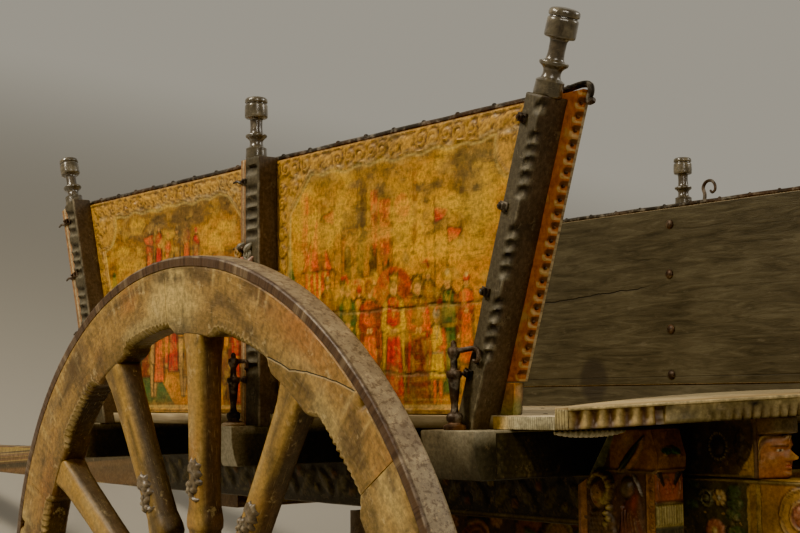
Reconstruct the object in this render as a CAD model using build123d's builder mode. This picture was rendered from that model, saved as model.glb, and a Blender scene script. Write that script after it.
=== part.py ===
"""Two-wheeled painted farm cart of the Sicilian kind, parked on its wheels and shaft tips.

The cart is drawn level, X forward (towards the shaft tips), Y to its left, Z up, with the
ground point under the axle at the origin.  Every piece is then turned nose-down by PARK_DEG
about the axle, so that the shaft tips stand on the ground, and shifted so that the origin is
the middle of the finished cart's footprint, on the ground.  Millimetres throughout.
"""

from build123d import *
from math import asin, atan2, cos, degrees, hypot, radians, sin
import os

# ---------------------------------------------------------------- driving dimensions
WHEEL_R = 675.0            # outside radius of the iron tyre
TYRE_T = 18.0              # tyre thickness
TYRE_W = 50.0              # tyre and felloe width
FELLOE_RI = 551.0          # inside radius of the felloes
FELLOE_GAP = 1.0           # open joint between felloes
N_FELLOES = 6
N_SPOKES = 12
SPOKE_TURN = -4.5          # turn of the first spoke from straight up, degrees
JOINT_TURN = 7.7           # from a spoke to the nearest felloe joint, degrees
SPOKE_HUB = (54.0, 50.0)   # spoke section at the hub, round the wheel and across it
SPOKE_RIM = (58.0, 48.0)   # spoke section at the rim
DISH = 6.0                 # how far the spokes lean outwards from hub to rim
HUB_R = 118.0
HUB_IN, HUB_OUT = -190.0, 110.0      # hub ends, from the rim's middle plane, outwards positive
BUSH_RI, BUSH_RO = 28.0, 38.0
ARM_R = 27.9               # axle arm
CAMBER = 2.35              # wheels lean out at the top, degrees
WHEEL_Y = 742.0            # rim's middle plane from the cart's middle
AXLE_BAR = 50.0            # square bar between the arms
AXLE_BAR_Z = 683.0

SHAFT_Y, SHAFT_W = 300.0, 70.0
SHAFT_BOTTOM, SHAFT_TOP = 915.0, 1000.0
SHAFT_TIP = 2550.0
TAIL = (-905.0, 880.0)     # rearmost corner of the shafts' deep carved tails

BEAM_BOTTOM, BEAM_TOP, BEAM_END = 1000.0, 1070.0, 640.0
FLOOR_TOP = 1090.0
FLOOR_HALF = 573.0
FLOOR_REAR, FLOOR_FRONT = -643.0, 838.0
N_PLANKS, PLANK_GAP = 7, 1.5

PANEL_OUT, PANEL_T = 556.0, 18.0
RAIL_TOP = 1136.0
PANEL_BOTTOM, PANEL_TOP = 1138.0, 1535.0
MID_X = 100.0
REAR_B, REAR_T = -480.3, -633.3      # rear post's line at FLOOR_TOP and at PANEL_TOP
FRONT_B, FRONT_T = 676.0, 820.0      # front post's line, likewise
PANEL_REAR_B, PANEL_REAR_T = -543.0, -692.0
PANEL_FRONT_B, PANEL_FRONT_T = 748.0, 889.0
POSTS = (  # line's x at foot and head, section fore and aft of it, depth, head over panel, finial at, scale
    ("rear", REAR_B, REAR_T, -33.0, 1.0, 50.0, 0.0, -16.0, 1.0),
    ("middle", MID_X, MID_X, -45.0, 21.0, 40.0, 6.0, -7.0, 0.92),
    ("front", FRONT_B, FRONT_T, -41.0, 25.0, 40.0, -1.0, -8.0, 0.91),
)

FERRULE_T, FERRULE_L = 4.0, 70.0     # iron socket on each shaft tip
TIP_X, TIP_BOTTOM, TIP_TOP = SHAFT_TIP + FERRULE_T, 922.95, 988.45

# the wheel's lowest point under the axle, then the nose-down angle at which the shaft tips
# come down to the same level, then the shifts that put the origin under the footprint's middle
DROP = WHEEL_R * cos(radians(CAMBER)) + (TYRE_W / 2 - 4) * sin(radians(CAMBER))
REACH = hypot(TIP_X, TIP_BOTTOM - WHEEL_R)
PARK_DEG = degrees(asin(DROP / REACH) + atan2(TIP_BOTTOM - WHEEL_R, TIP_X))


def parked_x(x, z):
    return x * cos(radians(PARK_DEG)) + (z - WHEEL_R) * sin(radians(PARK_DEG))


SHIFT_Z = DROP - WHEEL_R
SHIFT_X = -(parked_x(TIP_X, TIP_TOP) + parked_x(*TAIL)) / 2

LEVEL = Location((0, 0, 0))
PARK = (
    Location((SHIFT_X, 0, SHIFT_Z))
    * Location((0, 0, WHEEL_R))
    * Location((0, 0, 0), (0, PARK_DEG, 0))
    * Location((0, 0, -WHEEL_R))
)
c, s_ = cos(radians(CAMBER)), sin(radians(CAMBER))
WHEEL_AT = {
    "left": Plane(origin=(0, WHEEL_Y, WHEEL_R), x_dir=(1, 0, 0), z_dir=(0, c, -s_)).location,
    "right": Plane(origin=(0, -WHEEL_Y, WHEEL_R), x_dir=(1, 0, 0), z_dir=(0, -c, -s_)).location,
}
SIDES = (("left", 1), ("right", -1))

os.makedirs("parts", exist_ok=True)


def write(piece, label, at=LEVEL):
    """Puts a finished piece into the parked cart and writes it."""
    placed = piece.part.moved(PARK * at)
    placed.label = label
    export_step(placed, f"parts/{label}.step")


# ---------------------------------------------------------------- wheels, local +Z outwards
with BuildPart() as tyre:
    with BuildSketch():
        Circle(WHEEL_R)
        Circle(WHEEL_R - TYRE_T, mode=Mode.SUBTRACT)
    extrude(amount=TYRE_W / 2, both=True)
    rims = tyre.edges().filter_by(GeomType.CIRCLE).group_by(SortBy.RADIUS)[-1]
    chamfer(rims, length=4)

with BuildPart() as felloes:
    with BuildSketch():
        Circle(WHEEL_R - TYRE_T)
        Circle(FELLOE_RI, mode=Mode.SUBTRACT)
    extrude(amount=TYRE_W / 2, both=True)
    with BuildSketch(Plane.XY.offset(-TYRE_W)) as joints:
        with PolarLocations((WHEEL_R + FELLOE_RI) / 2, N_FELLOES, start_angle=90 + SPOKE_TURN + JOINT_TURN):
            Rectangle(WHEEL_R - FELLOE_RI + 60, FELLOE_GAP)
    extrude(amount=2 * TYRE_W, mode=Mode.SUBTRACT)

with BuildPart() as one_spoke:
    with BuildSketch(Plane.YZ.offset(HUB_R + 0.3)):
        with Locations((0, -DISH)):
            RectangleRounded(SPOKE_HUB[0], SPOKE_HUB[1], 14)
    with BuildSketch(Plane.YZ.offset(FELLOE_RI - 1.4)):
        RectangleRounded(SPOKE_RIM[0], SPOKE_RIM[1], 14)
    loft()

with BuildPart() as spokes:
    with PolarLocations(0, N_SPOKES, start_angle=90 + SPOKE_TURN):
        add(one_spoke.part)

# hub outline: height along the axle, radius
HUB_LINE = (
    (HUB_IN, 78), (HUB_IN + 26, 78), (HUB_IN + 26, 90), (HUB_IN + 40, 94), (HUB_IN + 62, 84),
    (-DISH - 52, 100), (-DISH - 38, HUB_R), (-DISH + 38, HUB_R), (-DISH + 50, 98),
    (HUB_OUT - 56, 80), (HUB_OUT - 40, 86), (HUB_OUT - 24, 84), (HUB_OUT - 24, 72), (HUB_OUT, 72),
)
with BuildPart() as hub:
    with BuildSketch(Plane.XZ):
        with BuildLine():
            Polyline(*[(r, z) for z, r in HUB_LINE], (BUSH_RO, HUB_OUT), (BUSH_RO, HUB_IN), close=True)
        make_face()
    revolve(axis=Axis.Z)

with BuildPart() as hub_bush:
    with BuildSketch(Plane.XY.offset(HUB_IN - 1)):
        Circle(BUSH_RO)
        Circle(BUSH_RI, mode=Mode.SUBTRACT)
    extrude(amount=HUB_OUT - HUB_IN + 2)

with BuildPart() as hub_bands:
    for z0, r0, w in ((HUB_IN + 1, 78, 24), (HUB_OUT - 23, 72, 22)):
        with BuildSketch(Plane.XY.offset(z0)):
            Circle(r0 + 6)
            Circle(r0, mode=Mode.SUBTRACT)
        extrude(amount=w)

for side, s in SIDES:
    for piece, label in ((tyre, "tyre"), (felloes, "felloes"), (spokes, "spokes"), (hub, "hub"),
                         (hub_bush, "hub_bush"), (hub_bands, "hub_bands")):
        write(piece, f"{label}_{side}", WHEEL_AT[side])

# ---------------------------------------------------------------- axle and its carved case
with BuildPart() as axle:
    with Locations((0, 0, AXLE_BAR_Z)):
        Box(AXLE_BAR, 1090, AXLE_BAR)
    for side, s in SIDES:
        arm = Plane(WHEEL_AT[side])
        with BuildSketch(arm.offset(HUB_IN - 35)):
            Circle(ARM_R)
        extrude(amount=140 - (HUB_IN - 35))
        with BuildSketch(arm.offset(HUB_IN - 32)):
            Circle(50)
        extrude(amount=26)
write(axle, "axle")

with BuildPart() as axle_nut:
    with BuildSketch(Plane.XZ):
        with BuildLine():
            Polyline((ARM_R + 0.05, HUB_OUT + 6), (50, HUB_OUT + 6), (50, HUB_OUT + 13), (40, HUB_OUT + 15),
                     (40, HUB_OUT + 34), (30, HUB_OUT + 44), (0, HUB_OUT + 44), (0, 140.2),
                     (ARM_R + 0.05, 140.2), close=True)
        make_face()
    revolve(axis=Axis.Z)
with BuildPart() as axle_nuts:
    for side, s in SIDES:
        with Locations(WHEEL_AT[side]):
            add(axle_nut.part)
write(axle_nuts, "axle_nuts")

CASE_BOTTOM, CASE_TOP, CASE_X = AXLE_BAR_Z + AXLE_BAR / 2, SHAFT_BOTTOM, 120.0
with BuildPart() as axle_case:
    with BuildSketch(Plane.YZ.offset(-CASE_X / 2)):
        with BuildLine():
            Line((-470, CASE_BOTTOM), (470, CASE_BOTTOM))
            Line((470, CASE_BOTTOM), (470, CASE_BOTTOM + 55))
            ThreePointArc((470, CASE_BOTTOM + 55), (425, CASE_BOTTOM + 82), (400, CASE_BOTTOM + 130))
            Line((400, CASE_BOTTOM + 130), (400, CASE_TOP))
            Line((400, CASE_TOP), (-400, CASE_TOP))
            Line((-400, CASE_TOP), (-400, CASE_BOTTOM + 130))
            ThreePointArc((-400, CASE_BOTTOM + 130), (-425, CASE_BOTTOM + 82), (-470, CASE_BOTTOM + 55))
            Line((-470, CASE_BOTTOM + 55), (-470, CASE_BOTTOM))
        make_face()
    extrude(amount=CASE_X)
write(axle_case, "axle_case")

# wrought scrolls before and behind the case: rings joined by bars, 10 thick
RING_Y = (-180.0, -60.0, 60.0, 180.0)
for label, x0 in (("scrollwork_front", CASE_X / 2), ("scrollwork_rear", -CASE_X / 2 - 10)):
    with BuildPart() as scrolls:
        with BuildSketch(Plane.YZ.offset(x0)):
            with Locations(*[(y, CASE_BOTTOM - 55) for y in RING_Y]):
                Circle(52)
            with Locations((0, CASE_BOTTOM + 8)):
                Rectangle(600, 16)
            with Locations(*[(y, CASE_BOTTOM - 55) for y in RING_Y]):
                Circle(42, mode=Mode.SUBTRACT)
        extrude(amount=10)
    write(scrolls, label)

# ---------------------------------------------------------------- shafts
SHAFT_SIDE = (  # x, z round the shaft's side view
    TAIL, (-893, 905), (-893, 940), (-905, 968), (-893, SHAFT_TOP), (950, SHAFT_TOP),
    (SHAFT_TIP, 984), (SHAFT_TIP, 928), (950, SHAFT_BOTTOM), (-660, SHAFT_BOTTOM), (-700, 872), (-880, 862),
)
for side, s in SIDES:
    with BuildPart() as shaft:
        with BuildSketch(Plane.XZ.offset(-(s * SHAFT_Y + SHAFT_W / 2))):
            with BuildLine():
                Polyline(*SHAFT_SIDE, close=True)
            make_face()
        extrude(amount=SHAFT_W)
    write(shaft, f"shaft_{side}")

with BuildPart() as shaft_ferrules:
    for side, s in SIDES:
        with BuildSketch(Plane.YZ.offset(SHAFT_TIP - FERRULE_L)):
            with Locations((s * SHAFT_Y, 955.7)):
                Rectangle(SHAFT_W + 2 * FERRULE_T, 57.5 + 2 * FERRULE_T)
        extrude(amount=FERRULE_L + FERRULE_T)
    for side, s in SIDES:
        with BuildSketch(Plane.YZ.offset(SHAFT_TIP - FERRULE_L - 1)):
            with Locations((s * SHAFT_Y, 955.7)):
                Rectangle(SHAFT_W, 58.6)
        extrude(amount=FERRULE_L + 1, mode=Mode.SUBTRACT)
write(shaft_ferrules, "shaft_ferrules")

EYE_X, EYE_Z, EYE_R, EYE_T = 1950.0, 1016.0, 12.0, 10.0
with BuildPart() as harness_eyes:
    for side, s in SIDES:
        with BuildSketch(Plane.XZ.offset(-(s * SHAFT_Y + EYE_T / 2))):
            with Locations((EYE_X, EYE_Z)):
                Circle(22)
            with Locations((EYE_X, EYE_Z - 12.6)):
                Rectangle(44, 24)
            with Locations((EYE_X, EYE_Z)):
                Circle(EYE_R, mode=Mode.SUBTRACT)
            with Locations((EYE_X, 960.0)):
                Rectangle(80, 62, mode=Mode.SUBTRACT)
        extrude(amount=EYE_T)
write(harness_eyes, "harness_eyes")

with BuildPart() as shaft_clamps:
    for side, s in SIDES:
        with BuildSketch(Plane.YZ.offset(-20)):
            with Locations((s * SHAFT_Y, (CASE_TOP + SHAFT_TOP + 8) / 2)):
                Rectangle(SHAFT_W + 16, SHAFT_TOP + 8 - CASE_TOP)
            with Locations((s * SHAFT_Y, (CASE_TOP + SHAFT_TOP) / 2 - 5)):
                Rectangle(SHAFT_W, SHAFT_TOP - CASE_TOP + 10, mode=Mode.SUBTRACT)
        extrude(amount=40)
write(shaft_clamps, "shaft_clamps")

# ---------------------------------------------------------------- crossbeams, x centre and width
for label, x0, w in (("rear_crossbeam", -494.0, 118.0), ("middle_crossbeam", MID_X, 50.0),
                     ("front_crossbeam", 678.0, 60.0)):
    with BuildPart() as beam:
        with BuildSketch(Plane.YZ.offset(x0 - w / 2)):
            with BuildLine():
                Polyline((-BEAM_END, BEAM_TOP), (BEAM_END, BEAM_TOP), (BEAM_END - 8, BEAM_BOTTOM + 6),
                         (BEAM_END - 14, BEAM_BOTTOM), (14 - BEAM_END, BEAM_BOTTOM),
                         (8 - BEAM_END, BEAM_BOTTOM + 6), close=True)
            make_face()
        extrude(amount=w)
    write(beam, label)

# carved keys under the end crossbeams, between the shafts
KEY_BOTTOM = 880.0
SHAFT_IN, SHAFT_OUT = SHAFT_Y - SHAFT_W / 2, SHAFT_Y + SHAFT_W / 2
for label, x0, x1 in (("rear_key", -600.0, -500.0), ("front_key", 650.0, 740.0)):
    with BuildPart() as key:
        with BuildSketch(Plane.XY.offset(KEY_BOTTOM)):
            with Locations(((x0 + x1) / 2, 0)):
                Rectangle(x1 - x0, 2 * SHAFT_IN)
        extrude(amount=BEAM_BOTTOM - KEY_BOTTOM)
    write(key, label)

# ---------------------------------------------------------------- floor and its end shelves
plank = (2 * FLOOR_HALF - (N_PLANKS - 1) * PLANK_GAP) / N_PLANKS
with BuildPart() as floor_boards:
    with BuildSketch(Plane.XY.offset(BEAM_TOP)):
        with Locations(((FLOOR_REAR + FLOOR_FRONT) / 2, 0)):
            with GridLocations(0, plank + PLANK_GAP, 1, N_PLANKS):
                Rectangle(FLOOR_FRONT - FLOOR_REAR, plank)
    extrude(amount=FLOOR_TOP - BEAM_TOP)
write(floor_boards, "floor_boards")

# shelf: bowed outline in plan, crowned a little in the middle
for label, x0, reach in (("rear_shelf", FLOOR_REAR - 0.5, -250.0), ("front_shelf", FLOOR_FRONT + 0.5, 180.0)):
    with BuildPart() as shelf:
        with BuildSketch(Plane.XY.offset(BEAM_TOP - 1)):
            with BuildLine():
                Line((x0, FLOOR_HALF), (x0, -FLOOR_HALF))
                Line((x0, -FLOOR_HALF), (x0 + 0.10 * reach, -FLOOR_HALF))
                ThreePointArc((x0 + 0.10 * reach, -FLOOR_HALF), (x0 + 0.72 * reach, -400),
                              (x0 + reach, 0))
                ThreePointArc((x0 + reach, 0), (x0 + 0.72 * reach, 400), (x0 + 0.10 * reach, FLOOR_HALF))
                Line((x0 + 0.10 * reach, FLOOR_HALF), (x0, FLOOR_HALF))
            make_face()
        extrude(amount=70)
        with BuildSketch(Plane.YZ.offset(min(x0, x0 + reach) - 5)):
            with BuildLine():
                ThreePointArc((-600, 1068.5), (0, 1094), (600, 1068.5))
                Line((600, 1068.5), (600, 1099))
                ThreePointArc((600, 1099), (0, 1123), (-600, 1099))
                Line((-600, 1099), (-600, 1068.5))
            make_face()
        extrude(amount=abs(reach) + 10, mode=Mode.INTERSECT)
    write(shelf, label)

# blocks on the shafts that carry the shelves; the rear ones are carved tails
with BuildPart() as shelf_blocks:
    for side, s in SIDES:
        with BuildSketch(Plane.XZ.offset(-(s * SHAFT_Y + SHAFT_W / 2))):
            with BuildLine():
                Polyline((-655, SHAFT_TOP), (-655, 1085), (-826, 1085), (-825, 1062), (-829, 1046),
                         (-837, 1034), (-830, 1026), (-831, 1010), (-828, SHAFT_TOP), close=True)
            make_face()
            with Locations((930, (SHAFT_TOP + 1085) / 2)):
                Rectangle(120, 1085 - SHAFT_TOP)
        extrude(amount=SHAFT_W)
write(shelf_blocks, "shelf_blocks")

# carved side brackets under the rear shelf
with BuildPart() as rear_brackets:
    for side, s in SIDES:
        with BuildSketch(Plane.XZ.offset(-(s * 392 + 30))):
            with BuildLine():
                Polyline((-545, 872), (-535, 885), (-535, 985), (-556, 998), (-604, 1069), (-680, 1069),
                         (-692, 1030), (-690, 1012), (-684, 1008), (-684, 872), close=True)
            make_face()
        extrude(amount=60)
write(rear_brackets, "rear_brackets")

# ---------------------------------------------------------------- box sides
for side, s in SIDES:
    with BuildPart() as rail:
        with BuildSketch(Plane.XZ.offset(-s * PANEL_OUT)):
            with BuildLine():
                Polyline((PANEL_REAR_B, FLOOR_TOP), (PANEL_REAR_B - 4, RAIL_TOP), (PANEL_FRONT_B + 4, RAIL_TOP),
                         (PANEL_FRONT_B, FLOOR_TOP), close=True)
            make_face()
        extrude(amount=s * PANEL_T)
    write(rail, f"side_rail_{side}")
    with BuildPart() as panel:
        with BuildSketch(Plane.XZ.offset(-s * PANEL_OUT)):
            with BuildLine():
                Polyline((PANEL_REAR_B - 12, PANEL_BOTTOM), (PANEL_REAR_T, PANEL_TOP),
                         (PANEL_FRONT_T, PANEL_TOP), (PANEL_FRONT_B + 12, PANEL_BOTTOM), close=True)
            make_face()
        extrude(amount=s * PANEL_T)
    write(panel, f"side_panel_{side}")

# posts, each a leaning bar with a turned finial
FINIAL = (  # height above the square part, radius
    (0, 20), (20, 20.5), (22, 18), (24, 14.5), (32, 12.5), (38, 14.5), (42, 19.5), (45, 20.5),
    (47, 20), (49, 14), (54, 12.5), (74, 12), (78, 12.8), (79, 19.5), (81, 21.5), (83, 22),
    (105, 22.3), (107, 21), (107.5, 20), (109.5, 20.3), (110, 21.8), (117, 21.5), (120, 18),
    (121.5, 12), (122, 0),
)
for label, xb, xt, fore, aft, deep, head, at, k in POSTS:
    lean = (xt - xb) / (PANEL_TOP - FLOOR_TOP)
    for side, s in SIDES:
        foot = Plane(origin=(xb + lean * (BEAM_TOP - FLOOR_TOP), s * (PANEL_OUT + deep / 2), BEAM_TOP),
                     x_dir=(1, 0, -lean), z_dir=(lean, 0, 1))
        length = (PANEL_TOP + head - BEAM_TOP) * (1 + lean * lean) ** 0.5
        turned = Plane(origin=foot.origin + foot.x_dir * at, x_dir=foot.x_dir, z_dir=-foot.y_dir)
        with BuildPart() as post:
            with BuildSketch(foot.offset(-30)):
                with Locations(((fore + aft) / 2, 0)):
                    Rectangle(aft - fore, deep)
            extrude(amount=length + 30)
            with BuildSketch(turned):
                with BuildLine():
                    Polyline(*[(r * k, length + h * k) for h, r in FINIAL], (0, length - 5), (14, length - 5),
                             close=True)
                make_face()
            revolve(axis=Axis(turned.origin, foot.z_dir))
            split(bisect_by=Plane.XY.offset(BEAM_TOP), keep=Keep.TOP)
            with Locations((xb, s * (FLOOR_HALF - 50), FLOOR_TOP - 25 + 0.3)):
                Box(200, 100.6, 50, mode=Mode.SUBTRACT)
        write(post, f"{label}_post_{side}")

# turned iron stays on the crossbeam ends, tied to the posts
STAY = (  # height above the crossbeam, radius
    (0, 16.5), (6, 16.5), (8, 12), (14, 11), (18, 6), (26, 6), (40, 8), (72, 7), (76, 11), (82, 11),
    (86, 6), (104, 6), (108, 10), (114, 10), (118, 5), (128, 3), (128, 0), (0, 0),
)
with BuildPart() as post_stays:
    for x0, y0, x1, x2, deep in ((REAR_B - 12, 623.0, -520.0, -486.0, 50.0),
                                 (MID_X, 620.0, MID_X - 6, MID_X + 6, 40.0), (684.0, 620.0, 678.0, 690.0, 40.0)):
        near = PANEL_OUT + deep + 0.2
        for side, s in SIDES:
            with BuildSketch(Plane(origin=(x0, s * y0, BEAM_TOP), x_dir=(1, 0, 0), z_dir=(0, -1, 0))):
                with BuildLine():
                    Polyline(*[(r, h) for h, r in STAY], close=True)
                make_face()
            revolve(axis=Axis((x0, s * y0, BEAM_TOP), (0, 0, 1)))
            with Locations(((x1 + x2) / 2, s * (near + y0 + 2) / 2, BEAM_TOP + 111)):
                Box(x2 - x1, y0 + 2 - near, 6)
write(post_stays, "post_stays")

# iron rods along the top edges, bent down in a hook at both ends
ROD_R = 5.0
for side, s in SIDES:
    y, z = s * (PANEL_OUT - PANEL_T / 2), PANEL_TOP + ROD_R + 0.1
    with BuildPart() as rod:
        with BuildLine() as path:
            FilletPolyline((PANEL_REAR_T - 6.5, y, z - 22), (PANEL_REAR_T - 6.5, y, z + 1),
                           (PANEL_REAR_T + 12, y, z + 4), (PANEL_REAR_T + 60, y, z),
                           (PANEL_FRONT_T - 60, y, z), (PANEL_FRONT_T - 12, y, z + 4),
                           (PANEL_FRONT_T + 6.5, y, z + 1), (PANEL_FRONT_T + 6.5, y, z - 22), radius=7)
        with BuildSketch(Plane(path.line @ 0, z_dir=path.line % 0)):
            Circle(ROD_R)
        sweep()
    write(rod, f"top_rod_{side}")
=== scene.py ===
import math
import bmesh
import bpy
import numpy as np
from mathutils import Matrix, Vector


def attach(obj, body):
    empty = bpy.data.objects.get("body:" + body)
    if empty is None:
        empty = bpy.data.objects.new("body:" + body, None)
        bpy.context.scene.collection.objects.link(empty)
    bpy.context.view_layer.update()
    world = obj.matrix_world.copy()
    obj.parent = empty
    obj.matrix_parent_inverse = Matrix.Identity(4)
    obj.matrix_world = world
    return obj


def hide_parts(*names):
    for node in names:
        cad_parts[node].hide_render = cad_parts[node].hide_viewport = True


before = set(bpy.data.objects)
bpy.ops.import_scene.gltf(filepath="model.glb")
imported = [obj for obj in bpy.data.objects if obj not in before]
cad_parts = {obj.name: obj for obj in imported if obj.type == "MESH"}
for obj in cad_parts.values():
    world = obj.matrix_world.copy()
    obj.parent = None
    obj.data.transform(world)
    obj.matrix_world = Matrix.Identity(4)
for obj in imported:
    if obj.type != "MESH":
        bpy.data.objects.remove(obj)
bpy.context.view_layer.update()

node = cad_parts
pi, sin, cos, rad = math.pi, math.sin, math.cos, math.radians

# the cart is drawn level in metres, X forward, Y left, Z up, ground point under the axle at the
# origin, then turned nose-down about the axle and shifted, exactly as the CAD pieces are
R = 0.675
PHI = rad(20.803245852402)
SX, SZ = -0.8628135127889659, 0.000293398827888268
PARK = (Matrix.Translation((SX, 0, SZ)) @ Matrix.Translation((0, 0, R))
        @ Matrix.Rotation(PHI, 4, "Y") @ Matrix.Translation((0, 0, -R)))
PK = np.array(PARK)


# ================================================================== numbers and noise
def arr(*rows):
    return np.array(rows, float)


def unit(v):
    v = np.asarray(v, float)
    return v / np.linalg.norm(v, axis=-1, keepdims=True)


def smooth(a, b, x):
    t = np.clip((np.asarray(x, float) - a) / (b - a), 0, 1)
    return t * t * (3 - 2 * t)


def _hash(i, j, k, seed):
    h = (i.astype(np.int64) * 374761393 + j.astype(np.int64) * 668265263
         + k.astype(np.int64) * 2147483647 + seed * 1274126177)
    h = (h ^ (h >> 13)) * 1103515245
    h = (h ^ (h >> 16)) & 0xFFFFFF
    return h / float(0xFFFFFF) * 2 - 1


def vnoise(P, scale, seed=0):
    """Value noise, -1 to 1, at points P, with features of the given size in metres."""
    P = np.asarray(P, float) / scale
    f = np.floor(P)
    t = P - f
    t = t * t * (3 - 2 * t)
    i, j, k = (f[..., n].astype(np.int64) for n in range(3))
    out = 0
    for a in (0, 1):
        for b in (0, 1):
            for c in (0, 1):
                w = ((t[..., 0] if a else 1 - t[..., 0]) * (t[..., 1] if b else 1 - t[..., 1])
                     * (t[..., 2] if c else 1 - t[..., 2]))
                out = out + w * _hash(i + a, j + b, k + c, seed)
    return out


def fnoise(P, scale, seed=0, octaves=3):
    out, amp, tot = 0, 1.0, 0.0
    for o in range(octaves):
        out = out + amp * vnoise(P, scale / 2 ** o, seed + 17 * o)
        tot += amp
        amp *= 0.5
    return out / tot


# ================================================================== mesh making
class Geo:
    """A growing mesh in cart coordinates, with an optional value for each point."""

    def __init__(self):
        self.V, self.F, self.L, self.C, self.n = [], [], [], [], 0

    def add(self, V, F, lp=None, mi=0, col=None):
        V = np.asarray(V, float).reshape(-1, 3)
        self.V.append(V)
        self.L.append(V if lp is None else np.asarray(lp, float).reshape(-1, 3))
        self.C.append(np.tile(arr(1, 1, 1), (len(V), 1)) if col is None
                      else np.broadcast_to(np.asarray(col, float), (len(V), 3)))
        for f in F:
            f = np.atleast_2d(np.asarray(f, int))
            if len(f):
                self.F.append((f + self.n, mi))
        self.n += len(V)
        return self


def make(name, g, mats, body="cart", replaces=(), angle=35, recalc=True, col=False):
    """Turns a Geo into a named piece of the parked cart."""
    V = np.concatenate(g.V)
    L = np.concatenate(g.L)
    W = V @ PK[:3, :3].T + PK[:3, 3]
    me = bpy.data.meshes.new(name)
    me.vertices.add(len(W))
    me.vertices.foreach_set("co", W.astype(np.float32).ravel())
    loops = np.concatenate([f.ravel() for f, _ in g.F])
    sizes = np.concatenate([np.full(len(f), f.shape[1]) for f, _ in g.F])
    mi = np.concatenate([np.full(len(f), m) for f, m in g.F])
    me.loops.add(len(loops))
    me.loops.foreach_set("vertex_index", loops.astype(np.int32))
    me.polygons.add(len(sizes))
    me.polygons.foreach_set("loop_start", (np.cumsum(sizes) - sizes).astype(np.int32))
    me.polygons.foreach_set("material_index", mi.astype(np.int32))
    me.update(calc_edges=True)
    me.validate()
    for m in (mats if isinstance(mats, (list, tuple)) else [mats]):
        me.materials.append(m)
    a = me.attributes.new("lp", "FLOAT_VECTOR", "POINT")
    a.data.foreach_set("vector", L.astype(np.float32).ravel())
    if col:
        a = me.attributes.new("paint", "FLOAT_VECTOR", "POINT")
        a.data.foreach_set("vector", np.concatenate(g.C).astype(np.float32).ravel())
    if recalc:
        bm = bmesh.new()
        bm.from_mesh(me)
        bmesh.ops.recalc_face_normals(bm, faces=bm.faces)
        bm.to_mesh(me)
        bm.free()
    me.polygons.foreach_set("use_smooth", np.ones(len(me.polygons), bool))
    me.set_sharp_from_angle(angle=rad(angle))
    o = bpy.data.objects.new(name, me)
    bpy.context.scene.collection.objects.link(o)
    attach(o, body)
    if replaces:
        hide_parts(*replaces)
    return o


def quads(nu, nv, close_u=False, close_v=False, flip=False):
    """Faces of a grid whose point (i, j) is number i * nv + j."""
    iu = np.arange(nu if close_u else nu - 1)
    jv = np.arange(nv if close_v else nv - 1)
    i, j = np.meshgrid(iu, jv, indexing="ij")
    i2, j2 = (i + 1) % nu, (j + 1) % nv
    f = np.stack([i * nv + j, i2 * nv + j, i2 * nv + j2, i * nv + j2], -1).reshape(-1, 4)
    return f[:, ::-1] if flip else f


def loft(rings, closed_ring=True, caps=True, loop=False):
    """Skins equal rings, an array (n, m, 3), with flat ends. Returns points and face sets."""
    rings = np.asarray(rings, float)
    n, m = rings.shape[:2]
    F = [quads(n, m, close_u=loop, close_v=closed_ring)]
    if caps and not loop:
        F += [np.arange(m)[::-1][None], (np.arange(m) + (n - 1) * m)[None]]
    return rings.reshape(-1, 3), F


def fan_caps(rings):
    """Skins rings and closes both ends with fans round their middle points."""
    rings = np.asarray(rings, float)
    n, m = rings.shape[:2]
    V = np.concatenate([rings.reshape(-1, 3), rings[0].mean(0)[None], rings[-1].mean(0)[None]])
    a, b = n * m, n * m + 1
    k = np.arange(m)
    k2 = (k + 1) % m
    F = [quads(n, m, close_v=True), np.stack([k2, k, np.full(m, a)], -1),
         np.stack([k + (n - 1) * m, k2 + (n - 1) * m, np.full(m, b)], -1)]
    return V, F


def frame_of(axis, hint=(0, 0, 1)):
    z = unit(np.asarray(axis, float))
    h = np.asarray(hint, float)
    if abs(h @ z) > 0.95:
        h = np.array((1.0, 0, 0))
    x = unit(np.cross(h, z))
    return x, np.cross(z, x), z


def lathe(profile, o, axis, n=32, hint=(0, 0, 1), shape=None):
    """Turned solid: profile rows are height along the axis and radius, in metres."""
    x, y, z = frame_of(axis, hint)
    p = np.asarray(profile, float)
    a = np.arange(n) * 2 * pi / n
    r = np.maximum(p[:, 1], 1e-5)[:, None] * (np.ones(n)[None] if shape is None else shape(p[:, 0][:, None], a[None]))
    P = (np.asarray(o, float) + p[:, 0][:, None, None] * z
         + r[..., None] * (cos_(a)[None, :, None] * x + sin_(a)[None, :, None] * y))
    return fan_caps(P)


def cos_(a):
    return np.cos(a)


def sin_(a):
    return np.sin(a)


def finer(profile, step):
    """Adds rows to a profile so that no run is longer than step."""
    p = np.asarray(profile, float)
    out = [p[0]]
    for a, b in zip(p[:-1], p[1:]):
        k = max(1, int(math.ceil(np.linalg.norm(b - a) / step)))
        for i in range(1, k + 1):
            out.append(a + (b - a) * i / k)
    return np.array(out)


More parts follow.
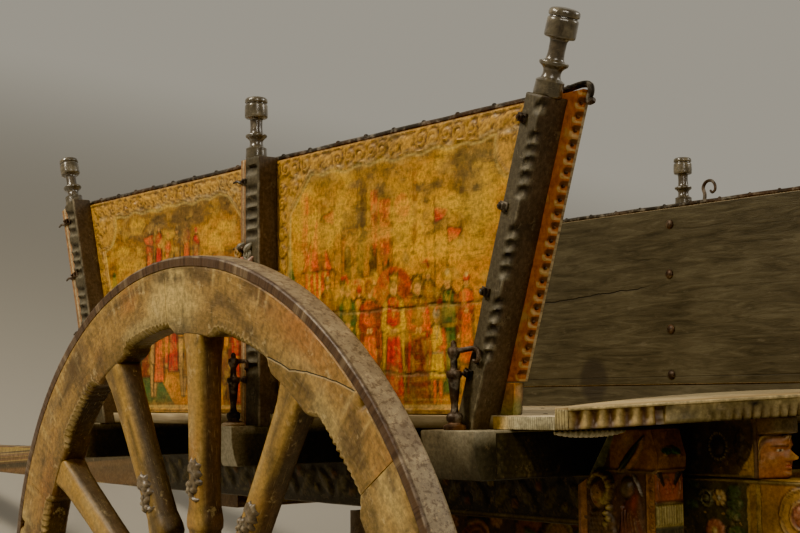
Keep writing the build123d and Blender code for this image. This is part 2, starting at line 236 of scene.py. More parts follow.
def tube(path, r, n=10, hint=(0, 0, 1), tip=True):
    """Round bar along a path; r is one radius or one for each point."""
    p = np.asarray(path, float)
    t = unit(np.gradient(p, axis=0))
    r = np.broadcast_to(np.asarray(r, float), (len(p),)).copy()
    x, y, _ = frame_of(t[0], hint)
    a = np.arange(n) * 2 * pi / n
    rings = []
    for i in range(len(p)):
        x = unit(x - (x @ t[i]) * t[i])
        y = np.cross(t[i], x)
        rings.append(p[i] + r[i] * (np.cos(a)[:, None] * x + np.sin(a)[:, None] * y))
    rings = np.array(rings)
    if tip:
        first = p[0] - t[0] * r[0] * 0.5 + (rings[0] - p[0]) * 0.6
        last = p[-1] + t[-1] * r[-1] * 0.5 + (rings[-1] - p[-1]) * 0.6
        rings = np.concatenate([first[None], rings, last[None]])
    return fan_caps(rings)


def curve(pts, n=12, loop=False):
    """Smooth curve through points."""
    p = np.asarray(pts, float)
    q = (np.concatenate([p[-1:], p, p[:2]]) if loop
         else np.concatenate([2 * p[:1] - p[1:2], p, 2 * p[-1:] - p[-2:-1]]))
    out = []
    for i in range(len(q) - 3):
        a, b, c, d = q[i:i + 4]
        for t in np.linspace(0, 1, n, endpoint=False):
            out.append(0.5 * (2 * b + (c - a) * t + (2 * a - 5 * b + 4 * c - d) * t * t
                              + (3 * b - a - 3 * c + d) * t ** 3))
    if not loop:
        out.append(p[-1])
    return np.array(out)


def resample(poly, step, closed=True):
    p = np.asarray(poly, float)
    out = []
    n = len(p)
    for i in range(n if closed else n - 1):
        a, b = p[i], p[(i + 1) % n]
        k = max(1, int(round(np.linalg.norm(b - a) / step)))
        for j in range(k):
            out.append(a + (b - a) * j / k)
    if not closed:
        out.append(p[-1])
    return np.array(out)


def inset(poly, d):
    """Moves a closed 2-D outline inwards by d (outline turns left)."""
    p = np.asarray(poly, float)
    a = unit(p - np.roll(p, 1, 0))
    b = unit(np.roll(p, -1, 0) - p)
    na = np.stack([-a[:, 1], a[:, 0]], -1)
    nb = np.stack([-b[:, 1], b[:, 0]], -1)
    m = na + nb
    m = m / np.maximum((m * m).sum(-1, keepdims=True), 0.5) * 2
    return p + m * d


def area2(p):
    q = np.roll(p, -1, 0)
    return 0.5 * (p[:, 0] * q[:, 1] - q[:, 0] * p[:, 1]).sum()


def prism(poly, o, u, v, depth, bevel=0.002, step=0.02, rows=None, wear=0.0, seed=1, scale=0.03):
    """Slab cut to an outline in the plane (o, u, v), going depth along u x v, edges eased."""
    u, v = np.asarray(u, float), np.asarray(v, float)
    w = np.cross(u, v)
    p = resample(poly, step)
    if area2(p) < 0:
        p = p[::-1]
    rows = rows or max(1, int(abs(depth) / step))
    sg = 1 if depth > 0 else -1
    hs = [0, bevel] + [bevel + (abs(depth) - 2 * bevel) * k / rows for k in range(1, rows)] + [abs(depth) - bevel, abs(depth)]
    rings = []
    for k, h in enumerate(hs):
        q = inset(p, bevel) if k in (0, len(hs) - 1) else p
        rings.append(np.asarray(o, float) + q[:, :1] * u + q[:, 1:] * v + sg * h * w)
    rings = np.array(rings)
    if wear:
        mid = rings.mean((0, 1))
        P = rings.reshape(-1, 3)
        d = fnoise(P, scale, seed, 3)[:, None] * wear
        side = np.repeat(((p - inset(p, 0.001))[None] / 0.001), len(hs), 0).reshape(-1, 2)
        P = P + d * (side[:, :1] * u + side[:, 1:] * v)
        rings = P.reshape(rings.shape)
    return loft(rings)


def rect(w, h, cx=0.0, cy=0.0):
    return arr((cx - w / 2, cy - h / 2), (cx + w / 2, cy - h / 2), (cx + w / 2, cy + h / 2), (cx - w / 2, cy + h / 2))


def plate(P, B):
    """Closed sheet: a relief grid P (nu, nv, 3) over a flat back, whose border points are B's."""
    P, B = np.asarray(P, float), np.asarray(B, float)
    nu, nv = P.shape[:2]
    idx = np.arange(nu * nv).reshape(nu, nv)
    ring = np.concatenate([idx[:, 0], idx[-1, 1:], idx[-2::-1, -1], idx[0, -2:0:-1]])
    b = B.reshape(-1, 3)[ring]
    m = len(ring)
    k = np.arange(m)
    k2 = (k + 1) % m
    n0 = nu * nv
    V = np.concatenate([P.reshape(-1, 3), b, b.mean(0)[None]])
    F = [quads(nu, nv), np.stack([ring[k2], ring[k], n0 + k, n0 + k2], -1),
         np.stack([n0 + k2, n0 + k, np.full(m, n0 + m)], -1)]
    return V, F


class Relief:
    """A height map over a flat patch, carved and built up in metres."""

    def __init__(self, W, H, px, x0=0.0, z0=0.0):
        self.px, self.x0, self.z0 = px, x0, z0
        self.nx, self.nz = int(round(W / px)) + 1, int(round(H / px)) + 1
        self.x = x0 + np.arange(self.nx) * W / (self.nx - 1)
        self.z = z0 + np.arange(self.nz) * H / (self.nz - 1)
        self.X, self.Z = np.meshgrid(self.x, self.z, indexing="ij")
        self.h = np.zeros((self.nx, self.nz))

    def win(self, x, z, r):
        i0, i1 = np.searchsorted(self.x, [x - r, x + r])
        j0, j1 = np.searchsorted(self.z, [z - r, z + r])
        return (slice(i0, i1), slice(j0, j1)) if i1 > i0 and j1 > j0 else None

    def dome(self, x, z, rx, rz=None, h=0.004, a=0.0, p=0.5, add=False, base=0.0):
        rz = rz or rx
        s = self.win(x, z, max(rx, rz) * 1.05)
        if s is None:
            return self
        dx, dz = self.X[s] - x, self.Z[s] - z
        u = (dx * cos(a) + dz * sin(a)) / rx
        v = (-dx * sin(a) + dz * cos(a)) / rz
        d = np.clip(1 - u * u - v * v, 0, 1)
        k = d ** p
        if add:
            self.h[s] += h * k
        elif h >= 0:
            self.h[s] = np.where(d > 0, np.maximum(self.h[s], base + h * k), self.h[s])
        else:
            self.h[s] = np.where(d > 0, np.minimum(self.h[s], base + h * k), self.h[s])
        return self

    def ridge(self, pts, w, h, t0=1.0, t1=1.0, p=0.5, base=0.0, n=6):
        q = curve(pts, n) if len(pts) > 2 else np.asarray(pts, float)
        q = resample(q, self.px * 0.7, closed=False)
        m = len(q)
        for k, (x, z) in enumerate(q):
            f = k / max(1, m - 1)
            s = t0 + (1 - t0) * min(1, f * 3) if f < 0.34 else (t1 + (1 - t1) * min(1, (1 - f) * 2) if f > 0.5 else 1)
            self.dome(x, z, max(w / 2 * s, self.px * 0.8), h=h * (0.5 + 0.5 * s), p=p, base=base)
        return self

    def groove(self, pts, w, d, n=6, base=0.0):
        q = curve(pts, n) if len(pts) > 2 else np.asarray(pts, float)
        for x, z in resample(q, self.px * 0.7, closed=False):
            s = self.win(x, z, w)
            if s is None:
                continue
            dd = np.hypot(self.X[s] - x, self.Z[s] - z) / (w / 2)
            cut = -d * np.clip(1 - dd * dd, 0, 1) ** 0.7
            self._cut[s] = np.minimum(self._cut[s], cut)
        return self

    def cuts(self):
        self._cut = np.zeros_like(self.h)
        return self

    def apply(self):
        self.h += self._cut
        self._cut = np.zeros_like(self.h)
        return self

    def spiral(self, x, z, r, turns=1.7, way=1, a0=0.0, w=0.006, h=0.004, eye=0.35):
        t = np.linspace(0, 1, 60)
        a = a0 + way * t * turns * 2 * pi
        rr = r * (1 - 0.78 * t)
        pts = np.stack([x + rr * np.cos(a), z + rr * np.sin(a)], -1)
        q = resample(pts, self.px * 0.8, closed=False)
        m = len(q)
        for k, (a_, b_) in enumerate(q):
            self.dome(a_, b_, w / 2 * (1.15 - 0.5 * k / m), h=h, p=0.5)
        self.dome(x, z, r * eye * 0.8, h=h * 1.25)
        return self

    def flower(self, x, z, r, n=6, h=0.005, a0=0.0):
        for k in range(n):
            a = a0 + k * 2 * pi / n
            self.dome(x + 0.58 * r * cos(a), z + 0.58 * r * sin(a), r * 0.42, r * 0.30, h=h * 0.8, a=a)
        self.dome(x, z, r * 0.26, h=h * 1.2)
        return self

    def leaf(self, a, b, w, h, lobes=0, bend=0.0, vein=0.35):
        """Leaf from a to b, rounded, with a midrib groove and optional lobes."""
        a, b = np.asarray(a, float), np.asarray(b, float)
        d = b - a
        l = np.linalg.norm(d)
        d = d / l
        nrm = np.array([-d[1], d[0]])
        s = self.win((a[0] + b[0]) / 2, (a[1] + b[1]) / 2, l * 0.5 + w)
        if s is None:
            return self
        u = ((self.X[s] - a[0]) * d[0] + (self.Z[s] - a[1]) * d[1]) / l
        v = (self.X[s] - a[0]) * nrm[0] + (self.Z[s] - a[1]) * nrm[1] - bend * 4 * np.clip(u, 0, 1) * (1 - np.clip(u, 0, 1))
        half = w / 2 * np.sin(pi * np.clip(u, 0, 1) ** 0.8) ** 0.8
        if lobes:
            half = half * (1 + 0.28 * np.sin(u * pi * 2 * lobes))
        e = np.abs(v) / np.maximum(half, 1e-6)
        k = np.clip(1 - e * e, 0, 1) ** 0.5 * (1 - vein * np.exp(-(v / (w * 0.07)) ** 2))
        if lobes:
            k = k * (0.86 + 0.14 * np.cos((u * 2 * lobes + e * 0.7) * pi * 2))
        ok = (u > 0) & (u < 1) & (e < 1)
        self.h[s] = np.where(ok, np.maximum(self.h[s], h * k), self.h[s])
        return self

    def blur(self, n=1):
        for _ in range(n):
            p = np.pad(self.h, 1, mode="edge")
            self.h = (p[1:-1, 1:-1] * 2 + p[:-2, 1:-1] + p[2:, 1:-1] + p[1:-1, :-2] + p[1:-1, 2:]) / 6
        return self

    def solid(self, o, u, v, depth=0.004, lift=0.0, col=None):
        """Points and faces of a closed plate with this relief, at o with directions u, v."""
        u, v = np.asarray(u, float), np.asarray(v, float)
        w = np.cross(u, v)
        base = np.asarray(o, float) + self.X[..., None] * u + self.Z[..., None] * v
        return plate(base + (self.h + lift)[..., None] * w, base - depth * w)


def cavity(h, px, k=0.0016):
    """How deep each point of a relief lies beside its surroundings, 0 high to 1 deep."""
    a = h
    for _ in range(4):
        p = np.pad(a, 1, mode="edge")
        a = (p[1:-1, 1:-1] + p[:-2, 1:-1] + p[2:, 1:-1] + p[1:-1, :-2] + p[1:-1, 2:]) / 5
    return np.clip(0.5 + (a - h) / k, 0, 1)


# ================================================================== materials
class Mat:
    """A node material; every call adds one node and returns its output."""

    def __init__(self, name, coord="lp"):
        self.m = bpy.data.materials.new(name)
        self.m.use_nodes = True
        self.t = self.m.node_tree
        self.b = self.t.nodes["Principled BSDF"]
        if coord == "lp":
            a = self.t.nodes.new("ShaderNodeAttribute")
            a.attribute_name = "lp"
            self.p = a.outputs["Vector"]
        else:
            a = self.t.nodes.new("ShaderNodeTexCoord")
            r = self.t.nodes.new("ShaderNodeVectorRotate")
            r.rotation_type = "Y_AXIS"
            r.inputs["Angle"].default_value = -PHI
            self.t.links.new(a.outputs["Object"], r.inputs["Vector"])
            self.p = r.outputs["Vector"]

    def put(self, sock, v):
        if isinstance(v, bpy.types.NodeSocket):
            self.t.links.new(v, sock)
        elif isinstance(v, (tuple, list)) and sock.type == "RGBA" and len(v) == 3:
            sock.default_value = (*v, 1)
        else:
            sock.default_value = v

    def math(self, op, a, b=0.5, c=None, clamp=False):
        n = self.t.nodes.new("ShaderNodeMath")
        n.operation = op
        n.use_clamp = clamp
        self.put(n.inputs[0], a)
        if op not in ("ABSOLUTE", "SINE", "FLOOR", "FRACT", "SQRT"):
            self.put(n.inputs[1], b)
        if c is not None:
            self.put(n.inputs[2], c)
        return n.outputs[0]

    def vmul(self, v, s, add=(0, 0, 0)):
        n = self.t.nodes.new("ShaderNodeVectorMath")
        n.operation = "MULTIPLY_ADD"
        self.put(n.inputs[0], v)
        n.inputs[1].default_value = s
        n.inputs[2].default_value = add
        return n.outputs[0]

    def sep(self, v):
        n = self.t.nodes.new("ShaderNodeSeparateXYZ")
        self.put(n.inputs[0], v)
        return n.outputs

    def noise(self, scale, stretch=(1, 1, 1), detail=4.0, rough=0.55, distort=0.0, add=(0, 0, 0), v=None):
        n = self.t.nodes.new("ShaderNodeTexNoise")
        self.put(n.inputs["Vector"], self.vmul(self.p if v is None else v, stretch, add))
        n.inputs["Scale"].default_value = scale
        n.inputs["Detail"].default_value = detail
        n.inputs["Roughness"].default_value = rough
        n.inputs["Distortion"].default_value = distort
        return n.outputs["Fac"]

    def cells(self, scale, stretch=(1, 1, 1), feature="F1", add=(0, 0, 0)):
        n = self.t.nodes.new("ShaderNodeTexVoronoi")
        n.feature = feature
        self.put(n.inputs["Vector"], self.vmul(self.p, stretch, add))
        n.inputs["Scale"].default_value = scale
        return n.outputs["Distance"]

    def step(self, x, a, b):
        """0 below a, 1 above b, smooth between (a may be above b)."""
        n = self.t.nodes.new("ShaderNodeMapRange")
        n.interpolation_type = "SMOOTHSTEP"
        self.put(n.inputs["Value"], x)
        flip = a > b
        n.inputs["From Min"].default_value, n.inputs["From Max"].default_value = (b, a) if flip else (a, b)
        n.inputs["To Min"].default_value, n.inputs["To Max"].default_value = (1, 0) if flip else (0, 1)
        return n.outputs[0]

    def lerp(self, x, lo, hi):
        n = self.t.nodes.new("ShaderNodeMapRange")
        self.put(n.inputs["Value"], x)
        n.inputs["To Min"].default_value, n.inputs["To Max"].default_value = lo, hi
        return n.outputs[0]

    def ramp(self, fac, *stops):
        n = self.t.nodes.new("ShaderNodeValToRGB")
        e = n.color_ramp.elements
        while len(e) < len(stops):
            e.new(0.5)
        for el, (p, c) in zip(e, stops):
            el.position = p
            el.color = (*c, 1)
        self.put(n.inputs[0], fac)
        return n.outputs[0]

    def mix(self, fac, a, b, mode="MIX"):
        n = self.t.nodes.new("ShaderNodeMix")
        n.data_type = "RGBA"
        n.blend_type = mode
        self.put(n.inputs[0], fac)
        self.put(n.inputs[6], a)
        self.put(n.inputs[7], b)
        return n.outputs[2]

    def attr(self, name):
        a = self.t.nodes.new("ShaderNodeAttribute")
        a.attribute_name = name
        return a.outputs["Vector"]

    def done(self, color, rough, bump=None, strength=0.3, dist=0.001, metal=0.0, spec=0.5, coat=0.0):
        self.put(self.b.inputs["Base Color"], color)
        self.put(self.b.inputs["Roughness"], rough)
        self.b.inputs["Metallic"].default_value = metal
        self.b.inputs["Specular IOR Level"].default_value = spec
        if coat:
            self.b.inputs["Coat Weight"].default_value = coat
            self.b.inputs["Coat Roughness"].default_value = 0.28
        if bump is not None:
            n = self.t.nodes.new("ShaderNodeBump")
            n.inputs["Strength"].default_value = strength
            n.inputs["Distance"].default_value = dist
            self.put(n.inputs["Height"], bump)
            self.t.links.new(n.outputs[0], self.b.inputs["Normal"])
        return self.m


def wood(name, dark, mid, light, grain=(1, 12, 12), fine=90, patches=(), rough=(0.55, 0.8), strength=0.35,
         dist=0.0015, pores=0.5, coord="lp", spec=0.35, coat=0.0, tint=False):
    """Old sawn or worn wood: grain along one axis of lp, fibres, tone changes and patches."""
    k = Mat(name, coord)
    g = k.noise(9, grain, 6, 0.6, 0.6)
    fib = k.noise(fine, grain, 3, 0.6, 0.1, (3, 1, 2))
    tone = k.noise(4.5, (1, 1, 1), 3, 0.5, 0, (7, 3, 5))
    f = k.math("ADD", k.math("MULTIPLY", g, 0.6), k.math("MULTIPLY", tone, 0.4))
    c = k.ramp(f, (0.34, dark), (0.5, mid), (0.66, light))
    c = k.mix(k.math("MULTIPLY", k.step(fib, 0.56, 0.74), pores), c, tuple(x * 0.45 for x in dark))
    c = k.mix(k.math("MULTIPLY", k.step(fib, 0.44, 0.28), 0.35), c, light)
    for i, (pc, scale, lo, hi, amount, stretch) in enumerate(patches):
        p = k.noise(scale, stretch, 7, 0.62, 0.3, (11 * i + 5, 3 * i, 7 * i + 1))
        c = k.mix(k.math("MULTIPLY", k.step(p, lo, hi), amount), c, pc)
    if tint:
        c = k.mix(1.0, c, k.attr("paint"), "MULTIPLY")
    h = k.math("ADD", k.math("MULTIPLY", g, 0.8), k.math("MULTIPLY", fib, -0.7))
    r = k.lerp(k.noise(30, (1, 1, 1), 4, 0.6), rough[0], rough[1])
    return k.done(c, r, h, strength, dist, spec=spec, coat=coat)


def painted(name, mottle=0.35, dirt=(0.06, 0.035, 0.02), dirty=0.5, chips=(0.30, 0.22, 0.13), chipped=0.25,
            scratch=0.3, along=(1, 30, 30), rough=(0.35, 0.6), strength=0.35, dist=0.001, spec=0.45, coat=0.0, size=1.0,
            gold=None, extra=None):
    """Old oil paint on wood: the colour comes with the mesh, and wear, grime and scratches go over it."""
    k = Mat(name)
    c = k.attr("paint")
    n1 = k.noise(160 / size, (1, 1, 1), 6, 0.68)
    n2 = k.noise(38 / size, (1, 1, 1), 5, 0.6, 0.2, (4, 8, 1))
    n3 = k.noise(14 / size, (1, 1, 1), 5, 0.6, 0.4, (9, 2, 6))
    c = k.mix(k.step(n1, 0.30, 0.72), k.mix(1.0, c, (1 - mottle,) * 3, "MULTIPLY"), k.mix(1.0, c, (1 + mottle * 0.5,) * 3, "MULTIPLY"))
    if gold:
        c = k.mix(k.math("MULTIPLY", k.step(n2, 0.50, 0.62), gold[1]), c, gold[0])
    c = k.mix(k.math("MULTIPLY", k.step(n3, 0.56, 0.70), dirty), c, dirt)
    s = k.noise(26, along, 4, 0.65, 0.0, (2, 5, 3))
    c = k.mix(k.math("MULTIPLY", k.step(s, 0.58, 0.70), scratch), c, dirt)
    c = k.mix(k.math("MULTIPLY", k.step(s, 0.40, 0.32), scratch * 0.7), c, chips)
    chip = k.math("MULTIPLY", k.step(n2, 0.60, 0.66), k.step(n1, 0.42, 0.56))
    c = k.mix(k.math("MULTIPLY", chip, chipped), c, chips)
    h = k.math("ADD", k.math("MULTIPLY", n1, 0.7), k.math("ADD", k.math("MULTIPLY", s, 0.5), k.math("MULTIPLY", chip, -0.5)))
    if extra:
        c, h = extra(k, c, h)
    r = k.lerp(k.noise(60, (1, 1, 1), 4, 0.6, 0, (1, 1, 7)), rough[0], rough[1])
    return k.done(c, r, h, strength, dist, spec=spec, coat=coat)


def iron(name, dark=(0.055, 0.045, 0.036), rust=(0.14, 0.065, 0.028), worn=(0.30, 0.26, 0.20), rusty=0.5, rough=(0.35, 0.65),
         coord="lp", strength=0.4):
    """Hand-forged iron, dark, with rust in patches and rubbed spots."""
    k = Mat(name, coord)
    a = k.noise(60, (1, 1, 1), 6, 0.65)
    b = k.noise(14, (1, 1, 1), 5, 0.6, 0, (5, 2, 8))
    c = k.ramp(a, (0.35, tuple(x * 0.6 for x in dark)), (0.5, dark), (0.68, worn))
    c = k.mix(k.math("MULTIPLY", k.step(b, 0.46, 0.62), rusty), c, k.ramp(a, (0.3, tuple(x * 0.5 for x in rust)), (0.7, rust)))
    h = k.math("ADD", a, k.math("MULTIPLY", k.noise(220, (1, 1, 1), 4, 0.6), 0.4))
    return k.done(c, k.lerp(a, rough[0], rough[1]), h, strength, 0.001, metal=0.55, spec=0.5)


M_art = painted("panel_painting", 0.50, (0.085, 0.055, 0.022), 0.60, (0.66, 0.40, 0.06), 0.35, 0.50, (1, 30, 22), (0.32, 0.54), 0.35,
                spec=0.4, size=1.0, gold=((0.68, 0.36, 0.03), 0.30), coat=0.05)
M_carve = painted("carved_paint", 0.38, (0.05, 0.03, 0.018), 0.45, (0.42, 0.29, 0.14), 0.22, 0.25, (8, 8, 8), (0.34, 0.6), 0.45)
M_rim = painted("wheel_paint", 0.34, (0.085, 0.05, 0.026), 0.55, (0.50, 0.38, 0.19), 0.40, 0.50, (1.5, 26, 26), (0.38, 0.62), 0.5,
                dist=0.0015, size=1.3)
M_post = painted("post_paint", 0.44, (0.034, 0.024, 0.015), 0.60, (0.24, 0.19, 0.11), 0.32, 0.50, (20, 20, 1.2), (0.40, 0.7), 0.55, dist=0.0015)
M_bare = wood("bare_boards", (0.34, 0.26, 0.16), (0.50, 0.40, 0.26), (0.64, 0.54, 0.37), (1, 14, 14),
              patches=(((0.22, 0.16, 0.10), 7, 0.52, 0.68, 0.5, (1, 3, 1)), ((0.70, 0.62, 0.46), 16, 0.56, 0.70, 0.5, (1, 1, 1))), rough=(0.6, 0.85))
M_tint = wood("tinted_boards", (0.34, 0.26, 0.16), (0.50, 0.40, 0.26), (0.64, 0.54, 0.37), (1, 14, 14),
              patches=(((0.22, 0.16, 0.10), 7, 0.52, 0.68, 0.5, (1, 3, 1)), ((0.70, 0.62, 0.46), 16, 0.56, 0.70, 0.5, (1, 1, 1))), rough=(0.55, 0.8), tint=True)
M_iron = iron("forged_iron")
M_rust = iron("rusty_iron", (0.06, 0.038, 0.026), (0.22, 0.095, 0.035), (0.20, 0.14, 0.09), 0.8)


# ================================================================== CAD pieces that show as they are
def keep(names, mat):
    for n in names:
        o = node[n]
        o.data.materials.clear()
        o.data.materials.append(mat)


# ================================================================== painting in code
class Paint:
    """A small colour canvas over a flat patch, painted with plain shapes, in metres."""

    def __init__(self, W, H, px, x0, z0, ground):
        self.px = px
        self.nx, self.nz = int(round(W / px)) + 1, int(round(H / px)) + 1
        self.x = x0 + np.arange(self.nx) * px
        self.z = z0 + np.arange(self.nz) * px
        self.X, self.Z = np.meshgrid(self.x, self.z, indexing="ij")
        self.c = np.tile(np.asarray(ground, float), (self.nx, self.nz, 1))

    def win(self, x0, x1, z0, z1):
        i0, i1 = np.searchsorted(self.x, [x0, x1])
        j0, j1 = np.searchsorted(self.z, [z0, z1])
        return (slice(i0, i1), slice(j0, j1)) if i1 > i0 and j1 > j0 else None

    def over(self, s, k, col):
        k = (k * 1.0)[..., None]
        self.c[s] = self.c[s] * (1 - k) + np.asarray(col, float) * k

    def poly(self, pts, col, a=1.0, edge=None, ew=0.0031):
        p = np.asarray(pts, float)
        s = self.win(p[:, 0].min(), p[:, 0].max(), p[:, 1].min(), p[:, 1].max())
        if s is not None:
            X, Z = self.X[s], self.Z[s]
            inside = np.zeros(X.shape, bool)
            q = np.roll(p, -1, 0)
            for (x1, z1), (x2, z2) in zip(p, q):
                if z1 == z2:
                    continue
                cross = ((z1 > Z) != (z2 > Z)) & (X < (x2 - x1) * (Z - z1) / (z2 - z1) + x1)
                inside ^= cross
            self.over(s, inside * a, col)
        if edge is not None:
            self.line(np.concatenate([p, p[:1]]), ew, edge, 0.92)
        return self

    def ell(self, x, z, rx, rz, col, a=1.0, tilt=0.0, edge=None):
        r = max(rx, rz) * 1.2
        s = self.win(x - r, x + r, z - r, z + r)
        if s is None:
            return self
        dx, dz = self.X[s] - x, self.Z[s] - z
        u, v = (dx * cos(tilt) + dz * sin(tilt)) / rx, (-dx * sin(tilt) + dz * cos(tilt)) / rz
        d = u * u + v * v
        if edge is not None:
            self.over(s, (np.abs(np.sqrt(d) - 1) * min(rx, rz) < 0.0011) * 0.8, edge)
        self.over(s, (d < 1) * a, col)
        return self

    def line(self, pts, w, col, a=1.0):
        p = np.asarray(pts, float)
        for p0, p1 in zip(p[:-1], p[1:]):
            lo, hi = np.minimum(p0, p1) - w, np.maximum(p0, p1) + w
            s = self.win(lo[0], hi[0], lo[1], hi[1])
            if s is None:
                continue
            d = p1 - p0
            L = max(d @ d, 1e-12)
            t = np.clip(((self.X[s] - p0[0]) * d[0] + (self.Z[s] - p0[1]) * d[1]) / L, 0, 1)
            dist = np.hypot(self.X[s] - p0[0] - t * d[0], self.Z[s] - p0[1] - t * d[1])
            self.over(s, np.clip((w / 2 - dist) / self.px + 0.5, 0, 1) * a, col)
        return self

    def soft(self, x, z, rx, rz, col, a=1.0):
        """A cloud of colour with no edge."""
        k = np.exp(-(((self.X - x) / rx) ** 2 + ((self.Z - z) / rz) ** 2)) * a
        self.c = self.c * (1 - k[..., None]) + np.asarray(col, float) * k[..., None]
        return self

    def at(self, x, z):
        fx = np.clip((x - self.x[0]) / self.px, 0, self.nx - 1.001)
        fz = np.clip((z - self.z[0]) / self.px, 0, self.nz - 1.001)
        i, j = fx.astype(int), fz.astype(int)
        a, b = (fx - i)[..., None], (fz - j)[..., None]
        c = self.c
        return (c[i, j] * (1 - a) * (1 - b) + c[i + 1, j] * a * (1 - b) + c[i, j + 1] * (1 - a) * b + c[i + 1, j + 1] * a * b)


RED, ORANGE, GOLD, YELLOW = (0.52, 0.07, 0.02), (0.72, 0.19, 0.03), (0.64, 0.40, 0.08), (0.82, 0.55, 0.08)
MAROON, GREEN, OLIVE, INK = (0.20, 0.05, 0.03), (0.07, 0.13, 0.045), (0.24, 0.20, 0.05), (0.035, 0.025, 0.015)
SKIN, CREAM, BROWN, UMBER, BLUE = (0.72, 0.45, 0.20), (0.78, 0.62, 0.30), (0.30, 0.15, 0.05), (0.15, 0.085, 0.035), (0.06, 0.09, 0.11)


def shade(c, k):
    return tuple(min(1.0, v * k) for v in c)


def person(P, x, z, h, robe, cloak, hat="crown", look=1, arm="hold", short=False, hatcol=GOLD):
    """A standing figure of plain shapes: look is the way it faces, h its height."""
    hem = 0.30 * h if short else 0.0
    if short:
        for k in (-0.055, 0.05):
            P.poly([(x + (k - 0.03) * h, z), (x + (k + 0.035) * h, z), (x + (k + 0.04) * h, z + 0.34 * h), (x + (k - 0.03) * h, z + 0.34 * h)],
                   cloak, edge=INK)
        P.poly([(x - 0.10 * h, z), (x - 0.01 * h, z), (x - 0.02 * h, z + 0.05 * h), (x - 0.09 * h, z + 0.05 * h)], UMBER)
        P.poly([(x + 0.01 * h, z), (x + 0.12 * h, z), (x + 0.09 * h, z + 0.05 * h), (x + 0.02 * h, z + 0.05 * h)], UMBER)
    if cloak is not None:
        P.poly([(x - 0.17 * h, z + hem + 0.02 * h), (x + 0.16 * h, z + hem + 0.02 * h), (x + 0.13 * h, z + 0.80 * h), (x + 0.05 * h, z + 0.86 * h),
                (x - 0.06 * h, z + 0.86 * h), (x - 0.14 * h, z + 0.79 * h)], shade(cloak, 0.8), edge=INK)
    body = [(x - 0.14 * h, z + hem), (x + 0.15 * h, z + hem), (x + 0.09 * h, z + 0.56 * h), (x + 0.115 * h, z + 0.78 * h),
            (x + 0.04 * h, z + 0.85 * h), (x - 0.05 * h, z + 0.85 * h), (x - 0.12 * h, z + 0.78 * h), (x - 0.085 * h, z + 0.56 * h)]
    P.poly(body, robe, edge=INK)
    for k, t in enumerate((-0.10, -0.055, -0.01, 0.04, 0.09)):
        P.line([(x + t * 0.6 * h, z + 0.55 * h), (x + t * 1.25 * h, z + hem + 0.02 * h)], 0.011 * h + 0.0008,
               shade(robe, 0.45 if k % 2 else 1.5), 0.8)
    P.line([(x - 0.085 * h, z + 0.56 * h), (x + 0.09 * h, z + 0.56 * h)], 0.02 * h, hatcol, 0.9)
    P.line([(x - 0.04 * h, z + 0.83 * h), (x, z + 0.70 * h), (x + 0.04 * h, z + 0.83 * h)], 0.012 * h + 0.0006, hatcol, 0.8)
    sl = cloak if cloak is not None else shade(robe, 1.25)
    for w in (-1, 1):
        sx = x + w * 0.105 * h
        if arm == "raise" and w == look:
            q = [(sx, z + 0.78 * h), (sx + w * 0.10 * h, z + 0.84 * h), (sx + w * 0.13 * h, z + 1.0 * h)]
        elif arm == "down":
            q = [(sx, z + 0.78 * h), (sx + w * 0.04 * h, z + 0.62 * h), (sx + w * 0.035 * h, z + 0.46 * h)]
        else:
            q = [(sx, z + 0.78 * h), (sx + w * 0.03 * h, z + 0.63 * h), (x + w * 0.02 * h, z + 0.59 * h)]
        P.line(q, 0.070 * h, INK, 0.8).line(q, 0.056 * h, sl)
        P.ell(q[-1][0], q[-1][1], 0.024 * h, 0.024 * h, SKIN)
    hx, hz = x + 0.008 * look * h, z + 0.915 * h
    P.ell(hx - 0.015 * look * h, hz + 0.005 * h, 0.056 * h, 0.068 * h, UMBER)
    P.ell(hx, hz, 0.046 * h, 0.060 * h, SKIN, edge=INK)
    P.ell(hx - 0.016 * h, hz + 0.008 * h, 0.008 * h, 0.008 * h, INK, 0.7).ell(hx + 0.018 * h, hz + 0.008 * h, 0.008 * h, 0.008 * h, INK, 0.7)
    P.line([(hx - 0.012 * h, hz - 0.028 * h), (hx + 0.012 * h, hz - 0.028 * h)], 0.010 * h, RED, 0.7)
    t = z + 0.965 * h
    if hat == "crown":
        P.poly([(hx - 0.05 * h, t), (hx + 0.05 * h, t), (hx + 0.06 * h, t + 0.06 * h), (hx + 0.025 * h, t + 0.035 * h), (hx, t + 0.07 * h),
                (hx - 0.025 * h, t + 0.035 * h), (hx - 0.06 * h, t + 0.06 * h)], hatcol, edge=INK)
    elif hat == "helm":
        P.ell(hx, t - 0.005 * h, 0.058 * h, 0.05 * h, hatcol, edge=INK)
        P.line([(hx, t + 0.03 * h), (hx - 0.03 * look * h, t + 0.10 * h), (hx - 0.10 * look * h, t + 0.08 * h)], 0.035 * h, RED)
    elif hat == "turban":
        P.ell(hx, t, 0.066 * h, 0.04 * h, hatcol, edge=INK).ell(hx, t + 0.03 * h, 0.03 * h, 0.03 * h, CREAM)
    elif hat == "hood":
        P.ell(hx - 0.02 * look * h, t - 0.02 * h, 0.06 * h, 0.055 * h, hatcol, 0.9)


def pole(P, x, z0, z1, flag, way=1, w=0.035):
    P.line([(x, z0), (x, z1)], 0.0026, INK, 0.9)
    P.poly([(x, z1 - 0.004), (x + way * w, z1 - 0.010), (x + way * w * 0.7, z1 - 0.022), (x, z1 - 0.028)], flag, edge=INK)
    P.poly([(x - 0.003, z1), (x + 0.003, z1), (x, z1 + 0.014)], UMBER)


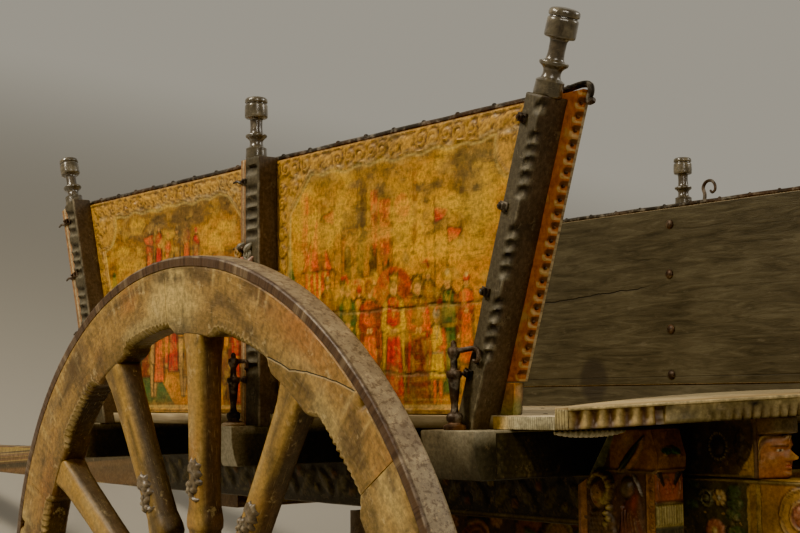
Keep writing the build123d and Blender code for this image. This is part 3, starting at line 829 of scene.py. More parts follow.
def horse(P, x, z, h, coat, way=1, cloth=RED):
    """A plain standing horse seen from its side."""
    w = way
    q = [(-0.62, 0.60), (-0.58, 0.42), (-0.30, 0.34), (0.24, 0.34), (0.46, 0.42), (0.60, 0.62), (0.72, 0.78), (0.92, 0.72), (0.98, 0.80),
         (0.80, 0.96), (0.66, 1.02), (0.50, 0.90), (0.34, 0.68), (-0.40, 0.68)]
    for lx, k in ((-0.50, 0.06), (-0.36, -0.05), (0.26, 0.05), (0.40, -0.02)):
        P.poly([(x + w * (lx - 0.05) * h, z + 0.42 * h), (x + w * (lx + 0.06) * h, z + 0.42 * h), (x + w * (lx + k + 0.03) * h, z), (x + w * (lx + k - 0.03) * h, z)],
               shade(coat, 0.8), edge=INK)
    P.poly([(x + w * a * h, z + b * h) for a, b in q], coat, edge=INK)
    P.line([(x + w * 0.62 * h, z + 1.0 * h), (x + w * 0.46 * h, z + 0.86 * h), (x + w * 0.36 * h, z + 0.68 * h)], 0.05 * h, UMBER)
    P.line([(x - w * 0.60 * h, z + 0.58 * h), (x - w * 0.72 * h, z + 0.30 * h)], 0.06 * h, UMBER)
    P.poly([(x - w * 0.20 * h, z + 0.69 * h), (x + w * 0.16 * h, z + 0.68 * h), (x + w * 0.20 * h, z + 0.38 * h), (x - w * 0.24 * h, z + 0.38 * h)], cloth, edge=GOLD)
    P.line([(x + w * 0.66 * h, z + 1.02 * h), (x + w * 0.62 * h, z + 1.16 * h)], 0.05 * h, RED)


def rider(P, x, z, h, way, robe, hat, hatcol):
    P.poly([(x - way * 0.10 * h, z + 0.62 * h), (x + way * 0.12 * h, z + 0.62 * h), (x + way * 0.10 * h, z + 1.08 * h), (x - way * 0.07 * h, z + 1.08 * h)], robe, edge=INK)
    P.line([(x, z + 0.66 * h), (x + way * 0.16 * h, z + 0.36 * h)], 0.10 * h, shade(robe, 1.3))
    P.line([(x + way * 0.05 * h, z + 1.0 * h), (x + way * 0.26 * h, z + 0.86 * h)], 0.07 * h, shade(robe, 1.3))
    P.ell(x + way * 0.02 * h, z + 1.18 * h, 0.065 * h, 0.085 * h, SKIN, edge=INK)
    P.ell(x + way * 0.0 * h, z + 1.26 * h, 0.08 * h, 0.05 * h, hatcol, edge=INK)
    if hat:
        P.line([(x, z + 1.30 * h), (x - way * 0.10 * h, z + 1.40 * h), (x - way * 0.2 * h, z + 1.34 * h)], 0.05 * h, RED)


def tree(P, x, z, h, w, col=GREEN):
    P.poly([(x - 0.003, z), (x + 0.003, z), (x + 0.002, z + h * 0.3), (x - 0.002, z + h * 0.3)], UMBER)
    for k in range(7):
        f = k / 6
        P.ell(x + 0.3 * w * sin(k * 2.3) * (1 - f), z + h * (0.22 + 0.72 * f), w * (1 - 0.65 * f) / 2, h * 0.12, shade(col, 0.8 + 0.5 * (k % 2)), 0.95)


def arcade(P, x, z, n, w, h, col):
    """A wall with n round arches."""
    P.poly([(x, z), (x + n * w, z), (x + n * w, z + h), (x, z + h)], col, edge=UMBER)
    for k in range(n):
        cx = x + (k + 0.5) * w
        P.poly([(cx - 0.3 * w, z), (cx + 0.3 * w, z), (cx + 0.3 * w, z + 0.45 * h), (cx - 0.3 * w, z + 0.45 * h)], shade(UMBER, 0.7))
        P.ell(cx, z + 0.45 * h, 0.3 * w, 0.22 * h, shade(UMBER, 0.7))
    P.line([(x, z + 0.86 * h), (x + n * w, z + 0.86 * h)], 0.002, UMBER)


def tent(P, x, z, w, h, col, col2):
    """A striped pointed tent with a ball on top."""
    P.poly([(x - w / 2, z), (x + w / 2, z), (x + w * 0.42, z + h * 0.55), (x - w * 0.42, z + h * 0.55)], col, edge=INK)
    for k in (-0.30, -0.10, 0.10, 0.30):
        P.poly([(x + (k - 0.045) * w, z), (x + (k + 0.045) * w, z), (x + (k + 0.035) * w * 0.9, z + h * 0.55), (x + (k - 0.035) * w * 0.9, z + h * 0.55)], col2)
    P.poly([(x - w * 0.52, z + h * 0.53), (x + w * 0.52, z + h * 0.53), (x + w * 0.10, z + h * 0.86), (x, z + h), (x - w * 0.10, z + h * 0.86)], shade(col, 1.2), edge=INK)
    P.line([(x, z + h), (x - w * 0.28, z + h * 0.55)], 0.004, col2, 0.8).line([(x, z + h), (x + w * 0.28, z + h * 0.55)], 0.004, col2, 0.8)
    P.ell(x, z + h, 0.005, 0.005, YELLOW)


Z0, Z1 = 1.138, 1.5345          # the painted board, bottom and top
ZA = 1.0915                     # the painting runs on down over the rail


def picture(kind, mirror):
    """One of the painted fields; x is the distance from the middle post, up to 0.73 m."""
    P = Paint(0.73, 0.40, 0.00125, 0.0, Z0, (0.60, 0.30, 0.030))
    if kind == "court":
        P.soft(0.36, 1.44, 0.34, 0.07, (0.42, 0.29, 0.075), 0.8).soft(0.42, 1.38, 0.16, 0.05, YELLOW, 0.55).soft(0.30, 1.26, 0.12, 0.06, (0.66, 0.40, 0.05), 0.7)
        P.soft(0.57, 1.42, 0.035, 0.055, (0.12, 0.095, 0.055), 1.0).soft(0.60, 1.48, 0.09, 0.025, (0.14, 0.11, 0.06), 0.9).soft(0.56, 1.22, 0.03, 0.03, (0.17, 0.12, 0.05), 0.8)
        P.soft(0.15, 1.50, 0.2, 0.03, (0.25, 0.18, 0.07), 0.9).soft(0.40, 1.505, 0.35, 0.016, (0.20, 0.15, 0.07), 0.8)
        P.poly([(0.03, 1.14), (0.14, 1.14), (0.115, 1.30), (0.09, 1.37), (0.03, 1.40)], GREEN).poly([(0.03, 1.14), (0.10, 1.14), (0.06, 1.31), (0.03, 1.33)], OLIVE)
        tree(P, 0.078, 1.29, 0.13, 0.034)
        tent(P, 0.165, 1.245, 0.085, 0.20, ORANGE, YELLOW)
        arcade(P, 0.235, 1.335, 4, 0.034, 0.075, (0.50, 0.24, 0.06))
        P.ell(0.395, 1.425, 0.020, 0.022, (0.70, 0.30, 0.05), 0.7)
        hangings(P, (0.130, 0.178, 0.205, 0.292, 0.325, 0.352, 0.425, 0.452, 0.536), 1.475)
        crowd(P, 0.150, 0.044, 10, 1.205, 0.118, (RED, BROWN, ORANGE, MAROON, GOLD), ("hood", "turban", "crown", "helm"))
        pole(P, 0.215, 1.25, 1.445, RED, -1)
        pole(P, 0.475, 1.25, 1.425, RED, 1)
        pole(P, 0.505, 1.22, 1.395, ORANGE, 1)
        P.ell(0.372, 1.315, 0.045, 0.030, (0.42, 0.10, 0.04)).poly([(0.327, 1.315), (0.417, 1.315), (0.41, 1.27), (0.334, 1.27)], (0.36, 0.09, 0.04))
        person(P, 0.250, 1.175, 0.155, OLIVE, GREEN, "helm", 1, "hold", True, GOLD)
        person(P, 0.505, 1.165, 0.165, GREEN, MAROON, "turban", -1, "down")
        person(P, 0.310, 1.150, 0.180, ORANGE, (0.40, 0.08, 0.03), "hood", 1, "hold", False, MAROON)
        person(P, 0.434, 1.148, 0.178, MAROON, RED, "crown", -1, "hold")
        person(P, 0.372, 1.140, 0.192, RED, YELLOW, "crown", 1, "hold")
        person(P, 0.478, 1.145, 0.135, YELLOW, ORANGE, "helm", -1, "raise", True, (0.45, 0.40, 0.30))
        person(P, 0.205, 1.160, 0.110, RED, None, "hood", 1, "raise", True, YELLOW)
        P.soft(0.40, 1.15, 0.25, 0.012, BROWN, 0.7)
        P.line([(0.03, 1.158), (0.62, 1.158)], 0.0016, CREAM, 0.5)
    elif kind == "tourney":
        P.soft(0.35, 1.46, 0.45, 0.06, (0.24, 0.145, 0.035), 0.8).soft(0.20, 1.40, 0.12, 0.05, YELLOW, 0.45).soft(0.45, 1.44, 0.22, 0.09, (0.28, 0.16, 0.06), 0.8).soft(0.55, 1.30, 0.06, 0.10, (0.20, 0.13, 0.05), 0.8)
        P.soft(0.30, 1.50, 0.35, 0.022, (0.20, 0.14, 0.06), 0.85)
        P.poly([(0.30, 1.14), (0.62, 1.14), (0.62, 1.33), (0.52, 1.30), (0.42, 1.24)], GREEN).poly([(0.42, 1.14), (0.60, 1.14), (0.60, 1.25), (0.50, 1.21)], OLIVE)
        tree(P, 0.565, 1.27, 0.12, 0.05)
        arcade(P, 0.06, 1.32, 3, 0.038, 0.085, (0.45, 0.22, 0.07))
        arcade(P, 0.22, 1.335, 5, 0.040, 0.040, (0.36, 0.19, 0.06))
        crowd(P, 0.235, 0.036, 6, 1.372, 0.082, (RED, ORANGE, BROWN, ORANGE), ("hood", "crown", "turban"))
        horse(P, 0.345, 1.165, 0.150, (0.66, 0.44, 0.20), 1, RED)
        rider(P, 0.340, 1.165, 0.150, 1, ORANGE, True, GOLD)
        pole(P, 0.400, 1.26, 1.46, ORANGE, 1, 0.045)
        crowd(P, 0.100, 0.055, 8, 1.200, 0.120, (RED, BROWN, MAROON, ORANGE), ("hood", "turban", "crown"))
        horse(P, 0.170, 1.150, 0.130, (0.22, 0.10, 0.05), -1, YELLOW)
        rider(P, 0.172, 1.150, 0.130, -1, RED, True, (0.40, 0.36, 0.28))
        person(P, 0.475, 1.150, 0.150, YELLOW, GREEN, "turban", -1, "raise", True, CREAM)
        person(P, 0.095, 1.150, 0.140, RED, MAROON, "crown", 1, "down")
        P.soft(0.30, 1.148, 0.30, 0.010, BROWN, 0.8)
    elif kind == "harvest":
        P.soft(0.33, 1.42, 0.30, 0.08, YELLOW, 0.45).soft(0.60, 1.44, 0.07, 0.06, (0.20, 0.14, 0.06), 0.9)
        P.poly([(0.03, 1.14), (0.66, 1.14), (0.60, 1.30), (0.44, 1.25), (0.22, 1.31), (0.03, 1.26)], OLIVE)
        tree(P, 0.09, 1.24, 0.17, 0.07)
        tree(P, 0.55, 1.24, 0.15, 0.06)
        P.soft(0.33, 1.48, 0.40, 0.03, (0.22, 0.14, 0.04), 0.8)
        hangings(P, (0.150, 0.215, 0.245, 0.330, 0.372, 0.510), 1.470)
        crowd(P, 0.130, 0.048, 9, 1.215, 0.115, (BROWN, RED, GOLD, MAROON, ORANGE), ("turban", "hood", "crown"))
        tent(P, 0.45, 1.235, 0.075, 0.15, RED, CREAM)
        for k, (x, c1, c2, hat) in enumerate(((0.16, RED, YELLOW, "hood"), (0.235, YELLOW, GREEN, "turban"), (0.315, MAROON, ORANGE, "crown"),
                                              (0.385, ORANGE, BLUE, "hood"), (0.475, GREEN, RED, "helm"))):
            person(P, x, 1.148, 0.165 + 0.01 * (k % 2), c1, c2, hat, 1 if k % 2 else -1, "raise" if k in (1, 3) else "hold", k == 4)
        P.soft(0.35, 1.146, 0.32, 0.010, BROWN, 0.8)
    else:
        P.soft(0.25, 1.43, 0.22, 0.08, YELLOW, 0.5).soft(0.52, 1.42, 0.12, 0.09, (0.26, 0.17, 0.07), 0.8)
        P.poly([(0.03, 1.14), (0.62, 1.14), (0.60, 1.26), (0.30, 1.23), (0.03, 1.30)], GREEN)
        arcade(P, 0.38, 1.28, 4, 0.036, 0.095, (0.50, 0.25, 0.08))
        tree(P, 0.08, 1.26, 0.15, 0.045)
        P.soft(0.30, 1.48, 0.38, 0.03, (0.22, 0.14, 0.04), 0.8)
        hangings(P, (0.130, 0.180, 0.260, 0.300, 0.340), 1.465)
        crowd(P, 0.110, 0.050, 8, 1.210, 0.112, (RED, ORANGE, MAROON, BROWN), ("hood", "helm", "turban"))
        horse(P, 0.30, 1.150, 0.150, (0.62, 0.40, 0.18), -1, GREEN)
        rider(P, 0.302, 1.150, 0.150, -1, RED, True, GOLD)
        pole(P, 0.235, 1.25, 1.44, YELLOW, -1, 0.045)
        person(P, 0.145, 1.150, 0.160, ORANGE, MAROON, "crown", 1, "raise")
        person(P, 0.430, 1.148, 0.165, YELLOW, RED, "helm", -1, "down", True)
        person(P, 0.495, 1.150, 0.150, MAROON, GREEN, "hood", -1, "hold")
        P.soft(0.32, 1.146, 0.30, 0.010, BROWN, 0.8)
    return P


def crowd(P, x0, step, n, z, h, cols, hats):
    """A row of small figures behind the ones in front."""
    for k in range(n):
        c = cols[(k * 3) % len(cols)]
        person(P, x0 + step * k, z + 0.010 * sin(k * 2.1), h + 0.008 * (k % 3), c, shade(c, 0.6), hats[k % len(hats)], 1 if k % 2 else -1, "hold", False, (RED, GOLD, UMBER)[k % 3])


def hangings(P, xs, top):
    """Long narrow cloths with pointed ends."""
    for k, x in enumerate(xs):
        c, t, w = (ORANGE, BROWN, GOLD, UMBER, ORANGE)[k % 5], top - 0.016 * (k % 3), 0.010 + 0.004 * (k % 2)
        b = 1.385 - 0.02 * (k % 2)
        P.poly([(x - w, t), (x + w, t), (x + w * 0.8, b), (x, b - 0.020), (x - w * 0.8, b)], c, 0.75)
        P.line([(x, t), (x, b - 0.010)], 0.0030, shade(c, 0.45), 0.8).line([(x - w * 0.55, t), (x - w * 0.5, b)], 0.0020, YELLOW, 0.6)


def edge_at(end, z):
    """Distance from the middle post to the end post's inner edge at height z."""
    return (0.5792 + 0.3438 * (z - 1.09)) if end == "rear" else (0.5329 + 0.3236 * (z - 1.09))


def art_field(name, side, end, kind, cracks):
    s = 1 if side == "left" else -1
    sx = -1 if end == "rear" else 1
    d0 = 0.0455 if end == "rear" else 0.0215
    P = picture(kind, False)
    H = Relief(0.73, 0.4450, 0.00125, 0.0, ZA)
    seed = 3 + len(kind) + 5 * (s > 0)
    X, Z = H.X, H.Z
    D = edge_at(end, Z)                                   # outer limit at each point
    top, band, strip = Z1, 0.036, 0.037
    # distance from the carved frame: negative inside the picture, with cut corners
    e_in, e_out, e_top = X - (d0 + strip), (D - strip * 0.85) - X, (top - band) - Z
    wave = 0.0025 * np.sin(X * 95) + 0.0015 * np.sin(X * 41 + 1)
    cut_in = ((X - (d0 + strip)) + (top - band - Z)) - 0.062
    r_c = np.hypot(X - (D - strip * 0.85), Z - (top - band)) - 0.066
    pic = np.minimum(np.minimum(e_in, e_out), np.minimum(e_top + wave, np.minimum(cut_in / 1.414, r_c)))
    pic = np.minimum(pic, Z - (ZA + 0.008))
    frame_zone = smooth(0.0015, -0.0015, pic)
    # running scrolls along the top
    h = H
    zc = top - band / 2 - 0.001
    k = 0
    x = 0.045
    while x < 0.70:
        dmax = edge_at(end, zc) - 0.016
        if x > dmax:
            break
        if k % 7 in (4, 5):                                # leafy stretch between groups of scrolls
            h.leaf((x - 0.016, zc - 0.010), (x + 0.030, zc + 0.011), 0.018, 0.0042, 3)
            h.leaf((x - 0.018, zc + 0.009), (x + 0.014, zc - 0.013), 0.012, 0.0034, 2)
            x += 0.033
        else:
            way = 1 if k % 2 else -1
            h.spiral(x, zc + way * 0.0012, 0.0135, 1.5, way, pi / 2 * way, 0.0052, 0.0044)
            h.ridge([(x + 0.010, zc - way * 0.010), (x + 0.021, zc - way * 0.013), (x + 0.030, zc - way * 0.006)], 0.0050, 0.0036, 0.6, 0.7)
            h.dome(x + 0.0185, zc + 0.011 * way, 0.0042, h=0.0030)
            x += 0.030
        k += 1
    h.ridge([(0.026, top - 0.0025), (0.72, top - 0.0025)], 0.0042, 0.0030)
    # scrolls down both upright strips
    for side_k in (0, 1):
        z = top - band - 0.016
        k = 0
        while z > ZA + 0.012:
            cx = d0 + strip / 2 - 0.001 if side_k == 0 else edge_at(end, z) - strip * 0.42
            way = 1 if k % 2 else -1
            if k % 3 == 2:
                h.leaf((cx - 0.007 * way, z + 0.012), (cx + 0.007 * way, z - 0.014), 0.017, 0.0036, 3)
            else:
                h.spiral(cx, z, 0.0118, 1.4, way, 0.0, 0.0048, 0.0036)
            z -= 0.027
            k += 1
    # corner flowers and leaves
    h.flower(d0 + strip + 0.015, top - band - 0.016, 0.015, 6, 0.0046)
    h.leaf((d0 + strip + 0.002, top - band - 0.030), (d0 + strip + 0.001, top - band - 0.058), 0.013, 0.0034, 3)
    h.leaf((d0 + strip + 0.032, top - band - 0.004), (d0 + strip + 0.060, top - band - 0.004), 0.012, 0.0034, 3)
    ox = edge_at(end, top - band) - strip * 0.85
    h.flower(ox - 0.016, top - band - 0.018, 0.019, 7, 0.0050)
    h.leaf((ox - 0.006, top - band - 0.036), (ox - 0.016, top - band - 0.062), 0.014, 0.0036, 3)
    h.leaf((ox - 0.034, top - band - 0.006), (ox - 0.062, top - band - 0.003), 0.013, 0.0034, 3)
    h.blur(1)
    # the picture is flat, a little below the frame's ground, with a bead round it
    ground = 0.0012
    hh = np.where(pic > 0, 0, ground + h.h)
    bead = np.exp(-((pic + 0.0016) / 0.0017) ** 2)
    hh = np.maximum(hh, bead * 0.0036)
    for z0, w0 in ((ZA + 0.002, 0.0022), (ZA + 0.007, 0.0018)):
        hh = np.maximum(hh, 0.0030 * np.exp(-((Z - z0) / w0) ** 2))
    P3 = np.stack([X, Z, X * 0], -1)
    hh = hh + 0.0005 * fnoise(P3, 0.02, seed, 3) * (pic > 0) + 0.0006 * fnoise(P3, 0.008, seed + 5, 2) * (pic <= 0)
    cav = cavity(hh, 0.00125, 0.0011)
    # colours of the frame, with painted shade in the carving's hollows and painted highlights on its ridges and on the
    # bead round the picture
    n_a, n_b = fnoise(P3, 0.05, seed + 9, 4), fnoise(P3, 0.012, seed + 3, 3)
    gold = np.asarray((0.66, 0.345, 0.035)) * (1 + 0.25 * n_b[..., None])
    deep = np.asarray((0.13, 0.060, 0.020))
    frame_c = gold + (deep - gold) * smooth(0.46, 0.86, cav)[..., None]
    light = np.asarray((0.82, 0.58, 0.20))
    frame_c = frame_c + (light - frame_c) * (smooth(0.40, 0.05, cav) * smooth(-0.1, 0.5, n_a) * 0.55)[..., None]
    pale = np.exp(-((pic + 0.0016) / 0.0016) ** 2) * smooth(-0.25, 0.35, n_a)
    frame_c = frame_c + (np.asarray((0.80, 0.60, 0.26)) - frame_c) * (pale * 0.6)[..., None]
    low = smooth(top - band + 0.010, top - band, Z) * (Z > top - band - 0.004) * smooth(-0.1, 0.4, n_b) * 0.5
    frame_c = frame_c + (np.asarray((0.74, 0.56, 0.26)) - frame_c) * low[..., None]
    n, m = X.shape
    pc = P.at(X, Z0 + (Z - ZA) * 0.396 / 0.443)
    # rubbed paint: ground shows through in level strokes, darker at the top
    strokes = fnoise(np.stack([X * 0.16, Z * 3.2, X * 0], -1), 0.02, seed + 21, 4)
    rub = smooth(0.12, 0.55, strokes) * smooth(-0.35, 0.35, n_a) * 0.65
    bare = np.asarray((0.64, 0.36, 0.035)) * (1 + 0.3 * n_b[..., None])
    pc = pc * (1 + 0.22 * fnoise(P3, 0.09, seed + 41, 2))[..., None]
    grey = pc.mean(-1, keepdims=True)
    pc = np.clip(grey + (pc - grey) * 1.40, 0.004, 1) * arr((1.12, 0.98, 0.78))
    clouds = fnoise(P3 * arr((0.7, 1.25, 1)), 0.040, seed + 51, 4)
    flecks = fnoise(P3 * arr((0.6, 1.6, 1)), 0.011, seed + 57, 3)
    high = smooth(1.30, 1.42, Z)
    pc = pc + (np.asarray((0.145, 0.080, 0.026)) - pc) * (smooth(0.02, 0.42, clouds) * (0.32 + 0.46 * high))[..., None]
    pc = pc + (np.asarray((0.93, 0.53, 0.022)) - pc) * (smooth(0.0, -0.40, clouds) * (0.32 + 0.34 * high))[..., None]
    pc = pc * (1 - 0.45 * smooth(0.10, 0.55, flecks))[..., None]
    pc = pc + (bare[:n, :m] - pc) * (rub[:n, :m] * 0.42)[..., None]
    grime = smooth(0.15, 0.6, fnoise(np.stack([X * 0.5, Z * 1.6, X * 0], -1), 0.045, seed + 31, 4)) * smooth(1.40, 1.50, Z) * 0.75
    pc = pc + (np.asarray((0.13, 0.10, 0.06)) - pc) * grime[:n, :m, None]
    yel = np.exp(-((pic - 0.004) / 0.0018) ** 2)[:n, :m] * 0.75
    pc = pc + (np.asarray((0.80, 0.60, 0.16)) - pc) * yel[..., None]
    col = frame_c[:n, :m] * frame_zone[:n, :m, None] + pc * (1 - frame_zone[:n, :m, None])
    # cracks run along the board, each with a painted highlight along its lower lip
    for zc_, a_, x0_, x1_ in cracks:
        zz = zc_ + a_ * (X - 0.3) + 0.0025 * vnoise(np.stack([X, X * 0, X * 0], -1), 0.05, 5) + 0.001 * vnoise(np.stack([X, X * 0, X * 0], -1), 0.011, 6)
        lim = smooth(x0_, x0_ + 0.02, X) * smooth(x1_, x1_ - 0.02, X)
        k1 = np.exp(-((Z - zz) / 0.0019) ** 4) * lim
        hh = hh - 0.0010 * k1
        col = col * (1 - 0.96 * k1[:n, :m, None])
        k2 = np.exp(-((Z - zz + 0.0036) / 0.0014) ** 2) * lim * 0.30
        col = col + (np.asarray((0.80, 0.60, 0.24)) - col) * k2[:n, :m, None]
    # sample on the slanted patch
    nz, nu = (146, 192) if s > 0 else (84, 116)
    z = np.linspace(ZA + 0.0002, Z1 - 0.0004, nz)
    t = np.linspace(0, 1, nu)
    dz = d0 + (edge_at(end, z)[None] - 0.0008 - d0) * t[:, None]
    zz = np.tile(z, (nu, 1))
    samp = Paint(0.73, 0.4450, 0.00125, 0.0, ZA, (0, 0, 0))
    samp.c = np.pad(np.concatenate([col, hh[:n, :m, None]], -1), ((0, 1), (0, 1), (0, 0)), mode="edge")
    q = samp.c
    q = (q[1:, 1:] + q[:-1, 1:] + q[1:, :-1] + q[:-1, :-1]) / 4
    samp.c, samp.nx, samp.nz = q, q.shape[0], q.shape[1]
    v = samp.at(dz, zz)
    hgt = v[..., 3]
    fade = smooth(0, 0.02, t)[:, None] * smooth(1, 0.98, t)[:, None]
    y = s * (0.5563 + 0.0006 + np.clip(hgt * (0.3 + 0.7 * fade), -0.0002, 0.01))
    xx = 0.1 + sx * dz
    Pt = np.stack([xx, y, zz], -1)
    Bt = np.stack([xx, np.full_like(xx, s * 0.5562), zz], -1)
    g = Geo()
    V, F = plate(Pt, Bt)
    c_all = np.concatenate([v[..., :3].reshape(-1, 3), np.tile(arr(0.3, 0.18, 0.07), (len(V) - nu * nz, 1))])
    g.add(V, F, col=np.clip(c_all, 0, 1))
    return make(name, g, M_art, col=True, angle=60)


CR = ((1.2585, 0.0, 0.10, 0.60), (1.158, -0.02, 0.06, 0.60))
art_field("painting_rear_left", "left", "rear", "court", CR)
art_field("painting_front_left", "left", "front", "tourney", ((1.262, 0.0, 0.05, 0.50),))
art_field("painting_rear_right", "right", "rear", "harvest", ((1.30, 0.01, 0.2, 0.6),))
art_field("painting_front_right", "right", "front", "castle", ((1.30, 0.0, 0.05, 0.3),))


# ------------------------------------------------------------------ boards behind the paintings
k = Mat("panel_edge_orange")
n1, n2, n3 = k.noise(120, (1, 1, 1), 6, 0.7), k.noise(26, (1, 1, 1), 5, 0.6), k.noise(40, (12, 1, 1.4), 4, 0.6, 0, (3, 1, 1))
c_ = k.ramp(n1, (0.3, (0.24, 0.060, 0.010)), (0.5, (0.44, 0.115, 0.016)), (0.7, (0.54, 0.175, 0.028)))
c_ = k.mix(k.math("MULTIPLY", k.step(n2, 0.55, 0.68), 0.65), c_, (0.42, 0.27, 0.09))
c_ = k.mix(k.math("MULTIPLY", k.step(n3, 0.58, 0.70), 0.7), c_, (0.10, 0.05, 0.02))
x_, y_, z_ = k.sep(k.p)
y_ = k.math("ABSOLUTE", y_)
up_ = k.math("SUBTRACT", z_, Z0)
in_rear = k.math("ADD", k.math("ADD", x_, 0.555), k.math("MULTIPLY", up_, 0.137 / 0.397))
in_fore = k.math("SUBTRACT", k.math("SUBTRACT", 0.760, k.math("MULTIPLY", up_, -0.129 / 0.397)), x_)
across = k.math("ADD", k.math("MINIMUM", in_rear, in_fore), k.math("MULTIPLY", k.math("SUBTRACT", n2, 0.5), 0.004))
along = k.math("MULTIPLY", k.math("SUBTRACT", k.math("FRACT", k.math("MULTIPLY", up_, 1.053 / 0.0195)), 0.5), 0.0185)
gouge = k.math("SQRT", k.math("ADD", k.math("MULTIPLY", across, across), k.math("MULTIPLY", along, along)))     # from each gouge's centre
# each gouge in the end strips gets a painted highlight on its lower rim and a painted shadow in its upper hollow
gouge_highlight = k.math("MULTIPLY", k.math("MULTIPLY", k.step(gouge, 0.0050, 0.0068), k.step(gouge, 0.0098, 0.0082)), k.step(along, 0.0020, -0.0015))
gouge_shadow = k.math("MULTIPLY", k.step(gouge, 0.0082, 0.0058), k.step(along, -0.0022, 0.0018))
c_ = k.mix(k.math("MULTIPLY", gouge_highlight, 0.75), c_, (0.54, 0.33, 0.090))
c_ = k.mix(k.math("MULTIPLY", gouge_shadow, 0.85), c_, (0.065, 0.030, 0.013))
c_ = k.mix(k.step(y_, 0.5448, 0.5428), c_, k.ramp(n3, (0.35, (0.16, 0.10, 0.05)), (0.6, (0.44, 0.33, 0.17))))
M_edge = k.done(c_, k.lerp(n2, 0.4, 0.65), k.math("ADD", n1, n3), 0.4, 0.001)

k = Mat("panel_inside_cracked")
x_, y_, z_ = k.sep(k.p)
g_ = k.noise(6, (1, 1, 9), 7, 0.64, 1.6)
f_ = k.noise(60, (1, 1, 7), 4, 0.6, 0, (1, 1, 1))
t_ = k.noise(5, (1, 1, 2), 4, 0.6, 0, (2, 2, 2))
c_ = k.ramp(k.math("ADD", k.math("MULTIPLY", g_, 0.62), k.math("MULTIPLY", t_, 0.38)), (0.36, (0.034, 0.028, 0.016)), (0.50, (0.076, 0.063, 0.037)), (0.64, (0.128, 0.108, 0.064)))
c_ = k.mix(k.math("MULTIPLY", k.step(f_, 0.57, 0.70), 0.45), c_, (0.030, 0.023, 0.016))
c_ = k.mix(k.math("MULTIPLY", k.step(k.noise(24, (1, 1, 3), 6, 0.65, 0, (4, 4, 1)), 0.58, 0.72), 0.35), c_, (0.19, 0.16, 0.105))
wob = k.math("MULTIPLY", k.math("SUBTRACT", k.noise(11, (1, 0, 0), 4, 0.6), 0.5), 0.022)
line = k.math("SUBTRACT", z_, k.math("ADD", k.math("ADD", 1.371, k.math("MULTIPLY", x_, -0.058)), wob))
crack = k.math("MULTIPLY", k.step(k.math("ABSOLUTE", line), 0.0018, 0.0009), k.step(x_, 0.15, 0.21))
seam = k.step(k.math("ABSOLUTE", k.math("SUBTRACT", z_, 1.155)), 0.0012, 0.0005)
# a rounded dark patch on the inner face is a painted cast shadow
sx_ = k.math("MULTIPLY", k.math("SUBTRACT", x_, 0.350), 1 / 0.050)
sz_ = k.math("MULTIPLY", k.math("SUBTRACT", z_, 1.150), 1 / 0.056)
spot = k.step(k.math("ADD", k.math("MULTIPLY", sx_, sx_), k.math("MULTIPLY", sz_, sz_)), 1.15, 0.45)
c_ = k.mix(k.math("MULTIPLY", spot, 0.75), c_, (0.03, 0.024, 0.02))
dark_ = k.math("MAXIMUM", crack, k.math("MULTIPLY", seam, 0.6))
c_ = k.mix(dark_, c_, (0.012, 0.009, 0.007))
h_ = k.math("ADD", k.math("MULTIPLY", g_, 0.8), k.math("ADD", k.math("MULTIPLY", f_, -0.6), k.math("MULTIPLY", dark_, -2.5)))
M_inside = k.done(c_, k.lerp(t_, 0.42, 0.72), h_, 0.5, 0.002, spec=0.4)


def notched(y_deep):
    """The board's outline, its end edges gouged by up to y_deep."""
    def side_line(xb, xt, way):
        L = Z1 + 0.0005 - Z0
        nn = 132
        out = []
        for i in range(nn + 1):
            t = i / nn
            z = Z0 + L * t
            ph = (t * L * 1.053 / 0.0195) % 1.0
            bite = max(0.0, 1 - ((ph - 0.5) / 0.34) ** 2) ** 0.5
            if z < Z0 + 0.012 or z > Z1 - 0.010:
                bite = 0
            out.append((xb + (xt - xb) * t - way * bite * y_deep, z))
        return out
    rear = side_line(-0.555, -0.692, -1)
    front = side_line(0.760, 0.889, 1)
    return np.array(rear[::-1] + front)


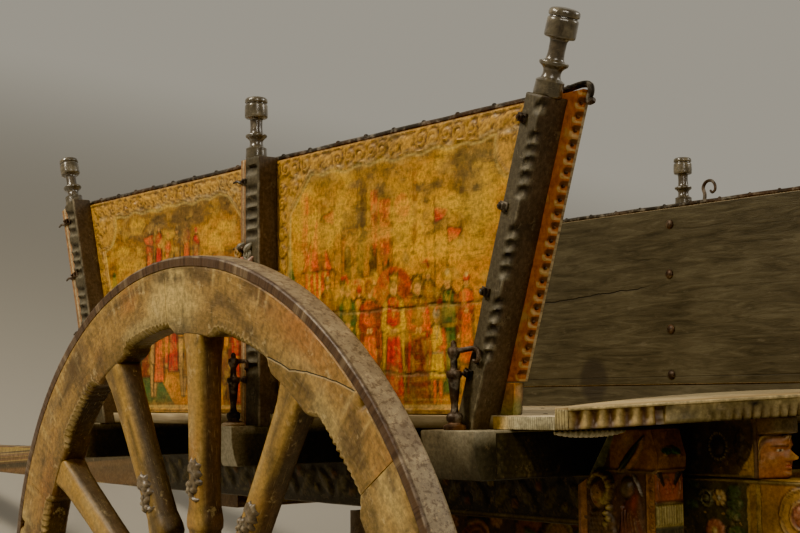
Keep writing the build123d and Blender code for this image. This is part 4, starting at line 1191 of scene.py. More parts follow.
for side, s in (("left", 1), ("right", -1)):
    rings, lv = [], ((0.5562, 0.0085), (0.5548, 0.0075), (0.5512, 0.0050), (0.5470, 0.0015), (0.5430, 0.0), (0.5391, 0.0), (0.5381, 0.0))
    for i, (y, deep) in enumerate(lv):
        p = notched(deep)
        if i in (0, len(lv) - 1):
            p = inset(p, 0.0010 if area2(p) > 0 else -0.0010)
        rings.append(np.stack([p[:, 0], np.full(len(p), s * y), p[:, 1]], -1))
    V, F = loft(np.array(rings))
    g = Geo()
    g.add(V, [F[0]], mi=1)
    g.add(V[: len(rings[0])], [np.arange(len(rings[0]))[None]], mi=1)
    g.add(V[-len(rings[0]):], [np.arange(len(rings[0]))[None]], mi=0)
    o = make(f"board_{side}", g, [M_inside, M_edge], replaces=(f"side_panel_{side}",), angle=30)
    bm = bmesh.new()
    bm.from_mesh(o.data)
    bmesh.ops.remove_doubles(bm, verts=bm.verts, dist=1e-6)
    bmesh.ops.recalc_face_normals(bm, faces=bm.faces)
    bm.to_mesh(o.data)
    bm.free()
    # knobs on the end strips and bolt heads through the posts
    g = Geo()
    for end, xb, xt, way in (("rear", -0.555, -0.692, 1), ("front", 0.760, 0.889, -1)):
        for i in range(1, 21):
            t = (i + 0.5) * 0.0195 / 1.053 / 0.397
            z = Z0 + t * 0.397
            if z > Z1 - 0.013:
                continue
            x = xb + (xt - xb) * t + way * 0.0036
            prof = [(-0.0020, 0.0024), (0.0012, 0.0024), (0.0022, 0.0018), (0.0026, 0.0006)]
            g.add(*lathe(prof, (x, s * 0.5496, z), (0, s, 0), 8))
    # the knobs are dark so that they give the notches they sit in painted shade
    make(f"edge_knobs_{side}", g, M_rust)
    g = Geo()
    for x, z in ((0.103, 1.498), (0.108, 1.386), (0.108, 1.262), (0.110, 1.160), (-0.585, 1.500), (-0.560, 1.400), (-0.530, 1.280), (-0.505, 1.175),
                 (0.775, 1.500), (0.748, 1.400), (0.712, 1.280), (0.690, 1.175)):
        prof = [(0.0, 0.0105), (0.0022, 0.0105), (0.0040, 0.0085), (0.0058, 0.0050), (0.0064, 0.0012)]
        j = 0.0015 * vnoise(arr((x, z, s)), 0.01, 3)[0]
        g.add(*lathe(prof, (x + j, s * 0.5381, z + j), (0, -s, 0), 14))
    make(f"bolt_heads_{side}", g, M_rust)


# ================================================================== posts
M_finial = painted("finial_paint", 0.40, (0.045, 0.034, 0.024), 0.50, (0.34, 0.29, 0.19), 0.35, 0.35, (6, 6, 30), (0.12, 0.32), 0.4, dist=0.0010, spec=0.8,
                   coat=0.8)
POSTS = (
    ("rear", -0.4803, -0.6333, -0.033, 0.001, 0.050, 0.0, -0.016, 1.0),
    ("middle", 0.100, 0.100, -0.045, 0.021, 0.040, 0.006, -0.007, 0.92),
    ("front", 0.676, 0.820, -0.041, 0.025, 0.040, -0.001, -0.008, 0.91),
)
GOUGES = {
    "rear": (1.510, 1.469, 1.4525, 1.436, 1.4165, 1.397, 1.343, 1.325, 1.307, 1.289, 1.245, 1.229, 1.209, 1.192, 1.174),
    "middle": (1.518, 1.483, 1.461, 1.4415, 1.423, 1.4027, 1.322, 1.303, 1.284, 1.265, 1.246, 1.227, 1.208, 1.189, 1.170),
    "front": (1.512, 1.493, 1.474, 1.440, 1.421, 1.402, 1.383, 1.345, 1.326, 1.307, 1.288, 1.250, 1.231, 1.212, 1.193, 1.174),
}
FINIAL = (
    (0, 20), (3, 20.6), (17, 20.2), (20, 20.5), (22, 18), (24, 14.5), (28, 13), (32, 12.5), (36, 13.2), (39, 15.5), (42, 19.5), (45, 21),
    (47, 20.2), (48, 15.5), (50, 13.2), (54, 12.3), (62, 11.8), (74, 12), (77, 12.6), (78.5, 14), (79.5, 19.5), (81, 21.5), (83, 22.1),
    (94, 22.4), (104, 22.2), (106.2, 21.4), (107.2, 19.8), (108.6, 19.6), (110, 21.6), (113, 22.0), (117, 21.3), (119.5, 18.5), (121, 13),
    (122, 5),
)


def scoop(z, centres, half=0.0088):
    """How deep a thumb gouge is at height z (0 to 1) and where in the gouge, 0 top to 1 bottom."""
    z = np.asarray(z, float)
    d, ph = np.zeros_like(z), np.zeros_like(z) - 1
    for c in centres:
        f = (c + half - z) / (2 * half)
        ok = (f > 0) & (f < 1)
        g = np.clip(f / 0.20, 0, 1) ** 0.7 * np.sqrt(np.clip(1 - np.clip((f - 0.20) / 0.80, 0, 1) ** 2, 0, 1))
        d = np.where(ok, np.maximum(d, g), d)
        ph = np.where(ok, f, ph)
    return d, ph


def post_frame(xb, xt, deep, s):
    lean = (xt - xb) / 0.445
    n = math.hypot(1, lean)
    return lean, n, arr((1, 0, -lean))[0] / n, arr((lean, 0, 1))[0] / n, arr((xb - lean * 0.020, s * (0.556 + deep / 2), 1.070))[0]


def post(label, side, s, xb, xt, fore, aft, deep, head, at, kf):
    lean, n, u, w, O = post_frame(xb, xt, deep, s)
    L = (0.465 + head) * n
    e = 0.0016
    P, face = [], []
    for a in np.arange(aft - e, fore + e - 1e-6, -0.0022):
        P.append((a, deep)), face.append(0)
    P.append((fore + 0.0005, deep - 0.0005)), face.append(0)
    for d in (e, 0.0035, 0.0055, 0.0075, 0.0100, 0.0130, 0.0180, 0.0250, deep - 0.010, deep - e):
        P.append((fore, deep - d)), face.append(1)
    P.append((fore + 0.0005, 0.0005)), face.append(2)
    for a in np.linspace(fore + e, aft - e, 5):
        P.append((a, 0)), face.append(2)
    P.append((aft - 0.0005, 0.0005)), face.append(3)
    for b in np.linspace(e, deep - e, 6):
        P.append((aft, b)), face.append(3)
    P.append((aft - 0.0005, deep - 0.0005)), face.append(3)
    S, face = np.array(P), np.array(face)
    ts = [0.0004, 0.015, 0.030, 0.0438] + list(np.arange(0.0442, 0.9975, 0.0042 / L)) + [1 - 0.0015 / L, 1.0]
    rings, cols = [], []
    seed = {"rear": 3, "middle": 5, "front": 8}[label] + (s > 0)
    C = {0: (0.088, 0.070, 0.040), 1: (0.092, 0.064, 0.039), 2: (0.09, 0.065, 0.04), 3: (0.12, 0.09, 0.054)}
    base = np.array([C[f] for f in face])
    for i, t in enumerate(ts):
        a, b = S[:, 0].copy(), S[:, 1].copy()
        if t < 0.044:
            b = np.maximum(b, 0.0177)
        if i == len(ts) - 1:
            ca, cb = (fore + aft) / 2, deep / 2
            a, b = a + np.clip(ca - a, -0.0014, 0.0014), b + np.clip(cb - b, -0.0014, 0.0014)
        h = lean * a * (1 - t) + t * L
        z = 1.070 - lean * a / n + h / n
        d, ph = scoop(z, GOUGES[label])
        col = base.copy()
        lip, recess_shadow = np.zeros(len(a)), np.zeros(len(a))
        if label == "rear":
            q = (a - fore) + (deep - b)
            c = 0.0125 * d
            push = np.clip(c - q, 0, 1) * 0.5
            a, b = a + push * 0.75, b - push * 1.1
            near = smooth(0.017, 0.006, q)
            lip, recess_shadow = near * smooth(0.55, 0.85, ph) * (ph > 0), near * smooth(0.55, 0.22, ph) * (ph > 0)
        else:
            c0 = fore + 0.0235
            k = np.clip(1 - np.abs((a - c0) / 0.0185) ** 2.6, 0, 1) ** 0.5
            b = np.where(face == 0, b - 0.0062 * d * k, b)
            near = k * (face == 0)
            lip, recess_shadow = near * smooth(0.55, 0.85, ph) * (ph > 0), near * smooth(0.58, 0.25, ph) * (ph > 0)
            strip = (a > -0.0005) & ((face == 0) | (face == 3))
            b = np.where((face == 0) & (a > -0.0005), b - 0.0045 - 0.0022 * (np.abs(a - 0.0105) < 0.0015), b)
            b = np.where((face == 3) & (b > deep - 0.006), b - 0.0045, b)
            orange = np.array((0.40, 0.205, 0.075)) * (1 + 0.25 * vnoise(np.stack([a * 30, b, z * 4], -1), 0.02, seed)[:, None])
            col = np.where(strip[:, None], orange, col)
            pale = strip & ((np.abs(a - 0.0015) < 0.0016) | (np.abs(a - 0.0135) < 0.0014))
            col = np.where(pale[:, None], np.array((0.55, 0.42, 0.22)), col)
        X = O + a[:, None] * u + h[:, None] * w
        X[:, 1] += s * (b - deep / 2)
        X += (fnoise(X, 0.05, seed, 3)[:, None] * 0.0006) * arr((1, 0.6, 0))
        # each gouge gets a painted highlight on its lower lip and a painted shadow in its upper recess
        col = col + (np.array((0.27, 0.235, 0.150)) - col) * (lip * 0.66)[:, None]
        col = col + (np.array((0.030, 0.024, 0.016)) - col) * (recess_shadow * 0.90)[:, None]
        edge = ((np.abs(S[:, 0] - fore) < 0.003) & (np.abs(S[:, 1] - deep) < 0.003)) * smooth(-0.3, 0.4, vnoise(X, 0.012, seed)) * (1 - recess_shadow)
        col = col + (np.array((0.32, 0.26, 0.16)) - col) * (edge * 0.6)[:, None]
        mottle = fnoise(X * arr((1, 1, 0.35)), 0.018, seed + 4, 3)[:, None]
        col = col * (1 + 0.30 * mottle)
        rings.append(X), cols.append(col)
    V, F = fan_caps(np.array(rings))
    cc = np.concatenate([np.concatenate(cols), arr((0.1, 0.08, 0.05), (0.12, 0.1, 0.06))])
    g = Geo()
    g.add(V, F, col=np.clip(cc, 0, 1))
    # turned finial, a little out of round, with a drying crack
    prof = finer([(h * 0.001 * kf, r * 0.001 * kf) for h, r in FINIAL], 0.0028)
    prof = np.concatenate([[(-0.0045, 0.013)], prof])
    a0 = 2.4 if label == "rear" else 4.4

    def shape(h, a):
        crack = np.exp(-(((a - a0 - 0.05 * np.sin(h * 90)) / 0.05) ** 2)) * smooth(0.078 * kf, 0.084 * kf, h)
        return 1 - 0.10 * crack + 0.012 * np.sin(a * 3 + seed) + 0.01 * np.sin(h * 160 + a * 2)
    V, F = lathe(prof, O + u * at + w * L, w, 44, (0, 1, 0), shape)
    hh = (V - (O + u * at + w * L)) @ w
    rr = np.linalg.norm(V - (O + u * at + w * L) - hh[:, None] * w, axis=1) / kf
    c = np.tile(arr((0.115, 0.092, 0.056)), (len(V), 1))
    c = c + (np.array((0.30, 0.245, 0.15)) - c) * (smooth(0.0195, 0.0222, rr) * smooth(-0.2, 0.5, fnoise(V, 0.012, seed, 3)) * 0.7)[:, None]
    # painted shade in the narrow necks between the rings
    c = c + (np.array((0.10, 0.075, 0.048)) - c) * (smooth(0.0165, 0.0118, rr) * 0.8)[:, None]
    c = c + (np.array((0.05, 0.04, 0.028)) - c) * (np.exp(-((hh / kf - 0.1079) / 0.0012) ** 2) * 0.9)[:, None]
    c = c * (1 + 0.35 * fnoise(V * arr((1, 1, 0.4)), 0.010, seed + 2, 3)[:, None])
    g.add(V, F, mi=1, col=np.clip(c, 0, 1))
    make(f"post_{label}_{side}", g, [M_post, M_finial], replaces=(f"{label}_post_{side}",), col=True, angle=50)


def on_post(row, s, z, a, b):
    """Point on a post: height z, x' = a, b out from its inner face."""
    label, xb, xt, fore, aft, deep, head, at, kf = row
    lean, n, u, w, O = post_frame(xb, xt, deep, s)
    h = (z - 1.070 + lean * a / n) * n
    p = O + a * u + h * w
    p[1] += s * (b - deep / 2)
    return p, u, w


for row in POSTS:
    for side, s in (("left", 1), ("right", -1)):
        post(row[0], side, s, *row[1:])

# square nuts on clamp plates, and the pins and hooks on the posts
for side, s in (("left", 1), ("right", -1)):
    g = Geo()
    for row in POSTS:
        label, deep = row[0], row[5]
        for i, z in enumerate((1.500, 1.381, 1.264, 1.150)):
            a = -0.004 if label == "rear" else 0.0
            p, u, w = on_post(row, s, z, a, deep + (0.0002 if label == "rear" else -0.0042))
            y = arr((0, s, 0))[0]
            uu, ww = (u, w) if s < 0 else (-u, w)
            tw = 0.12 * ((i * 37) % 5 - 2)
            g.add(*prism(rect(0.016, 0.013), p, uu, ww, 0.0030, 0.0006, 0.006))
            u2, w2 = cos(tw) * uu + sin(tw) * ww, -sin(tw) * uu + cos(tw) * ww
            g.add(*prism(rect(0.0098, 0.0098), p + y * 0.003, u2, w2, 0.0055, 0.0010, 0.005))
            g.add(*lathe([(0, 0.0032), (0.003, 0.0030), (0.0042, 0.0016)], p + y * 0.0084, y, 10))
            if label != "rear":
                # the plate's end is bent round the batten and drawn out to a point
                q = p + u * 0.008
                path = curve([q, q + u * 0.010 + y * 0.001, q + u * 0.018 + y * 0.004 + w * 0.003, q + u * 0.027 + y * 0.006 + w * 0.001], 6)
                g.add(*tube(path, np.linspace(0.0042, 0.0016, len(path)), 8))
    make(f"post_nuts_{side}", g, M_iron)

# carved volutes on the middle posts' sides, gilt and painted
for side, s in (("left", 1), ("right", -1)):
    g = Geo()
    for row, z0 in ((POSTS[1], 1.368),):
        deep = row[5]
        for (a, dz, r, tr, c1) in ((0.020, 0.006, 0.0085, 0.0040, (0.55, 0.30, 0.06)), (0.008, -0.012, 0.0072, 0.0036, (0.48, 0.20, 0.12)),
                                   (-0.010, 0.000, 0.0085, 0.0042, (0.30, 0.27, 0.19)), (-0.016, -0.018, 0.0070, 0.0036, (0.22, 0.19, 0.13))):
            p, u, w = on_post(row, s, z0 + dz, a, deep - 0.001)
            y = arr((0, s, 0))[0]
            t = np.linspace(0, 1, 34)
            an = 0.8 + t * 3.1 * pi
            rr = r * (1.15 - 0.80 * t)
            path = p + y * (0.001 + 0.005 * t)[:, None] + (rr * np.cos(an))[:, None] * u + (rr * np.sin(an))[:, None] * w
            V, F = tube(path, tr * (1.0 - 0.45 * t), 8)
            n_ = fnoise(V, 0.006, 3, 2)[:, None]
            g.add(V, F, col=np.clip(np.array(c1) * (1 + 0.5 * n_), 0, 1))
            V, F = lathe([(-0.002, r * 0.9), (0.002, r * 0.8), (0.0045, r * 0.45), (0.0062, r * 0.1)], p, y, 14)
            g.add(V, F, col=(0.05, 0.035, 0.025))
        for k, (a, dz, a2, dz2) in enumerate(((-0.022, 0.020, -0.006, 0.002), (-0.026, -0.004, -0.010, -0.030), (0.002, 0.022, 0.016, 0.010))):
            p, u, w = on_post(row, s, z0 + dz, a, deep + 0.0005)
            q, _, _ = on_post(row, s, z0 + dz2, a2, deep + 0.0015)
            m_ = (p + q) / 2 + arr((0, s * 0.004, 0))[0]
            path = curve([p, m_, q], 8)
            V, F = tube(path, 0.0048 * np.sin(np.linspace(0.25, pi - 0.2, len(path))) + 0.0010, 8)
            g.add(V, F, col=(0.33, 0.30, 0.21) if k != 1 else (0.45, 0.25, 0.16))
    make(f"post_volutes_{side}", g, M_carve, col=True)


# ================================================================== rods along the panels' tops
for side, s in (("left", 1), ("right", -1)):
    y, z = s * 0.547, 1.535 + 0.0051
    T, Fr = -0.692, 0.889
    rear = [(T - 0.0105, z - 0.0215), (T - 0.0035, z - 0.0225), (T - 0.0035, z - 0.0165), (T - 0.0068, z - 0.0100), (T - 0.0066, z - 0.002), (T - 0.001, z + 0.0022),
            (T + 0.012, z + 0.0036), (T + 0.034, z + 0.0018), (T + 0.060, z + 0.0002)]
    front = [(Fr - 0.060, z + 0.0002), (Fr - 0.034, z + 0.0018), (Fr - 0.012, z + 0.0036), (Fr + 0.001, z + 0.0022), (Fr + 0.0066, z - 0.002), (Fr + 0.0068, z - 0.0100),
             (Fr + 0.0035, z - 0.0165), (Fr + 0.0035, z - 0.0225), (Fr + 0.0105, z - 0.0215)]
    mid = [(x, z + 0.0005 * sin(x * 37)) for x in np.arange(T + 0.12, Fr - 0.1, 0.06)]
    path = curve([(a, y, b) for a, b in rear + mid + front], 5)
    g = Geo()
    g.add(*tube(path, 0.0049, 10, (0, 1, 0)))
    for i, x in enumerate(np.arange(T + 0.035, Fr - 0.02, 0.078)):
        p = (x + 0.004 * sin(i * 5.1), y + s * 0.0005, z + 0.0038)
        g.add(*lathe([(-0.002, 0.0042), (0.0010, 0.0040), (0.0026, 0.0026), (0.0032, 0.0008)], p, (0, 0, 1), 9))
    make(f"rod_{side}", g, M_iron, replaces=(f"top_rod_{side}",))

# the hook that stands on the far rod beside the middle post
g = Geo()
y = -0.5475
path = curve([(0.010, y, 1.5405), (0.008, y, 1.556), (0.012, y, 1.571), (0.004, y, 1.583), (-0.010, y, 1.585), (-0.020, y, 1.576), (-0.021, y, 1.564),
              (-0.013, y, 1.558), (-0.008, y, 1.563)], 7)
g.add(*tube(path, np.linspace(0.0042, 0.0026, len(path)), 10, (0, 1, 0)))
make("rod_hook", g, M_iron)


# ================================================================== turned iron stays on the crossbeam ends
STAY = ((0, .0160), (.0055, .0164), (.0070, .0150), (.0085, .0105), (.0105, .0098), (.0135, .0118), (.0190, .0123), (.0230, .0104), (.0250, .0062),
        (.0300, .0052), (.0370, .0052), (.0400, .0058), (.0600, .0078), (.0725, .0090), (.0745, .0108), (.0790, .0115), (.0830, .0106), (.0845, .0066),
        (.0880, .0053), (.1000, .0052), (.1035, .0074), (.1095, .0096), (.1155, .0086), (.1180, .0046), (.1240, .0042), (.1270, .0016))
g = Geo()
for x0, y0, row in ((-0.4923, 0.623, POSTS[0]), (0.100, 0.620, POSTS[1]), (0.684, 0.620, POSTS[2])):
    for s in (1, -1):
        o = (x0, s * y0, 1.0702)
        g.add(*lathe(finer(STAY[:5], 0.003), o, (0, 0, 1), 24), mi=1)
        g.add(*lathe(finer(STAY[4:], 0.004), o, (0, 0, 1), 24))
        out = 0.556 + row[5]
        if row[0] == "rear":
            pts = [(x0 + 0.006, s * 0.6235, 1.1812), (x0 - 0.004, s * 0.6225, 1.1815), (-0.508, s * 0.6165, 1.1835), (-0.524, s * 0.6120, 1.1850), (-0.5315, s * 0.6112, 1.1800),
                   (-0.5325, s * 0.6114, 1.1715), (-0.5275, s * 0.6116, 1.1660), (-0.5215, s * 0.6114, 1.1680)]
        else:
            pts = [(x0 + 0.005, s * 0.621, 1.181), (x0 + 0.002, s * 0.612, 1.1815), (x0 - 0.002, s * (out + 0.0045), 1.1820), (x0 - 0.012, s * (out + 0.0042), 1.1800),
                   (x0 - 0.014, s * (out + 0.0042), 1.1720), (x0 - 0.008, s * (out + 0.0042), 1.1685)]
        path = curve(pts, 7)
        g.add(*tube(path, np.linspace(0.0044, 0.0030, len(path)), 9))
make("stays", g, [M_iron, M_rust], replaces=("post_stays",))


# ================================================================== wheels
CAMB = rad(2.35)
TURN = -4.5                                              # first spoke from straight up, degrees
JOINT = -56.8                                            # a felloe joint, degrees


def felloe_cracks(k, c, h):
    """Drying cracks that run slantwise from the inner edge out to the tyre, and fine grain checks."""
    x, r, o = k.sep(k.p)
    a = k.math("MULTIPLY", x, 180 / pi / 0.6)
    rel = k.math("MODULO", k.math("SUBTRACT", a, JOINT), 120.0)          # from the joint, degrees
    b = k.math("SUBTRACT", 29.8, rel)
    rc = k.math("ADD", 0.568, k.math("ADD", k.math("MULTIPLY", b, 0.0020), k.math("MULTIPLY", k.math("MAXIMUM", k.math("SUBTRACT", b, 6.4), 0.0), 0.0038)))
    wob = k.math("MULTIPLY", k.math("SUBTRACT", k.noise(45, (1, 0, 0), 4, 0.6), 0.5), 0.006)
    d = k.math("ABSOLUTE", k.math("SUBTRACT", r, k.math("ADD", rc, wob)))
    lim = k.math("MULTIPLY", k.step(b, -0.5, 0.8), k.step(b, 19.6, 19.0))
    front = k.step(o, 0.018, 0.022)
    m = k.math("MULTIPLY", k.math("MULTIPLY", k.step(d, 0.00125, 0.0006), lim), front)
    # a pale line beside each crack is a painted highlight on its lip
    lip = k.math("MULTIPLY", k.math("MULTIPLY", k.step(k.math("ABSOLUTE", k.math("SUBTRACT", k.math("SUBTRACT", r, k.math("ADD", rc, wob)), -0.0022)), 0.0016, 0.0004), lim), front)
    c = k.mix(k.math("MULTIPLY", lip, 0.45), c, (0.70, 0.56, 0.30))
    c = k.mix(m, c, (0.012, 0.008, 0.006))
    # fine grain checks
    g = k.noise(60, (1, 16, 6), 3, 0.6, 0.0, (5, 5, 5))
    c = k.mix(k.math("MULTIPLY", k.step(g, 0.62, 0.70), 0.5), c, (0.14, 0.08, 0.04))
    return c, k.math("ADD", h, k.math("MULTIPLY", m, -3.0))


M_felloe = painted("felloe_paint", 0.46, (0.10, 0.055, 0.024), 0.60, (0.62, 0.47, 0.20), 0.50, 0.62, (1.5, 26, 26), (0.36, 0.60), 0.55,
                   dist=0.0015, size=1.2, spec=0.45, extra=felloe_cracks)
M_spoke = painted("spoke_paint", 0.36, (0.10, 0.055, 0.028), 0.50, (0.62, 0.46, 0.20), 0.40, 0.55, (1.2, 30, 30), (0.34, 0.58), 0.55, dist=0.0015, size=1.2)
M_flower = painted("flower_paint", 0.40, (0.035, 0.024, 0.016), 0.50, (0.50, 0.42, 0.28), 0.45, 0.30, (10, 10, 10), (0.28, 0.5), 0.5, spec=0.55, coat=0.2)

k = Mat("tyre_iron")
c_ = k.attr("paint")
n1, n2, n3 = k.noise(115, (1, 1, 1), 6, 0.76), k.noise(230, (1, 1, 1), 5, 0.7, 0, (3, 1, 2)), k.noise(9, (1, 1, 1), 4, 0.6, 0, (8, 1, 2))
c_ = k.mix(k.math("MULTIPLY", k.step(n1, 0.47, 0.60), 0.75), c_, k.mix(1.0, c_, (0.30, 0.20, 0.155), "MULTIPLY"))
c_ = k.mix(k.math("MULTIPLY", k.step(n2, 0.42, 0.34), 0.60), c_, k.mix(1.0, c_, (2.2, 2.1, 1.8), "MULTIPLY"))
c_ = k.mix(k.math("MULTIPLY", k.step(n3, 0.54, 0.68), 0.40), c_, (0.115, 0.068, 0.046))
M_tyre = k.done(c_, k.lerp(n1, 0.24, 0.58), k.math("ADD", n1, k.math("MULTIPLY", n2, 0.6)), 0.7, 0.0016, metal=0.0, spec=0.45, coat=0.12)


def wheel_axes(s):
    O = np.array((0, s * 0.742, 0.675))
    X = np.array((1.0, 0, 0))
    UP = np.array((0, s * sin(CAMB), cos(CAMB)))
    OUT = np.array((0, s * cos(CAMB), -sin(CAMB)))
    return O, X, UP, OUT


def wpt(s, r, a, o):
    """Point on a wheel: radius, angle from straight up towards +X (radians), distance outwards."""
    O, X, UP, OUT = wheel_axes(s)
    r, a, o = np.broadcast_arrays(np.asarray(r, float), np.asarray(a, float), np.asarray(o, float))
    return O + (r * np.sin(a))[..., None] * X + (r * np.cos(a))[..., None] * UP + o[..., None] * OUT


def tooth(a_deg, turn):
    """Thumb-gouge teeth on the felloes' inner edge, fading out beside each spoke."""
    rel = (a_deg - turn + 15) % 30 - 15
    ph = (a_deg / 1.22) % 1.0
    t = np.sqrt(np.clip(1 - ((ph - 0.5) / 0.47) ** 2, 0, 1))
    return t * smooth(5.2, 6.6, np.abs(rel)), rel


for side, s in (("left", 1), ("right", -1)):
    turn, joint = s * TURN, (JOINT if s > 0 else -JOINT - 60)
    seed = 21 + s
    # ---- felloes
    g = Geo()
    for m in range(6):
        a0 = joint + 60 * m
        A = np.linspace(a0 + 0.055, a0 + 60 - 0.055, 152)
        rings, cols, lps = [], [], []
        tt, rel = tooth(A, turn)
        ri = 0.5478 + 0.0130 * smooth(4.9, 7.6, np.abs(rel)) - 0.0012 * tt
        ch = 0.0035 + 0.0085 * tt
        # the shoulders beside each spoke end in a round lobe
        lobe = np.exp(-((np.abs(rel) - 6.6) / 0.9) ** 2)
        ri = ri - 0.0045 * lobe
        rows = []
        rows += [(np.full_like(A, 0.6568), np.full_like(A, 0.0238)), (np.full_like(A, 0.6568), np.full_like(A, -0.0238)), (np.full_like(A, 0.6555), np.full_like(A, -0.0250))]
        rows += [(ri + 0.005 + (0.6555 - ri - 0.005) * f, np.full_like(A, -0.0250)) for f in (0.66, 0.33, 0.0)]
        rows += [(ri, np.full_like(A, -0.0200)), (ri, np.full_like(A, -0.006)), (ri, 0.0215 - 0.0085 * tt - 0.006), (ri + 0.0003, 0.0215 - 0.0085 * tt)]
        rows += [(ri + ch * 0.55, 0.0235 - 0.0040 * tt)]
        rows += [(ri + ch, np.full_like(A, 0.0248))]
        rows += [(ri + ch + (0.6552 - ri - ch) * f, np.full_like(A, 0.0250)) for f in (0.05, 0.15, 0.28, 0.42, 0.56, 0.70, 0.84, 0.94, 1.0)]
        r = np.stack([q[0] for q in rows], 1)
        o = np.stack([q[1] for q in rows], 1)
        ar = np.radians(A)[:, None] + 0 * r
        LP = np.stack([np.radians(A)[:, None] * 0.6 + 0 * r, r, o], -1)
        nz = fnoise(LP * arr((0.35, 1, 1)), 0.03, seed, 3)
        face = (o > 0.0245)
        o2 = o + np.where(face, 0.0009 * nz, 0)
        # dished wear along the rim and a knocked-out corner beside the tyre
        knock = np.exp(-(((A[:, None] - joint) % 120 - 8.45) / 0.62) ** 2) * smooth(0.644, 0.654, r)
        o2 = np.where(o > 0, o2 - 0.012 * knock, o2)
        P = wpt(s, r + 0.0006 * nz * (r < 0.60), ar, o2)
        big = fnoise(LP * arr((0.5, 1.3, 1)), 0.075, seed + 3, 4)
        mid = fnoise(LP * arr((0.4, 1.6, 1)), 0.030, seed + 7, 3)
        ochre, pale, orange, brown = arr((0.43, 0.250, 0.056)), arr((0.74, 0.54, 0.185)), arr((0.44, 0.155, 0.024)), arr((0.095, 0.054, 0.024))
        c = np.broadcast_to(ochre, LP.shape).copy()
        c = c + (pale - c) * (smooth(0.05, 0.55, big) * 0.8)[..., None]
        c = c + (orange - c) * (smooth(-0.12, -0.50, big) * 0.55)[..., None]
        c = c + (brown - c) * (smooth(0.05, 0.50, mid) * 0.75)[..., None]
        cross = fnoise(LP * arr((2.2, 0.30, 1)), 0.016, seed + 15, 3)
        c = c + (pale - c) * (smooth(0.15, 0.55, cross) * 0.55 * smooth(0.59, 0.62, r))[..., None]
        c = c * (1 - 0.45 * smooth(0.15, 0.60, -cross))[..., None]
        greyed = smooth(0.25, 0.6, fnoise(LP * arr((0.3, 2, 1)), 0.05, seed + 11, 3))
        c = c + (arr((0.19, 0.155, 0.088)) - c) * (greyed * 0.5)[..., None]
        c = c * (1 - 0.40 * smooth(0.600, 0.566, r))[..., None]
        spot = np.exp(-((((A[:, None] - joint) - 23.8 + 180) % 360 - 180) / 9.0) ** 2) * smooth(0.585, 0.64, r)
        c = c + (orange - c) * (spot * 0.7)[..., None]
        # the felloes' inner faces are darkened, painted shade
        inner = (o < 0.0205) & (r < ri[:, None] + 0.004)
        c = np.where(inner[..., None], c * 0.42, c)
        back = o < -0.024
        c = np.where(back[..., None], c * 0.75, c)
        hi = ((tt > 0.25)[:, None] & (o > 0.012) & (r < ri[:, None] + ch[:, None] + 0.001) & ~inner)
        c = np.where(hi[..., None], c + (arr((0.66, 0.47, 0.17)) - c) * 0.6, c)
        # the knocked-out notch is darkened almost to black, painted shade in its hollow
        notch_shade = knock * (o > 0)
        c = c * (1 - 0.9 * notch_shade[..., None])
        V, F = fan_caps(P)
        g.add(V, F, lp=np.concatenate([LP.reshape(-1, 3), LP[0].mean(0)[None], LP[-1].mean(0)[None]]),
              col=np.clip(np.concatenate([c.reshape(-1, 3), arr((0.1, 0.06, 0.03), (0.1, 0.06, 0.03))]), 0, 1))
    make(f"wheel_felloes_{side}", g, M_felloe, body=f"wheel_{side}", replaces=(f"felloes_{side}",), col=True, angle=38)
    # ---- tyre, hammered and worn
    A = np.linspace(-180, 180, 432, endpoint=False)
    sec = [(0.6574, 0.0235), (0.6582, 0.0247), (0.6620, 0.0250), (0.6700, 0.0249), (0.6722, 0.0243), (0.6737, 0.0228), (0.6744, 0.0205), (0.6742, 0.0178), (0.6746, 0.0145),
           (0.6747, 0.0060), (0.6747, -0.0060), (0.6746, -0.0180), (0.6737, -0.0228), (0.6720, -0.0244), (0.6600, -0.0250), (0.6576, -0.0238), (0.6572, 0.0)]
    r0, o0 = np.array([q[0] for q in sec])[None], np.array([q[1] for q in sec])[None]
    ar = np.radians(A)[:, None]
    C3 = np.stack([0.67 * np.sin(ar) + 0 * r0, 0.67 * np.cos(ar) + 0 * r0, o0 + 0 * ar], -1)
    nz, nf = fnoise(C3, 0.05, seed, 3), fnoise(C3, 0.012, seed + 2, 3)
    r = r0 + np.where(r0 > 0.671, -0.0006 * np.abs(nz) - 0.0005 * np.abs(nf), 0)
    P = wpt(s, r, ar + 0 * r, o0 + np.where(np.abs(o0) > 0.0245, -0.0003 * np.abs(nf), 0) + 0 * ar)
    tread = smooth(0.0215, 0.0180, o0 + 0 * ar) * smooth(0.6730, 0.6738, r0 + 0 * ar)
    lightc, darkc = arr((0.60, 0.47, 0.27)), arr((0.100, 0.052, 0.026))
    dust = np.clip(0.62 + 0.6 * fnoise(C3, 0.16, seed + 9, 3) + 0.55 * nf, 0, 1)
    c = darkc + (lightc - darkc) * (tread * dust)[..., None]
    worn = smooth(0.2, 0.55, nf) * (1 - tread)
    c = c + (arr((0.36, 0.25, 0.13)) - c) * (worn * 0.7)[..., None]
    # a pale line along the worn outer edge of the tyre's face: rubbed iron, and partly a painted highlight
    rub = np.exp(-((r0 - 0.6726) / 0.0011) ** 2) * (o0 > 0) * smooth(-0.3, 0.3, nf)
    c = c + (arr((0.50, 0.40, 0.27)) - c) * (rub * 0.75)[..., None]
    V, F = loft(P, caps=False, loop=True)
    g = Geo()
    g.add(V, F, lp=C3, col=np.clip(c.reshape(-1, 3), 0, 1))
    make(f"wheel_tyre_{side}", g, M_tyre, body=f"wheel_{side}", replaces=(f"tyre_{side}",), col=True, angle=40)
